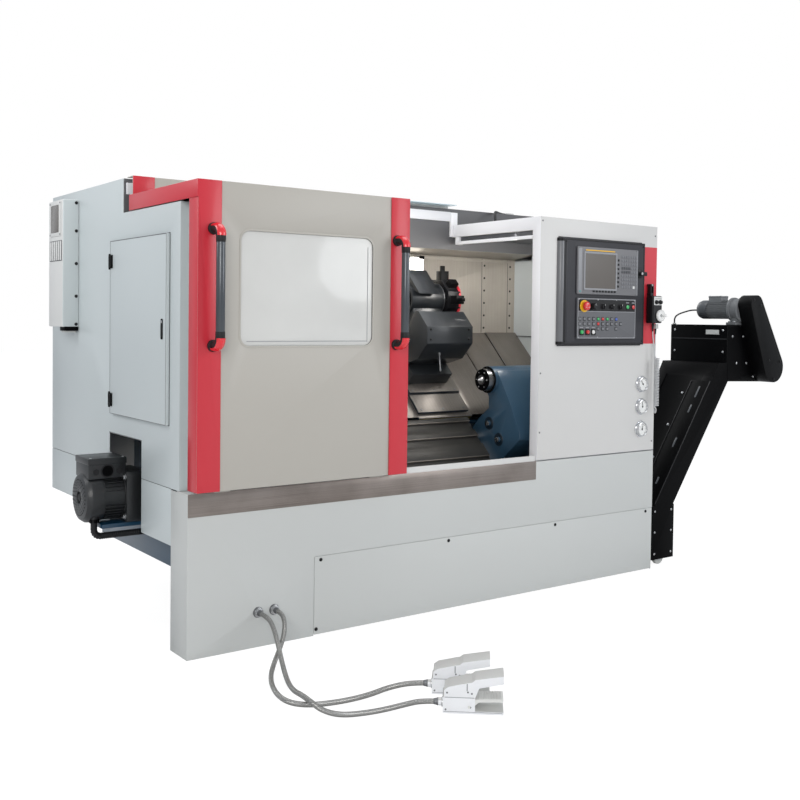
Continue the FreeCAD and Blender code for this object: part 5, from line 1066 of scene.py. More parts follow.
@dataclass
class PendantCord:
    """The curly cord under the handwheel pendant: one wire, curls and the way back up."""

    wire: float = 2.6
    coil: float = 10.0
    curls: int = 31
    pitch: float = 7.4
    middle: tuple[float, float] = (2374.0, -38.0)
    top: float = 1019.0
    per_turn: int = 12

    def route(self) -> list[Vector]:
        """Give the wire's route: down, round the curls, down, and back up.

        Returns:
            The points that pull it, in metres.
        """
        x, y = self.middle
        points = [(2346, -32, 1171), (2346, -32, 1158), (2347, -32, 1130), (2355, -31, 1090), (2362, -30, 1060),
                  (2364, -30, 1040)]
        pull = self.coil / math.cos(HALF_TURN / self.per_turn)
        for i in range(self.curls * self.per_turn + 1):
            turn = i / self.per_turn
            angle = HALF_TURN * (1 + 2 * turn)
            points.append((x + pull * math.cos(angle), y + pull * math.sin(angle), self.top - self.pitch * turn))
        low = self.top - self.pitch * self.curls
        points += [(2364, -45, low - 9), (2364, -46, low - 20), (2366, -42, low - 29), (2375, -31, low - 33),
                   (2384, -19, low - 29), (2387, -14, low - 20),
                   *((2387, -14, z) for z in (low + 30, 900, 1000, 1100, 1146, 1159))]
        return [at(*p) for p in points]

    def build(self) -> None:
        """Make the wire with its strain reliefs."""
        relief = Piece("pendant_reliefs", "cord")
        for x, y, z in ((2346, -32, 1176), (2387, -14, 1162)):
            relief.add(RUBBER, rod((x, y, z), (x, y, z - 30), 5.4, 0.6, 24, 3.1))
        route = self.route()
        wire = spline("pendant_wire", route, self.wire, CORD_GREY, 2, 3)
        tuple(route[0])
        round(length_of(route), 3)
        relief.done()
        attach(wire, "machine")
        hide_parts("pendant_cord")


# ---------------------------------------------------------------- housing
@dataclass
class Housing:
    """The sheet-metal housing: skirt, sides, hatch, strip, rear part and cooler."""

    glands: tuple[float, float] = (275.0, 341.0)
    gland_high: float = 127.0
    hatch: tuple[float, float, float, float] = (161.0, 717.0, 800.0, 1484.0)
    hinges: tuple[float, float] = (1402.0, 856.0)
    cooler: tuple[float, float, float, float] = (1130.0, 1321.0, 1138.0, 1683.0)
    front_screws: tuple[tuple[float, float], ...] = ((520, 24), (538, 284), (1151, 284), (1757, 284), (2357, 284))
    cooler_screws: tuple[float, ...] = (1150, 1270, 1410, 1550, 1670)

    def build(self) -> None:
        """Build and dress every piece of the housing."""
        self.skirt()
        self.sides()
        self.leaf()
        self.rear()
        self.rear_cooler()
        self.heads()

    def skirt(self) -> None:
        """Dress the skirt, its conduit glands, its sheet and the brushed strip above it."""
        piece = skin("base_skirt", SKIRT_SHEET, "enclosure", 0.8, (STEEL, inside(255, -30, 105, 361, -0.4, 149)))
        for x in self.glands:
            piece.add(STEEL, nut((x, -3, self.gland_high), (0, -1, 0), 33, 6))
            piece.add(DULL_STEEL, lathe((x, 0, self.gland_high), Y, (0, 0, 0, 20, -1.4, 20, -2, 19, -2, 0), 32))
        piece.done()
        skin("lower_front_panel", SKIRT_SHEET, "enclosure", 0.9).done()
        skin("drip_rail", WHITE_SHEET, "strip", 0.7, (BRUSHED_STRIP, inside(-5, -3.2, 480, 1700, 0.2, 579))).done()

    def sides(self) -> None:
        """Dress the side sheets and lay the seal round the hatch."""
        for node in ("left_upper_panel", "left_lower_panel", "right_end_panel"):
            # the side panels take the painted-shade copy of the white paint
            skin(node, SIDE_SHEET_PAINTED_SHADE).done()
        skin("headstock_cover", WHITE_SHEET).done()
        y0, y1, z0, z1 = self.hatch
        seal = Piece("hatch_seal", "rubber")
        for a, b, c, d in ((y0 - 1.6, z0 - 1.6, y1 + 1.6, z0 + 4), (y0 - 1.6, z1 - 4, y1 + 1.6, z1 + 2.2),
                           (y0 - 1.6, z0, y0 + 4, z1), (y1 - 4, z0, y1 + 1.6, z1)):
            seal.add(RUBBER, box(-0.9, a, b, 0.2, c, d, 0.3, 1))
        seal.add(DULL_STEEL, box(-0.7, 416, 719, 0.2, 755, 722.4, 0.2, 1)).done()

    def leaf(self) -> None:
        """Make the side hatch with its slot latch and two hinges."""
        y0, y1, z0, z1 = self.hatch
        piece = Piece("hatch_leaf", "enclosure", "access_door")
        # the hatch takes the side panels' painted-shade copy of the white paint
        piece.add(SIDE_SHEET_PAINTED_SHADE, plate(oblong(y0, z0, y1, z1, 4.0, -14.0, axis=X), (13.4, 0, 0), 1.6, 3))
        for z in self.hinges:
            piece.add(BLACK_PAINT, rod((-13, y1 + 1, z - 31), (-13, y1 + 1, z + 31), 6.6, 1.2, 24),
                      box(-19, y1 - 30, z - 26, -13.2, y1 - 2, z + 26, 2.0),
                      box(-19, y1 + 4, z - 26, -13.2, y1 + 6.8, z + 26, 2.0))
            for lift in (-17, 17):
                knuckle = z + lift * 1.2
                piece.add(SCREW_BLACK, screw((-19, y1 - 17, z + lift), X, -1, 4.2, 2.2),
                          rod((-13, y1 + 1, knuckle - 0.5), (-13, y1 + 1, knuckle + 0.5), 7.4, 0.2, 24))
        for a, b, c, d in ((y0 + 1, z1 - 3.6, y1 - 1, z1 - 0.6), (y1 - 3.4, z0 + 1, y1 - 0.8, z1 - 1),
                           (y0 + 0.6, z0 + 1, y0 + 2.6, z1 - 1), (y0 + 1, z0 + 0.6, y1 - 1, z0 + 2.4)):
            piece.add(DULL_STEEL, box(-14.4, a, b, -13.6, c, d, 0.2, 1))
        mid = y0 + 36
        piece.add(BLACK_PAINT, plate(oblong(mid - 8.5, 1106, mid + 8.5, 1180, 5.95, -16.4, 6, X), (2.4, 0, 0), 0.8))
        piece.add(BLACK_FINE, box(-18.6, mid - 5, 1116, -15, mid + 5, 1160, 2.0, 3))
        piece.add(STEEL, lathe((-16, mid, 1169), X, (0, 0, 0, 5.6, -2.6, 5.0, -2.6, 1.4, -1.2, 1.2, -1.2, 0), 20))
        piece.done()

    def rear(self) -> None:
        """Dress the tall rear part with its film strip, top rail, hose and painted shade on the wall below the rail."""
        piece = skin("rear_housing", WHITE_SHEET, "enclosure", 0.7,
                     (RUBBER, inside(1830, 520, 1642, 2046, 705, 1760)),
                     (GREY_PLASTIC, inside(2046, 670, 1719, 2100, 730, 1760)),
                     (FILM_BLUE, inside(1025, 560, 1732, 1640, 690, 1750)),
                     (TRIM_WHITE_AND_JAMB_HIGHLIGHT, inside(5, 600, 1655, 1700, 615.6, 1712)),
                     # painted shade on the wall under the top rail
                     (UNDER_RAIL_PAINTED_SHADE, inside(5, 615.7, 1300, 1660, 640, 1723)),
                     (LINING_STEEL, inside(690, 610, 1500, 2210, 790, 1535)))
        piece.add(GREY_PLASTIC, nut((1850, 540, 1645), (0, 0, 1), 26, 8))
        piece.add(TRIM_WHITE_AND_JAMB_HIGHLIGHT, box(1624, 604, 1588, 1639.6, 616, 1705, 0.8),
                  box(1638, 604, 1644.6, 1664, 616, 1705, 0.8))
        piece.add(SCREW_BLACK, *(screw((x, 1497, z), Y, 1, 6.5, 3.6) for x in (120, 700, 1290, 1860)
                                 for z in (480, 900, 1340, 1610))).done()

    def rear_cooler(self) -> None:
        """Make the cooler on the rear left with its window, louvres and drain lip."""
        front, rear, low, top = self.cooler
        piece = Piece("cooler_box", "enclosure", "cabinet_cooler")
        piece.add(LIGHT_PLASTIC, box(-69.6, front, low, 0, rear, top, 4.0, 3),
                  # faces that look forward take the side panels' painted-shade copy of the white paint
                  marks=((SIDE_SHEET_PAINTED_SHADE, lambda middle, normal: normal.y < -0.7),))
        piece.add(LIGHT_PLASTIC, plate(oblong(1154, 1528, 1300, 1677, 6.0, -70.4, axis=X), (-2.2, 0, 0), 1.0))
        piece.add(SCREEN_FACE, plate(oblong(1178, 1544, 1280, 1662, 3.0, -72.8, axis=X), (-1.4, 0, 0), 0.5))
        piece.add(DULL_STEEL, *(screw((-72.6, y, z), X, -1, 3.6, 2.0) for y in (1161, 1294) for z in (1535, 1670)))
        piece.add(KEY_DARK, box(-71.6, 1142, 1421, -66, 1304, 1509))
        for i in range(6):
            y = 1145 + 26.4 * i
            piece.add(LIGHT_PLASTIC, box(-73.0, y, 1424, -71.2, y + 17.0, 1506, 0.6))
        piece.add(BLACK_PAINT, box(-61, front - 1, low - 17, -3, front + 64, low + 1, 2.0))
        piece.add(GREY_PLASTIC, box(-56, front + 6, low - 24, -8, front + 60, low - 15, 2.0)).done()

    def heads(self) -> None:
        """Make the black screws of the front sheet and of the side beside the cooler."""
        piece = Piece("black_screws", "screws", "cover_screws")
        piece.add(SCREW_BLACK, *(screw((x, 0, z), Y, -1) for x, z in self.front_screws))
        piece.add(SCREW_BLACK, *(screw((-12, self.cooler[0], z), Y, -1) for z in self.cooler_screws)).done()


# ---------------------------------------------------------------- sliding door
@dataclass
class SlidingDoor:
    """The sliding door: face, red edges, window and two handles."""

    face: float = -68.0
    window: tuple[float, float, float, float] = (160.0, 1087.0, 714.0, 1491.0)
    window_round: float = 38.0
    handles: tuple[float, float] = (54.5, 819.5)
    handle_ends: tuple[float, float] = (1074.0, 1505.0)
    tube: float = 15.6
    reach: float = 58.0
    bend: float = 27.0

    def build(self) -> None:
        """Dress the door and make its pane, seal and handles."""
        x0, z0, x1, z1 = self.window
        y, turn = self.face, self.window_round
        edge = at(0, 0, 0).x
        piece = skin("sliding_door", DOOR_SHEET, "door_paint", 0.9,
                     (DOOR_RED, lambda middle, normal: normal.x < -0.5 and abs(middle.x - edge) < 0.002))
        piece.add(DOOR_SHEET, rim(x0 - 5, x1 + 5, z0 - 5, z1 + 5, y - 1.0, y + 0.6, 7.0, turn + 4, 0.4)).done()
        skin("door_trim", DOOR_RED, "red_paint", 1.2).done()
        outline = oblong(x0 - 12, z0 - 12, x1 + 12, z1 + 12, turn + 8, y + 3.4, 8)
        # the pane's pale clouded colour is partly painted reflection
        Piece("door_pane", "pane", "door_window").add(PANE_FILM_AND_PAINTED_REFLECTION, plate(outline, (0, 7.2, 0), 0.8)).done()
        seal = Piece("door_seal", "rubber", body="door")
        seal.add(RUBBER, rim(x0 - 1.5, x1 + 1.5, z0 - 1.5, z1 + 1.5, y - 0.4, y + 3.3, 3.6, turn, 0.4))
        seal.add(KEY_GREY, box(x1 - 24, y + 2.6, z0 + 14, x1 - 21.5, y + 3.4, z1 - 34, 0.2, 1),
                 box(x0 + 26, y + 2.6, z0 + 17, x1 - 22, y + 3.4, z0 + 19.5, 0.2, 1)).done()
        self.grips()

    def grips(self) -> None:
        """Make both handles: a tube, two elbows that bend to the door and their red shells."""
        piece = Piece("door_grips", "handles", "door_handles")
        low, top = self.handle_ends
        foot = self.face - 5
        y = foot - self.reach
        for x in self.handles:
            piece.add(HANDLE_GREY, rod((x, y, low + 40), (x, y, top - 40), self.tube, 0.8))
            for end, sign in ((low, 1), (top, -1)):
                z = end + sign * 17
                start = z + sign * self.bend
                piece.add(BLACK_FINE, self.elbow(x, y, z, sign, 16.6, 180.0))
                piece.add(CAP_RED, self.elbow(x, y, z, sign, 18.4, 66.0))
                piece.add(BLACK_FINE, rod((x, y, start), (x, y, start + sign * 22), 16.6, thin=16.2),
                          lathe((x, foot, z), Y, (0, 0, 0, 20.5, -9, 20.5, -13, 17, -13, 0), 40))
        piece.done()

    def elbow(self, x: float, y: float, z: float, sign: int, radius: float, half: float) -> Shape:
        """Make the bend from the tube to the door, whole or only its outer side.

        Args:
            x, y, z: the handle's place, the tube's axis and the arm's height.
            sign: 1 at the lower end, -1 at the upper.
            radius: radius of the bend's section.
            half: half of the angle that it covers round its section, in degrees.

        Returns:
            The bend with its arm.
        """
        bm = bmesh.new()
        whole = half >= 180.0
        count = 32 if whole else 17
        angles = [math.radians(-half + 2 * half * i / (count if whole else count - 1)) for i in range(count)]
        section = [bm.verts.new(at(x + radius * math.sin(t), y - radius * math.cos(t), z + sign * self.bend))
                   for t in angles]
        edges = [bm.edges.new(pair) for pair in zip(section, section[1:] + (section[:1] if whole else []))]
        swung = bmesh.ops.spin(bm, geom=section + edges, cent=at(x, y + self.bend, z + sign * self.bend),
                               axis=(1, 0, 0), angle=HALF_TURN / 2 * sign, steps=10, use_merge=False, dvec=(0, 0, 0))
        last = [e for e in swung["geom_last"] if isinstance(e, bmesh.types.BMEdge)]
        arm = self.reach - self.bend - (3 if whole else 12)
        grow(bm, bmesh.ops.extrude_edge_only(bm, edges=last), Vector((0, arm * MM, 0)))
        bmesh.ops.remove_doubles(bm, verts=bm.verts, dist=1e-6)
        if whole:
            bmesh.ops.holes_fill(bm, edges=[e for e in bm.edges if len(e.link_faces) == 1])
        bmesh.ops.recalc_face_normals(bm, faces=bm.faces)
        if not whole:
            bmesh.ops.solidify(bm, geom=bm.faces[:], thickness=1.6 * MM)
            bmesh.ops.recalc_face_normals(bm, faces=bm.faces)
        return bm


# ---------------------------------------------------------------- control station
class Legend(Enum):
    """How a key of the operator panel is marked: by its colour alone."""

    PLAIN = "p"
    GREEN = "g"
    RED = "r"
    BLUE = "b"
    NONE = " "

    @property
    def finish(self) -> Finish:
        """Give a key's finish."""
        return {"p": KEY_MID, "g": BUTTON_GREEN, "r": BUTTON_RED, "b": BUTTON_BLUE}[self.value]


@dataclass
class ControlStation:
    """The control cabinet: console, display, operator panel, gauges and handwheel pendant."""

    console: tuple[float, float, float, float] = (1740.0, 2293.0, 1084.0, 1558.0)
    proud: float = 22.0
    display: tuple[float, float, float, float] = (1839.0, 2235.0, 1311.0, 1523.0)
    screen: tuple[float, float, float, float] = (1885.0, 2084.0, 1338.0, 1494.0)
    operator: tuple[float, float, float, float] = (1842.0, 2224.0, 1112.0, 1294.0)
    key_rows: tuple[tuple[float, str], ...] = ((1201, "ppppgrgpb"), (1179, "pppprppppp"), (1157, "    ppp p"))
    unit: float = 9.0
    gauge_at: float = 2309.0
    gauges_high: tuple[tuple[float, float], ...] = ((896.0, -38.0), (789.0, -8.0), (682.0, 12.0))
    pendant: tuple[float, float, float, float] = (2321.0, 2402.0, 1185.0, 1314.0)
    pendant_face: float = -54.0

    def build(self) -> None:
        """Build and dress the cabinet and everything on it."""
        self.cabinet()
        self.housing()
        self.display_unit()
        self.operator_panel()
        self.buttons()
        self.gauges()
        self.hand_pendant()
        self.dial()

    def cabinet(self) -> None:
        """Dress the cabinet, with its red edge, roof channel, screws and a jamb made lighter partly by painted light.
        """
        piece = skin("control_cabinet", WHITE_SHEET, "enclosure", 0.9,
                     (GREY_PLASTIC, inside(2370, -30, 1150, 2400, -0.5, 1190)),
                     # the jamb that faces left: partly a paler sheet, partly painted light that makes it lighter than
                     # the front
                     (TRIM_WHITE_AND_JAMB_HIGHLIGHT, lambda middle, normal: normal.x < -0.6 and middle.x < at(1641, 0, 0).x))
        piece.add(DOOR_RED, box(2293.4, -1.0, 1087, 2403.4, 0.4, 1545, 0.6, 1))
        piece.add(TRIM_WHITE_AND_JAMB_HIGHLIGHT, box(1641, 54, 1550, 1655, 572, 1565, 1.0), box(1641, 566, 1550, 1668, 590, 1587.2, 1.0))
        piece.add(KEY_DARK, box(1656, 60, 1554, 1662, 567, 1587.2, 1.0), box(1662, 84, 1575, 2190, 560, 1587.2, 1.0))
        for x, z in ((1652, 1626), (1652, 960), (1652, 700), (2390, 1600), (2390, 620)):
            piece.add(DULL_STEEL, screw((x, 0, z), Y, -1, 4.0, 1.8))
        piece.add(KEY_GREY, box(1640.4, -0.8, 577, 2403.6, 0.3, 579.4, 0.3, 1)).done()

    def housing(self) -> None:
        """Dress the console's black case: its rounded stile with a painted highlight, rim, seals, latch and screws."""
        x0, x1, z0, z1 = self.console
        y = -self.proud
        stile = at(x0 + self.proud + 0.5, 0, 0).x
        piece = skin("console_housing", CONSOLE_BLACK, "console", 1.0,
                     # painted highlight: the stile's faces that look left and forward are coloured grey
                     (STILE_PAINTED_HIGHLIGHT, lambda middle, normal: middle.x < stile and normal.x < -0.05 and normal.y < -0.02))
        piece.add(CONSOLE_DARK, rim(x0 + 30, x1 - 2, z0 + 2, z1 - 2, y - 0.8, y + 0.8, 7.0, 4.0, 0.6),
                  box(x0 + 24, y - 1.2, z0 + 3, x0 + 27, y + 0.6, z1 - 3, 0.6, 1))
        piece.add(CONSOLE_BLACK, box(x0 + 44, y - 0.6, z0 + 14, x0 + 92, y + 0.6, z1 - 14, 0.5, 1))
        piece.add(CONSOLE_DARK, *(rod((x0 + 20, -2, z - 7), (x0 + 20, -2, z + 7), 20.8) for z in (z0 + 8, z1 - 8)),
                  box(x1 - 54, y - 9, 1394, x1 - 28, y + 1, 1438, 3.0, 3))
        piece.add(BLACK_FINE, box(x1 - 47, y - 21, 1405, x1 - 3, y - 8, 1424, 4.0, 3))
        piece.add(STEEL, lathe((x1 - 41, y - 21, 1415), Y, (0, 0, 0, 6, -2, 5.4, -2, 0), 24))
        piece.add(SCREW_BLACK, *(box(x0 + 6, -5, z, x1 - 1, -0.4, z + 5, 0.8, 1) for z in (z1, z0 - 5)),
                  *(screw((x, y, z), Y, -1, 4.2, 2.0) for x in (x0 + 36, x1 - 12) for z in (z0 + 16, z1 - 16))).done()

    def display_unit(self) -> None:
        """Make the display: bezel, screen, soft keys round it and the key field beside it."""
        x0, x1, z0, z1 = self.display
        s0, s1, t0, t1 = self.screen
        y = -self.proud - self.unit
        piece = Piece("display_front", "console", "display_unit")
        piece.add(BEZEL_GREY, plate(oblong(x0, z0, x1, z1, 5.0, -self.proud), (0, -self.unit, 0), 1.6, 3))
        piece.add(BEZEL_LIGHT, box(x0 + 6, y - 1.0, z0 + 6, x0 + 26, y + 0.4, z1 - 6, 0.8))
        piece.add(KEY_GREY, box(x1 - 6, y - 1.2, z0 + 2, x1 - 1, y + 0.4, z1 - 2, 0.8))
        piece.add(BEZEL_LIGHT, rim(s0 - 8, s1 + 8, t0 - 8, t1 + 8, y - 3.0, y + 0.4, 8.5, 4.0, 1.0))
        piece.add(SCREEN_FACE, plate(oblong(s0, t0, s1, t1, 2.0, y - 0.8, 3), (0, 1.0, 0), 0.0))
        piece.add(YELLOW, box(s0 + 4, y - 1.2, t1 + 12, s1 - 6, y + 0.4, t1 + 17, 0.5, 1))
        for i in range(7):
            z = t0 + 8 + 20 * i
            piece.add(CONSOLE_DARK, box(s1 + 13, y - 2.8, z, s1 + 23, y + 0.4, z + 10, 1.2))
        for i in range(8):
            x = s0 + 51 + 19.6 * i
            piece.add(CONSOLE_DARK, box(x, y - 2.6, z0 + 10, x + 13, y + 0.4, z0 + 20, 1.2))
        piece.add(TEAL, box(x0 + 10, y - 1.6, z0 + 9, x0 + 22, y + 0.4, z0 + 17, 1.0))
        for column in range(7):
            for row in range(9):
                x, z = s1 + 39 + 15.6 * column, t0 + 5 + 17.4 * row
                dark = KEY_DARK if row in (4, 5) and column < 4 else KEY_MID
                finish = BUTTON_WHITE if (column, row) == (5, 0) else dark
                piece.add(finish, box(x, y - 2.4, z, x + 11.6, y + 0.4, z + 12, 1.2))
        piece.add(DULL_STEEL, *(screw((x, y, z), Y, -1, 2.8, 1.4) for x in (x0 + 8, x1 - 12) for z in (z0 + 5, z1 - 5)))
        piece.done()

    def operator_panel(self) -> None:
        """Make the operator panel with its keys, fixed knobs and lamps."""
        x0, x1, z0, z1 = self.operator
        y, top, low = -self.proud - self.unit, z0 + 146, z0 + 30
        piece = Piece("operator_front", "console", "operator_panel")
        piece.add(PANEL_GREY, plate(oblong(x0, z0, x1, z1, 4.0, -self.proud), (0, -self.unit, 0), 1.4, 3))
        piece.add(BEZEL_LIGHT, rim(x0 + 1, x1 - 1, z0 + 1, z1 - 1, y - 1.2, y + 0.4, 4.0, 3.0, 0.6),
                  box(x0 + 6, y - 0.9, z0 + 121, x1 - 6, y + 0.3, z0 + 124, 0.4, 1))
        piece.add(CONSOLE_DARK, box(x0 + 6, y - 0.7, z0 + 125, x1 - 6, y + 0.3, z1 - 6, 0.4, 1))
        piece.add(STEEL, *(screw((x, y - 0.6, z), Y, -1, 3.0, 1.4) for x in (x0 + 8, x0 + 130, x0 + 252, x1 - 8)
                           for z in (z0 + 6, z1 - 6)))
        for z, kinds in self.key_rows:
            for i, kind in enumerate(map(Legend, kinds)):
                x = 1856 + 29.6 * i
                if kind is not Legend.NONE:
                    piece.add(CONSOLE_DARK, box(x - 9, y - 1.2, z - 8, x + 9, y + 0.4, z + 8, 0.8, 1))
                    piece.add(kind.finish, box(x - 6.4, y - 3.4, z - 5.6, x + 6.4, y, z + 5.6, 1.4))
        piece.add(YELLOW, lathe((x0 + 41, y, top), Y, (0.4, 0, 0.4, 27, -3, 27, -5, 24.5, -5, 12, -2, 11.4, -2, 0)))
        for x in (2005, 2062, 2119):
            knob = (0.4, 0, 0.4, 15, -2, 15, -3, 12.4, -9, 11.6, -10, 10.6, -10, 0)
            piece.add(CONSOLE_DARK, lathe((x, y, top), Y, knob, 40))
            piece.add(BLACK_FINE, box(x - 3, y - 14, top - 11.4, x + 3, y - 9, top + 11.4, 1.6))
            piece.add(BUTTON_WHITE, box(x - 0.7, y - 14.3, top + 4, x + 0.7, y - 13.6, top + 10.6, 0.2, 1))
        for finish, x, z, radius in ((BUTTON_GREEN, 2168, top, 8.6), (BUTTON_RED, 2207, top, 8.6),
                                     (BUTTON_WHITE, x0 + 102, low, 8.8)):
            piece.add(finish, lathe((x, y, z), Y, (0.4, 0, 0.4, radius, -3.0, radius, -4.4, radius * 0.86,
                                                   -5.0, radius * 0.55, -5.0, 0), 36))
        piece.add(CONSOLE_DARK, *(box(x - 16, y - 0.9, low - 15, x + 16, y + 0.3, low + 15, 1.2, 1)
                                  for x in (x0 + 26, x0 + 64, x0 + 102)))
        for x, z in ((2168, top), (2207, top), (x0 + 102, low), (x0 + 26, low), (x0 + 64, low)):
            piece.add(CONSOLE_DARK, lathe((x, y, z), Y, (0.4, 9.6, 0.4, 13, -2.0, 12.4, -2.6, 10.6, -2.0, 9.6), 36))
            piece.add(BEZEL_LIGHT, box(x - 10, y - 0.8, z + 17, x + 10, y + 0.3, z + 22, 0.4, 1))
        piece.done()

    def buttons(self) -> None:
        """Make the four controls that move: emergency stop, start, stop and the feed knob."""
        x0, _, z0, _ = self.operator
        y, top, low = -self.proud - self.unit, z0 + 146, z0 + 30
        stop = Piece("stop_mushroom", "red_button", "estop_button")
        stop.add(BUTTON_RED, lathe((x0 + 41, y, top), Y, (2, 0, 2, 10.6, -10, 10.6, -12, 19, -14, 19.8, -21, 19.0,
                                                          -24, 15.5, -25, 9, -25, 0)))
        for dx, dz in ring(3, 10.5, 90):
            x, z = x0 + 41 + dx, top + dz
            stop.add(BUTTON_WHITE, box(x - 4, y - 25.4, z - 1.0, x + 4, y - 24.4, z + 1.0, 0.4, 1))
        stop.done()
        for name, x, finish in (("start", x0 + 26, BUTTON_GREEN), ("stop", x0 + 64, BUTTON_RED)):
            slot = "green_button" if name == "start" else "red_button"
            Piece(name + "_cap", slot, name + "_button").add(finish, lathe(
                (x, y, low), Y, (2, 0, 2, 8.6, -6, 8.6, -7.4, 7.8, -8, 6, -7.4, 5, -7.4, 0), 36)).done()
        feed = Piece("feed_dial", "knob", "feed_knob")
        x = x0 + 96
        feed.add(BLACK_FINE, lathe((x, y, top), Y, (2, 0, 2, 7.6, -6, 7.6, -6, 14.8, -9, 14.4, -19, 12.4, -21, 11,
                                                    -21, 0), 40))
        for i in range(20):
            feed.add(BLACK_FINE, box(x - 0.7, y - 19, top + 12.2, x + 0.7, y - 7, top + 14.6, 0.3, 1),
                     turn=about((x, 0, top), 18 * i, Y))
        feed.add(BUTTON_WHITE, box(x - 0.8, y - 21.3, top + 3, x + 0.8, y - 20.6, top + 10.6, 0.2, 1)).done()

    def gauges(self) -> None:
        """Make the three pressure gauges with chrome rims, white dials, ticks and needles."""
        piece = Piece("pressure_gauges", "dials", "gauges")
        x = self.gauge_at
        for z, reading in self.gauges_high:
            piece.add(CHROME, lathe((x, 0, z), Y, (0, 0, 0, 39, -2.2, 39, -3.6, 37.4, -3.6, 34, -14, 33.6, -17, 32.4,
                                                   -17.8, 30.6, -16, 29.4, -11, 29.0, -11, 0), 64))
            piece.add(DIAL_WHITE, lathe((x, 0, z), Y, (-11.2, 0, -11.2, 28.8, -11.5, 28.8, -11.5, 0), 56))
            for i in range(31):
                inner, wide = (24.0, 0.4) if i % 5 else (21.5, 0.7)
                piece.add(CONSOLE_DARK, box(x - wide, -11.9, z + inner, x + wide, -11.4, z + 27, 0.0),
                          turn=about((x, 0, z), 9 * i - 135, Y))
            piece.add(CONSOLE_DARK, box(x - 1.1, -13.2, z - 7, x + 1.1, -12.4, z + 22, 0.3, 1),
                      turn=about((x, 0, z), reading, Y))
            piece.add(CONSOLE_DARK, lathe((x, 0, z), Y, (-11.4, 0, -11.4, 4, -13.6, 3.6, -13.6, 0), 24))
            piece.add(STEEL, *(screw((x + dx, -2.6, z + dz), Y, -1, 2.2, 1.6) for dx, dz in ring(3, 36.4, 90)))
        piece.done(0.5)

    def hand_pendant(self) -> None:
        """Make the handwheel pendant: case, hook, face plate and knobs."""
        x0, x1, z0, z1 = self.pendant
        y = self.pendant_face
        piece = Piece("pendant_case", "pendant_case", "pendant")
        piece.add(CONSOLE_DARK, box(x0, y + 3, z0, x1 - 16, -10, z1, 5.0, 3))
        piece.add(BLACK_FINE, box(x0 + 3, y, z0 + 3, x1 - 19, y + 4, z1 - 3, 2.4, 3))
        piece.add(LIGHT_PLASTIC, plate(oblong(x0 + 5, z1 - 44, x1 - 20, z1 - 4, 3.0, y + 0.6), (0, -1.6, 0), 0.5))
        piece.add(GREY_PLASTIC, box(x0 + 10, y - 1.3, z1 - 15, x1 - 26, y - 0.6, z1 - 9, 0.3, 1))
        piece.add(CONSOLE_DARK, box(x0 + 14, -26, z1 - 2, x0 + 36, 0, z1 + 14, 3.0, 3),
                  box(x0 + 14, -26, z1 + 12, x0 + 20, -3, z1 + 50, 2.4, 3),
                  box(x0 + 30, -26, z1 + 12, x0 + 36, -3, z1 + 50, 2.4, 3),
                  box(x0 + 14, -26, z1 + 44, x0 + 36, 0, z1 + 56, 2.4, 3))
        piece.add(STEEL, screw((x0 + 25, -26, z1 + 50), Y, -1, 4.6, 2.6))
        piece.add(CONSOLE_DARK, box(x0 + 12, -11, z0 + 40, x0 + 52, -0.2, z0 + 70, 2.0))
        for x in (x0 + 20, x0 + 48):
            piece.add(CONSOLE_DARK, lathe((x, y, z1 - 30), Y, (1, 0, 1, 11, -1.6, 11, -2.2, 9, -9.5, 8.4, -10.6, 7.4,
                                                               -10.6, 0), 36))
            piece.add(BLACK_FINE, box(x - 2.2, y - 12, z1 - 38.4, x + 2.2, y - 9, z1 - 21.6, 1.0))
        piece.add(CONSOLE_DARK, lathe((x0 + 47, y, z0 + 36), Y, (0.6, 0, 0.6, 30, -1.6, 29.4, -1.6, 0)))
        for low in (-14, -10.4, -6.8):
            piece.add(RUBBER, lathe((x0 + 25, -32, z0), Z, (low, 4.6, low, 6.2, low + 2.6, 6.2, low + 2.6, 4.6), 24))
        piece.add(RUBBER, lathe((x0 + 25, -32, z0), Z, (-14, 0, -14, 5, 1, 5, 1, 0), 24)).done()

    def dial(self) -> None:
        """Make the pendant's hand wheel with its ticks and crank knob."""
        x, y, z = centre = (self.pendant[0] + 47, self.pendant_face, self.pendant[2] + 36)
        dial = Piece("pendant_wheel", "dials", "pendant_dial")
        dial.add(DIAL_WHITE, lathe(centre, Y, (-1.8, 0, -1.8, 26.4, -3, 27.6, -9.4, 27.6, -11.6, 25.6, -11.8, 17,
                                               -9.6, 15, -9.6, 0), 64))
        for i in range(50):
            reach = 23.4 if i % 5 else 21.6
            dial.add(CONSOLE_DARK, box(x - 0.3, y - 12.0, z + reach, x + 0.3, y - 11.6, z + 25.4, 0.0),
                     turn=about(centre, 7.2 * i, Y))
        dial.add(DIAL_WHITE, lathe((x + 16, y, z), Y, (-9, 0, -9, 3.4, -12, 3.4, -13, 5.8, -25, 6.4, -27.4, 5.0,
                                                       -27.8, 0), 32))
        dial.add(STEEL, lathe(centre, Y, (-9.4, 0, -9.4, 7, -11.4, 6.2, -11.4, 0), 32)).done(0.5)


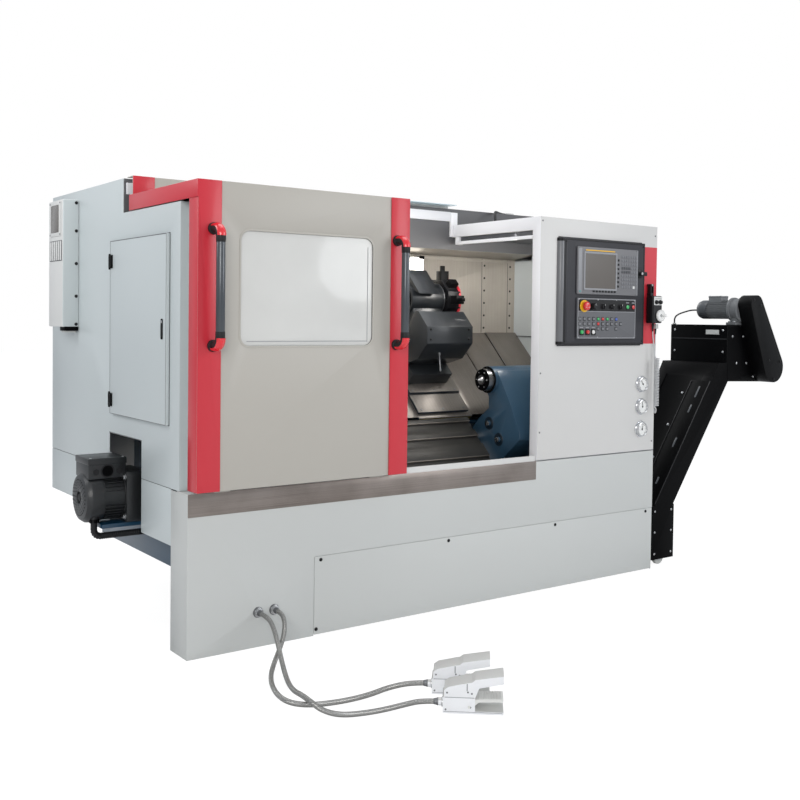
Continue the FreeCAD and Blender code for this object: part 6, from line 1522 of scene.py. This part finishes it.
# ---------------------------------------------------------------- work chamber
@dataclass
class WorkChamber:
    """What the open door shows: walls, lamp, way covers, carriage, turret and tailstock."""

    left: float = 700.0
    right: float = 2200.0
    rear: float = 780.0
    seams: tuple[float, ...] = (1030.0, 1370.0, 1973.0, 2150.0)
    lamp: tuple[float, float, float, float] = (1446.0, 1568.0, 1409.0, 1495.0)
    saddle: tuple[float, float] = (1290.0, 1600.0)
    turret: tuple[float, float] = (600.0, 1283.0)
    disc: tuple[float, float] = (1536.0, 1610.0)
    spindle: tuple[float, float] = (300.0, 917.0)
    tail: tuple[float, float] = (1620.0, 1960.0)

    def build(self) -> None:
        """Build and dress the chamber's pieces."""
        self.walls()
        self.work_lamp()
        self.bed()
        self.covers()
        self.carriage()
        self.tool_head()
        self.turret_disc()
        self.tailstock()
        self.quill()

    def walls(self) -> None:
        """Dress the lining, with its seams, bolts and stepped trays."""
        y = self.rear
        piece = skin("chamber_lining", LINING_STEEL, "lining", 0.7,
                     # the right wall takes the side panels' painted-shade copy of the white paint
                     (SIDE_SHEET_PAINTED_SHADE, inside(2190, 40, 560, 2210, 790, 1600)),
                     (TRAY_STEEL, inside(690, 40, 200, 1640, 620, 1060)))
        for x in self.seams:
            piece.add(KEY_DARK, box(x - 1.3, y - 1.2, 1108, x + 1.3, y + 0.5, 1504, 0.3, 1))
            piece.add(LINING_STEEL, box(x + 4, y - 2.6, 1108, x + 26, y + 0.2, 1504, 0.8, 1))
            piece.add(SCREW_BLACK, *(screw((x + 15, y - 2.6, 1150 + 64 * i), Y, -1, 5.5, 3.0) for i in range(6)))
        for z in (1119, 1494):
            piece.add(LINING_STEEL, box(self.left + 2, y - 2, z - 5, self.right - 2, y + 0.2, z + 5, 0.6, 1))
        piece.add(KEY_DARK, box(self.right - 8, 200, 1106, self.right + 0.4, y - 1, 1109, 0.6, 1)).done()
        tray = Piece("tray_edges", "lining")
        tray.add(COVER_STEEL, *(slope(self.left + 5, along, 102.4, 848, 4, 7.4) for along in (57, 173, 259))).done()

    def work_lamp(self) -> None:
        """Make the work lamp: a housing, its lit face and the arm that holds it."""
        x0, x1, z0, z1 = self.lamp
        y = self.rear
        piece = Piece("lamp_unit", "lamp", "work_lamp")
        piece.add(LIGHT_PLASTIC, box(x0, y - 39, z0, x1, y - 8, z1, 3.0, 3))
        piece.add(STEEL, rim(x0 + 2, x1 - 2, z0 + 2, z1 - 2, y - 40.5, y - 38, 5.0, 5.0, 0.6))
        piece.add(LAMP_FACE, plate(oblong(x0 + 7, z0 + 7, x1 - 7, z1 - 7, 3.0, y - 39.6), (0, 1.5, 0), 0.0))
        piece.add(BLACK_PAINT, box(x1 - 30, y - 52, z1 - 12, x1 - 6, y - 8, z1 + 3, 2.0))
        piece.add(DULL_STEEL, box(x0 + 34, y - 9, z0 + 20, x0 + 84, y, z0 + 62)).done()

    def bed(self) -> None:
        """Dress the bed, its ways and its feet."""
        ways = slanted(690, 0, 400, 2200, 1000, 1300)
        skin("bed_casting", CAST_NAVY, "castings", 3.0, (STEEL, ways)).done(0.9)
        skin("levelling_feet", DULL_STEEL, "feet", 1.5).done()

    def covers(self) -> None:
        """Make the telescoping covers on both sides of the carriage, fixed at their present length."""
        gap = 0.3
        for side, first, last, sign in (("left", self.left, self.saddle[0], 1),
                                        ("right", self.right, self.saddle[1], -1)):
            piece = Piece("cover_" + side, "way_covers", "way_cover_" + side)
            start = first + gap * sign
            step = (last - gap * sign - start) / 3
            for i in range(3):
                a, b = start + step * i, start + step * (i + 1) + (9 * sign if i < 2 else 0)
                low, high = min(a, b), max(a, b)
                part = slope(low, 310, 97 - 3 * i, high - low, 525, 3, 0.6)
                place = low + 40
                while place < high - 5:
                    bmesh.ops.bisect_plane(part, geom=part.verts[:] + part.edges[:] + part.faces[:], dist=1e-6,
                                           plane_co=at(place, 0, 0), plane_no=(1, 0, 0))
                    place += 40
                piece.add(COVER_STEEL, part)
                if i < 2:
                    lip = min(b, b - 6 * sign)
                    piece.add(DULL_STEEL, slope(lip, 310, 91 - 3 * i, 6, 525, 9))
                    piece.add(RUBBER, slope(lip - 1 if sign > 0 else lip, 310, 96.4 - 3 * i, 7, 525, 2.4, 0.4))
            obj = piece.done(ride=False)
            tuple(at(first, 0, 0))
            tuple(at(last, 0, 0))
            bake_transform(obj)

    def carriage(self) -> None:
        """Dress the carriage: two folded aprons of steel sheet, wipers and screws."""
        aprons = slanted(1280, 100, 560, 1610, 1100, 1400)
        piece = skin("carriage", CAST_DARK, "tool_carriage", 1.2, (COVER_STEEL, aprons))
        x0, x1 = self.saddle
        wide = x1 - x0 - 22
        piece.add(COVER_STEEL, slope(x0 + 1, 431, 122.9, wide, 92, 0.8, 0.2))
        piece.add(STEEL, slope(x0 + 1, 519, 122.3, wide, 6, 2.0, 0.6))
        for along, off in ((441, 122.2), (515, 122.2), (336, 113.2)):
            piece.add(DULL_STEEL, *(rod((x, *slant(along, off)), (x, *slant(along, off + 2.2)), 5.5, 0.5, 16, 4.6)
                                    for x in (x0 + 22, x0 + 145, x1 - 44)))
        piece.add(RUBBER, slope(x0 + 1, 424, 112.6, wide, 5, 2.2, 0.4))
        piece.add(BRASS, slope(x0 + 2, 299.4, 26, x1 - x0 - 4, 3, 66, 1.0)).done()

    def tool_head(self) -> None:
        """Dress the cross slide with its tool head's nose, case, bracket and coolant pipe."""
        y, z = self.turret
        piece = skin("cross_slide", HEAD_DARK, "castings", 3.0)
        piece.add(SCREW_BLACK, *(screw((x, 330.4, z), Y, -1, 6.0, 3.2) for x in (1300, 1518) for z in (1102, 1146)))
        nose = [(1462, 405, 1226), (1462, 360, 1190), (1462, 350, 1160), (1462, 372, 1150), (1462, 430, 1200)]
        piece.add(HEAD_DARK, plate(nose, (74, 0, 0), 5.0, 3))
        piece.add(DULL_STEEL, rod((1380, 372, 1036), (1372, 352, 968), 4.0, 0.8, 20),
                  rod((1372, 352, 968), (1371, 349, 958), 5.4, 0.6, 20, 4.0),
                  rod((1381, 374, 1040), (1380, 372, 1028), 8.4, 0.8, 6))
        piece.add(BLACK_PAINT, lathe((1340, y, z), X, (0.2, 0, 0.2, 66, -3, 64, -3, 40, -6, 38, -6, 0)))
        piece.add(SCREW_BLACK, *(screw((1337, y + a, z + b), X, -1, 5.0, 4.0) for a, b in ring(8, 54, 22.5)))
        piece.add(DULL_STEEL, lathe((1524, y, z), X, (0, 77, 0, 79.6, 5, 79.6, 5, 77), 56)).done(0.7)

    def turret_disc(self) -> None:
        """Dress the turret disc with its red rim, holders, screws and tools."""
        y, z = self.turret
        x0, x1 = self.disc
        axis = at(0, y, z)
        piece = skin("turret_disc", DISC_BLACK, "tool_carriage", 1.4,
                     (GUARD_BLACK, lambda middle, normal: math.hypot(middle.y - axis.y, middle.z - axis.z) > 0.101))
        piece.add(DOOR_RED, lathe((x1 - 11, y, z), X, (1, 84, 1, 101.8, 12.6, 101.8, 12.6, 84), 12))
        piece.add(DULL_STEEL, lathe((x0, y, z), X, (0.2, 52, -2.4, 50, -2.4, 46, 0.2, 45), 56),
                  lathe((x1, y, z), X, (0, 0, 0, 46, 5, 42, 5, 18, 9, 15, 9, 0)))
        for reach, first, radius, high in ((74, 22.5, 6.0, 4.4), (60, 0, 4.2, 2.4), (82, 0, 4.2, 2.4)):
            piece.add(SCREW_BLACK, *(screw((x0, y + a, z + b), X, -1, radius, high) for a, b in ring(8, reach, first)))
        piece.done()

    def tailstock(self) -> None:
        """Dress the tailstock with its collar, bolts, painted shade round the bolts and rear cap."""
        piece = skin("tailstock", CAST_BLUE, "castings", 3.5)
        y, z = self.spindle
        x0, x1 = self.tail
        piece.add(BLACK_PAINT, lathe((x0 - 14, y, z), X, (-1.6, 51, -1.6, 60, 0.4, 61.6, 3, 61.6, 3, 51), 56))
        piece.add(SCREW_BLACK, *(screw((x0 - 14, y + a, z + b), X, -1, 4.2, 3.6) for a, b in ring(6, 56, 30)))
        for low, high in ((300, 716), (232, 648)):
            piece.add(STEEL, nut((x0 - 8, low, high), (-1, 0, 0), 22, 6))
            # painted shade: a flat dark disc round each bolt stands in for the shaded pocket it sits in
            piece.add(CAST_DARK, lathe((x0, low, high), X, (0.3, 0, 0.3, 30, -1.0, 29, -1.0, 0), 32))
        piece.add(BLACK_PAINT, lathe((x1, y, z), X, (-0.4, 0, -0.4, 50, 1.4, 48, 1.4, 0))).done(0.7)

    def quill(self) -> None:
        """Dress the quill and make the live centre."""
        y, z = self.spindle
        dark = inside(1560, y - 70, z - 70, 1580, y + 70, z + 70)
        piece = skin("quill", STEEL, "steel", 0.8, (BLACK_PAINT, lambda m, n: dark(m, n) or m.x < at(1583, 0, 0).x))
        piece.add(STEEL, *(screw((1571.6, y + a, z + b), X, -1, 3.6, 2.6) for a, b in ring(6, 37))).done()
        centre = Piece("centre_point", "steel", "live_centre")
        centre.add(STEEL, lathe((1548, y, z), X, (0, 0, 0.6, 1.0, 16, 12, 21, 21.6, 47, 21.6, 47, 0)))
        centre.add(DULL_STEEL, lathe((1566, y, z), X, (0, 19, 0, 21.9, 3, 21.9, 3, 19))).done()


# ---------------------------------------------------------------- spindle drive
@dataclass
class SpindleDrive:
    """The headstock with its spindle and chuck, and the main motor with its belt."""

    spindle: tuple[float, float] = (300.0, 917.0)
    chuck_front: float = 804.0
    motor: tuple[float, float] = (585.0, 497.0)
    cowl: tuple[float, float] = (-181.0, -115.0)
    cowl_round: float = 97.0
    frame_round: float = 88.0
    frame_right: float = -20.0
    flange: tuple[float, float] = (-28.0, 58.0)

    def build(self) -> None:
        """Build and dress the drive's pieces."""
        self.headstock()
        self.chuck()
        self.jaws()
        self.main_motor()
        skin("motor_conduit", BLACK_FINE, "conduit", 0.0).done(0.9)
        skin("motor_pulley", DULL_STEEL, "steel").done()
        skin("drive_belt", RUBBER, "rubber", 0.6).done()

    def headstock(self) -> None:
        """Dress the headstock and the spindle."""
        y, z = self.spindle
        piece = skin("headstock", CAST_NAVY, "castings", 3.5)
        piece.add(DULL_STEEL, lathe((690, y, z), X, (5.4, 64, 5.4, 93, 7, 92, 7, 64), 56))
        piece.add(SCREW_BLACK, *(screw((697, y + a, z + b), X, 1, 5.0, 2.6) for a, b in ring(8, 83, 22.5))).done(0.7)
        skin("spindle", Turned("spindle_steel", "b5b6b8", tuple(at(0, y, z))), "steel").done()

    def chuck(self) -> None:
        """Dress the chuck with its rings and screws."""
        y, z = self.spindle
        x = self.chuck_front
        piece = skin("chuck", Turned("chuck_steel", "a9abae", tuple(at(0, y, z)), 0.28), "steel")
        piece.add(DULL_STEEL, lathe((x, y, z), X, (0.2, 28.2, 0.2, 29.4, -1.0, 29.8, -1.0, 28.2)),
                  *(lathe((at_x, y, z), X, (0, 104.4, 0.4, 105.2, 2.6, 105.2, 3, 104.4), 72) for at_x in (744, 786)))
        for lean, reach in ((126, 88), (174, 88), (150, 62)):
            piece.add(SCREW_BLACK, *(screw((x, y + a, z + b), X, 1, 6.5, 2.4) for a, b in ring(3, reach, lean)))
        piece.done()

    def jaws(self) -> None:
        """Make the three stepped jaws."""
        y, z = self.spindle
        for i, letter in enumerate("abc"):
            turn = about((0, y, z), 120 * i)
            jaw = Piece("jaw_steel_" + letter, "steel", "chuck_jaw_" + letter)
            jaw.add(DULL_STEEL, box(773.4, y - 12.6, z + 38, 803.9, y + 12.6, z + 98, 1.0), turn=turn)
            jaw.add(JAW_STEEL, box(803.9, y - 12.6, z + 38.2, 825, y + 12.6, z + 92, 1.4),
                    box(803.9, y - 12.6, z + 38.2, 846, y + 12.6, z + 60, 1.4), turn=turn)
            jaw.add(DULL_STEEL, *(box(x, y - 12.3, z + 37.7, x + 2, y + 12.3, z + 38.6, 0.3, 1)
                                  for x in range(808, 844, 4)), turn=turn)
            jaw.add(SCREW_BLACK, *(screw((825, y, z + out), X, 1, 6.4, 3.0) for out in (68, 83)), turn=turn).done()

    def main_motor(self) -> None:
        """Make the motor: cowl with its vents, ribbed frame, flange, terminal box and gland."""
        y, z = self.motor
        x0, x1 = self.cowl
        f0, f1 = self.flange
        r, right = self.cowl_round, self.frame_right
        piece = Piece("motor_body", "motor_black", "main_motor")
        bell = (x0 + 10, 0, x0 + 10, 22, x0 + 1, 24, x0, 30, x0, r - 32, x0 + 5, r - 12, x0 + 20, r - 1, x0 + 26, r,
                x1 + 1, r, x1 + 1, r - 5, x1 + 1, 0)
        piece.add(MOTOR_BLACK, lathe((0, y, z), X, bell, 64))
        for i in range(5):
            piece.add(VENT_DARK, *(rod((x0 - 0.5, y + a, z + b), (x0 + 1.4, y + a, z + b), 2.6, 0.0, 8)
                                   for a, b in ring(8 + 5 * i, 30 + 9.4 * i)))
        piece.add(BLACK_FINE, lathe((x0, y, z), X, (8, 0, 8, 15, 3, 14, 2, 12, 2, 0), 32))
        for degrees in range(0, 360, 10):
            if not 74 < degrees < 106:
                high = z + self.frame_round + 3.5
                piece.add(MOTOR_BLACK, box(x1 + 6, y - 1.4, z + 80, right - 6, y + 1.4, high, 0.6, 1),
                          turn=about((0, y, z), degrees))
        piece.add(MOTOR_BLACK, lathe((0, y, z), X, (x1, 0, x1, 84, right, 84, right, 0), 64),
                  *(lathe((x, y, z), X, (0, 80, 0, 92, 1.4, 93, 7, 93, 7, 80), 64) for x in (x1 + 2, right - 9)),
                  plate(oblong(y - 97, z - 97, y + 97, z + 97, 16.0, f0, 6, X), (f1 - f0, 0, 0), 2.0))
        piece.add(DULL_STEEL, lathe((f1, y, z), X, (-1, 19.4, -1, 50, 4, 50, 5, 49, 5, 19.4)))
        for a in (y - 76, y + 76):
            for b in (z - 76, z + 76):
                piece.add(STEEL, nut((f0, a, b), (-1, 0, 0), 20, 9))
                piece.add(DULL_STEEL, lathe((f0, a, b), X, (0, 0, 0, 13.5, -2, 13, -2, 0), 28))
        self.terminal(piece, z + self.frame_round - 14)
        piece.add(MOTOR_BLACK, box(f1 - 50, y - 90, z - 97, f1 - 1, y + 90, z - 89))
        piece.add(BLACK_FINE, lathe((-141, y - 55, z - 92), Z, (0, 0, 0, 15.4, 2, 17, 24, 17, 30, 15, 30, 0), 32))
        piece.add(BLACK_PAINT, rod((-141, y - 55, z - 90), (-141, y - 55, z - 76), 19.5, sides=6)).done(0.5)

    def terminal(self, piece: Piece, low: float) -> None:
        """Add the terminal box with its lid, round boss and screws.

        Args:
            piece: the motor.
            low: the box's lower edge.
        """
        y = self.motor[0]
        piece.add(MOTOR_BLACK, box(-168, y - 73, low, -22, y + 73, low + 58, 5.0, 3),
                  box(-170, y - 75, low + 55, -20, y + 75, low + 80, 4.0, 3))
        piece.add(BLACK_FINE, lathe((-95, y - 74.6, low + 30), Y, (0.4, 19, -0.4, 23, -0.4, 26, 0.4, 27), 40))
        piece.add(BLACK_PAINT, lathe((-95, y - 73, low + 30), Y, (0, 0, 0, 22, -1.6, 21, -1.6, 0), 40))
        piece.add(STEEL, *(screw((x, a, low + 80), Z, 1, 5.0, 2.0) for x in (-158, -32) for a in (y - 63, y + 63)))
        piece.add(BLACK_FINE, *(lathe((x, y - 73, low + 28), Y, (0, 0, 0, 13, -1.5, 13, -1.5, 0), 6)
                                for x in (-140, -50)))


# ---------------------------------------------------------------- chip conveyor
@dataclass
class ChipConveyor:
    """The black chip conveyor: box, leaning trunk, head, guard, gearmotor and wheels."""

    front: float = 15.0
    wide: float = 360.0
    foot: tuple[float, float] = (2449.0, 286.0)
    head: tuple[float, float] = (2874.0, 905.0)
    hood: tuple[float, float, float] = (2978.0, 882.0, 1180.0)
    motor_shaft: tuple[float, float, float] = (3113.0, 1285.0, 50.0)
    belt_shaft: tuple[float, float, float] = (3270.0, 962.0, 80.0)
    gear: tuple[float, float] = (3113.0, 1261.0)
    caster_round: float = 32.5
    caster_at: float = 2513.0
    flange: float = 118.0
    lift: float = 3.0

    def build(self) -> None:
        """Build and dress the conveyor's pieces."""
        self.frame()
        self.guard()
        self.gearmotor()
        self.cable()
        self.wheels()
        skin("head_shaft", DULL_STEEL, "steel").done()

    def frame(self) -> None:
        """Dress the conveyor's frame with its folded lips, seams, slots and bolts."""
        piece = skin("conveyor_frame", BLACK_PAINT, "enclosure", 1.8, (DULL_STEEL, inside(760, 40, 90, 2380, 400, 125)))
        self.trunk(piece)
        front, rear = self.front, self.front + self.wide
        x0, z0, z1 = self.hood
        for x, z in ((3023, 1122), (3112, 1122), (3060, 983), (3144, 982), (3205, 911), (3316, 1040)):
            piece.add(STEEL, screw((x, front, z), Y, -1, 6.5, 3.6))
        piece.add(STEEL, *(screw((x0, y, z), X, -1, 6.0, 3.2)
                           for y in (front + 26, rear - 26) for z in (1152, 1040, 930)))
        piece.add(BLACK_FINE, box(x0 - 1.0, front + 3, 1104, x0 + 0.4, rear - 3, 1110, 0.5, 1))
        piece.add(BLACK_PAINT, box(x0 + 8, front - 1.4, z0 + 14, x0 + 122, front + 0.4, z1 - 8, 0.7, 1))
        piece.add(GREY_PLASTIC, box(x0 - 1.6, front + 50, 1130, x0 + 0.4, front + 132, 1154, 0.6, 1))
        piece.add(STEEL, *(screw((2425, y, z), X, -1, 5.5, 3.0) for y in (front + 24, rear - 24) for z in (250, 90)),
                  *(screw((x, front, z), Y, -1, 5.5, 3.0) for x in (2445, 2565) for z in (62, 168, 270))).done(0.5)

    def trunk(self, piece: Piece) -> None:
        """Add the raised flange of the trunk with its lips, bolts and slots.

        Args:
            piece: the conveyor's frame.
        """
        base = Vector((self.foot[0], self.front, self.foot[1]))
        run = Vector((self.head[0], self.front, self.head[1])) - base
        way = run.normalized()
        out = Vector((-way.z, 0, way.x))

        def across(part: float, y: float, off: float) -> Vector:
            """Give a place on the trunk's upper face, in millimetres."""
            return base + run * part + Vector((0, y, 0)) + out * off

        for a, b, off, finish in ((0.0, 4.0, 15.6, BLACK_FINE), (self.flange - 4.0, self.flange, 15.6, BLACK_FINE),
                                  (0.0, self.flange, 13.4, BLACK_PAINT)):
            corners = [across(t, y, off - self.lift) for t, y in ((0.02, a), (0.02, b), (0.97, b), (0.97, a))]
            piece.add(finish, plate(corners, out * self.lift, 0.9))
        for part in (0.095, 0.351, 0.607, 0.863):
            piece.add(STEEL, rod(across(part, 138, 12.6), across(part, 138, 16.6), 7.5, 0.8, 18, 6.0))
        for part, half in ((0.188, 20), (0.48, 28), (0.746, 24), (0.88, 34)):
            corners = [across(part, 50 + s, 12.8) + way * t for s, _, t in oblong(-5, -half, 5, half, 4.9, 0.0, 5)]
            piece.add(GEAR_DARK, plate(corners, out * 1.6, 0.4))

    def guard(self) -> None:
        """Dress the chain guard, with its lid's edge and bolts."""
        piece = skin("chain_guard", GUARD_BLACK, "enclosure", 2.6)
        (xa, za, ra), (xb, zb, rb) = self.motor_shaft, self.belt_shaft
        y = self.front - 80
        for x, z in ((xa - 26, za + 26), (xa + 30, za - 2), (xb - 44, zb + 36), (xb + 52, zb + 28), (xb, zb - 62)):
            piece.add(SCREW_BLACK, screw((x, y, z), Y, -1, 6.5, 3.4))
        lean = math.atan2(za - zb, xa - xb)
        spread = math.acos((rb - ra) / math.hypot(xa - xb, za - zb))
        outline = []
        for x, z, r, first, last in ((xa, za, ra - 0.6, lean - spread, lean + spread),
                                     (xb, zb, rb - 0.6, lean + spread, lean + 2 * HALF_TURN - spread)):
            angles = [first + (last - first) * i / 24 for i in range(25)]
            outline += [(x + r * math.cos(a), y + 8, z + r * math.sin(a)) for a in angles]
        piece.add(BLACK_FINE, plate(outline, (0, 2.2, 0), 0.5)).done(0.5)

    def gearmotor(self) -> None:
        """Make the gearmotor: gear case, finned motor, cowl, terminal box and foot."""
        x, z = self.gear
        y = self.front
        piece = Piece("gearmotor_body", "gearmotor", "conveyor_gearmotor")
        case = (0.3, 0, 0.3, 60, 3, 64, 12, 64, 14, 58, 50, 56, 54, 63, 66, 63, 66, 0)
        piece.add(GEAR_GREY, lathe((x, y, z), Y, case, 56), lathe((x, y, z), Y, (60, 0, 60, 44, 250, 44, 250, 0)))
        for i in range(28):
            piece.add(GEAR_GREY, box(x - 1.1, y + 72, z + 40, x + 1.1, y + 204, z + 49.6, 0.5, 1),
                      turn=about((x, 0, z), 360 * i / 28, Y))
        piece.add(GEAR_DARK, lathe((x, y, z), Y, (204, 0, 204, 49, 206, 50, 250, 50, 266, 44, 272, 34, 272, 0)))
        for reach, count in ((14, 8), (22, 12), (30, 16)):
            piece.add(VENT_DARK, *(rod((x + a, y + 271.5, z + b), (x + a, y + 272.3, z + b), 2.2, 0.0, 8)
                                   for a, b in ring(count, reach)))
        piece.add(GEAR_GREY, box(x - 30, y + 120, z + 30, x + 30, y + 200, z + 64, 3.0),
                  box(x - 31, y + 119, z + 62, x + 31, y + 201, z + 72, 2.4))
        piece.add(STEEL, *(screw((a, b, z + 71.8), Z, 1, 3.4, 1.8)
                           for a in (x - 24, x + 24) for b in (y + 126, y + 194)))
        piece.add(GEAR_GREY, box(x - 60, y + 6, 1180, x + 60, y + 66, 1194, 2.0),
                  box(x - 34, y + 12, 1192, x + 34, y + 60, z - 34, 3.0))
        piece.add(STEEL, *(nut((a, b, 1194), (0, 0, 1), 15, 7) for a in (x - 49, x + 49) for b in (y + 24, y + 50)),
                  *(screw((x + a, y + 66, z + b), Y, 1, 4.6, 3.4) for a, b in ring(6, 52, 30)))
        piece.add(BLACK_FINE, lathe((x, y + 271, z - 5), Y, (0, 0, 0, 9, 6, 8.6, 16, 5.6, 16, 0), 24)).done(0.5)

    def cable(self) -> None:
        """Make the gearmotor's cable, the only loose body of its node that lies behind the motor."""
        part = of_node("conveyor_gearmotor")
        front = at(0, self.front + 272.2, 0).y - 0.004
        seen: set[bmesh.types.BMVert] = set()
        for start in list(part.verts):
            if start in seen:
                continue
            group, queue = [], [start]
            seen.add(start)
            while queue:
                vert = queue.pop()
                group.append(vert)
                for other in [edge.other_vert(vert) for edge in vert.link_edges]:
                    if other not in seen:
                        seen.add(other)
                        queue.append(other)
            if min(v.co.y for v in group) < front:
                bmesh.ops.delete(part, geom=group, context="VERTS")
        cable = Piece("gear_cable", "rubber").add(RUBBER, part)
        cable.add(GREY_PLASTIC, nut((2993, self.front + 351, 1180), (0, 0, 1), 17, 8)).done(1.2)

    def wheels(self) -> None:
        """Make the two wheels on their axle."""
        piece = Piece("conveyor_wheels", "tyres", "caster_wheels")
        x, r = self.caster_at, self.caster_round
        for y in (42, 336):
            piece.add(TYRE_GREY, lathe((x, y, r), Y, (0, 14, 0, r - 5, 1.5, r - 1.5, 4, r, 18, r, 20.5, r - 1.5,
                                                      22, r - 5, 22, 14)))
            piece.add(STEEL, lathe((x, y, r), Y, (2, 8, 2, 16, -1, 15, -1, 8), 32),
                      lathe((x, y, r), Y, (20, 8, 20, 16, 23, 15, 23, 8), 32))
        piece.add(DULL_STEEL, rod((x, 45, r), (x, 355, r), 7.0, 0.5, 24)).done()


# ---------------------------------------------------------------- foot pedals
@dataclass
class FootPedals:
    """The two guarded foot pedals on the floor."""

    wide: float = 82.0
    body: float = 98.0
    long: float = 184.0
    seam: float = 49.0

    def faces_up(self, middle: Vector, normal: Vector) -> bool:
        """Tell the faces of the guard's top from the others."""
        return normal.z > 0.55

    def build(self) -> None:
        """Dress both pedals: body, guard, seam, screws and the ribbed treadle."""
        for side, corner in PEDALS.items():
            turn = Matrix.Rotation(math.radians(PEDAL_TURN), 4, "Z")
            turn = Matrix.Translation(at(*corner, 0)) @ turn @ Matrix.Translation(-at(0, 0, 0))
            low, high = self.seam - 0.9, self.seam + 0.9
            piece = skin("pedal_" + side, PEDAL_WHITE, "pedals", 2.0, (PEDAL_GREY, self.faces_up))
            piece.add(KEY_GREY, *(box(6, y, low, self.body - 2, y + 0.8, high, 0.2, 1)
                                  for y in (-0.6, self.wide - 0.2)),
                      box(-0.6, 6, low, 0.4, self.wide - 6, high, 0.2, 1), box(72, -0.7, 70, 75, 0.3, 92, 0.3, 1),
                      box(2, -0.7, 5, self.long - 4, 0.3, 6.4, 0.3, 1), turn=turn)
            piece.add(STEEL, *(screw((0, y, 36), X, -1, 3.6, 2.0) for y in (14, self.wide - 14)),
                      lathe((0, self.wide / 2, 20), X, (0.4, 9, 0.4, 15, -3, 15, -4, 14, -4, 9), 32), turn=turn)
            for x, z in ((13, 63), (9, 12), (76, 66), (88, 62), (84, 20)):
                piece.add(DULL_STEEL, screw((x, 0, z), Y, -1, 2.8, 1.2), turn=turn)
            piece.done(0.5)
            skin("treadle_" + side, TREAD_GREY, "pedals", 1.4).done(0.5)


# ---------------------------------------------------------------- the whole machine
def main() -> None:
    """Build every sub-assembly in order."""
    logging.basicConfig(level=logging.INFO, format="%(message)s")
    bpy.context.scene.view_settings.view_transform = "Standard"
    for part in (Studio(), Conduits(), PendantCord(), Housing(), SlidingDoor(), ControlStation(), WorkChamber(),
                 SpindleDrive(), ChipConveyor(), FootPedals()):
        log.info("building %s", type(part).__name__)
        part.build()


if __name__ == "__main__":
    main()
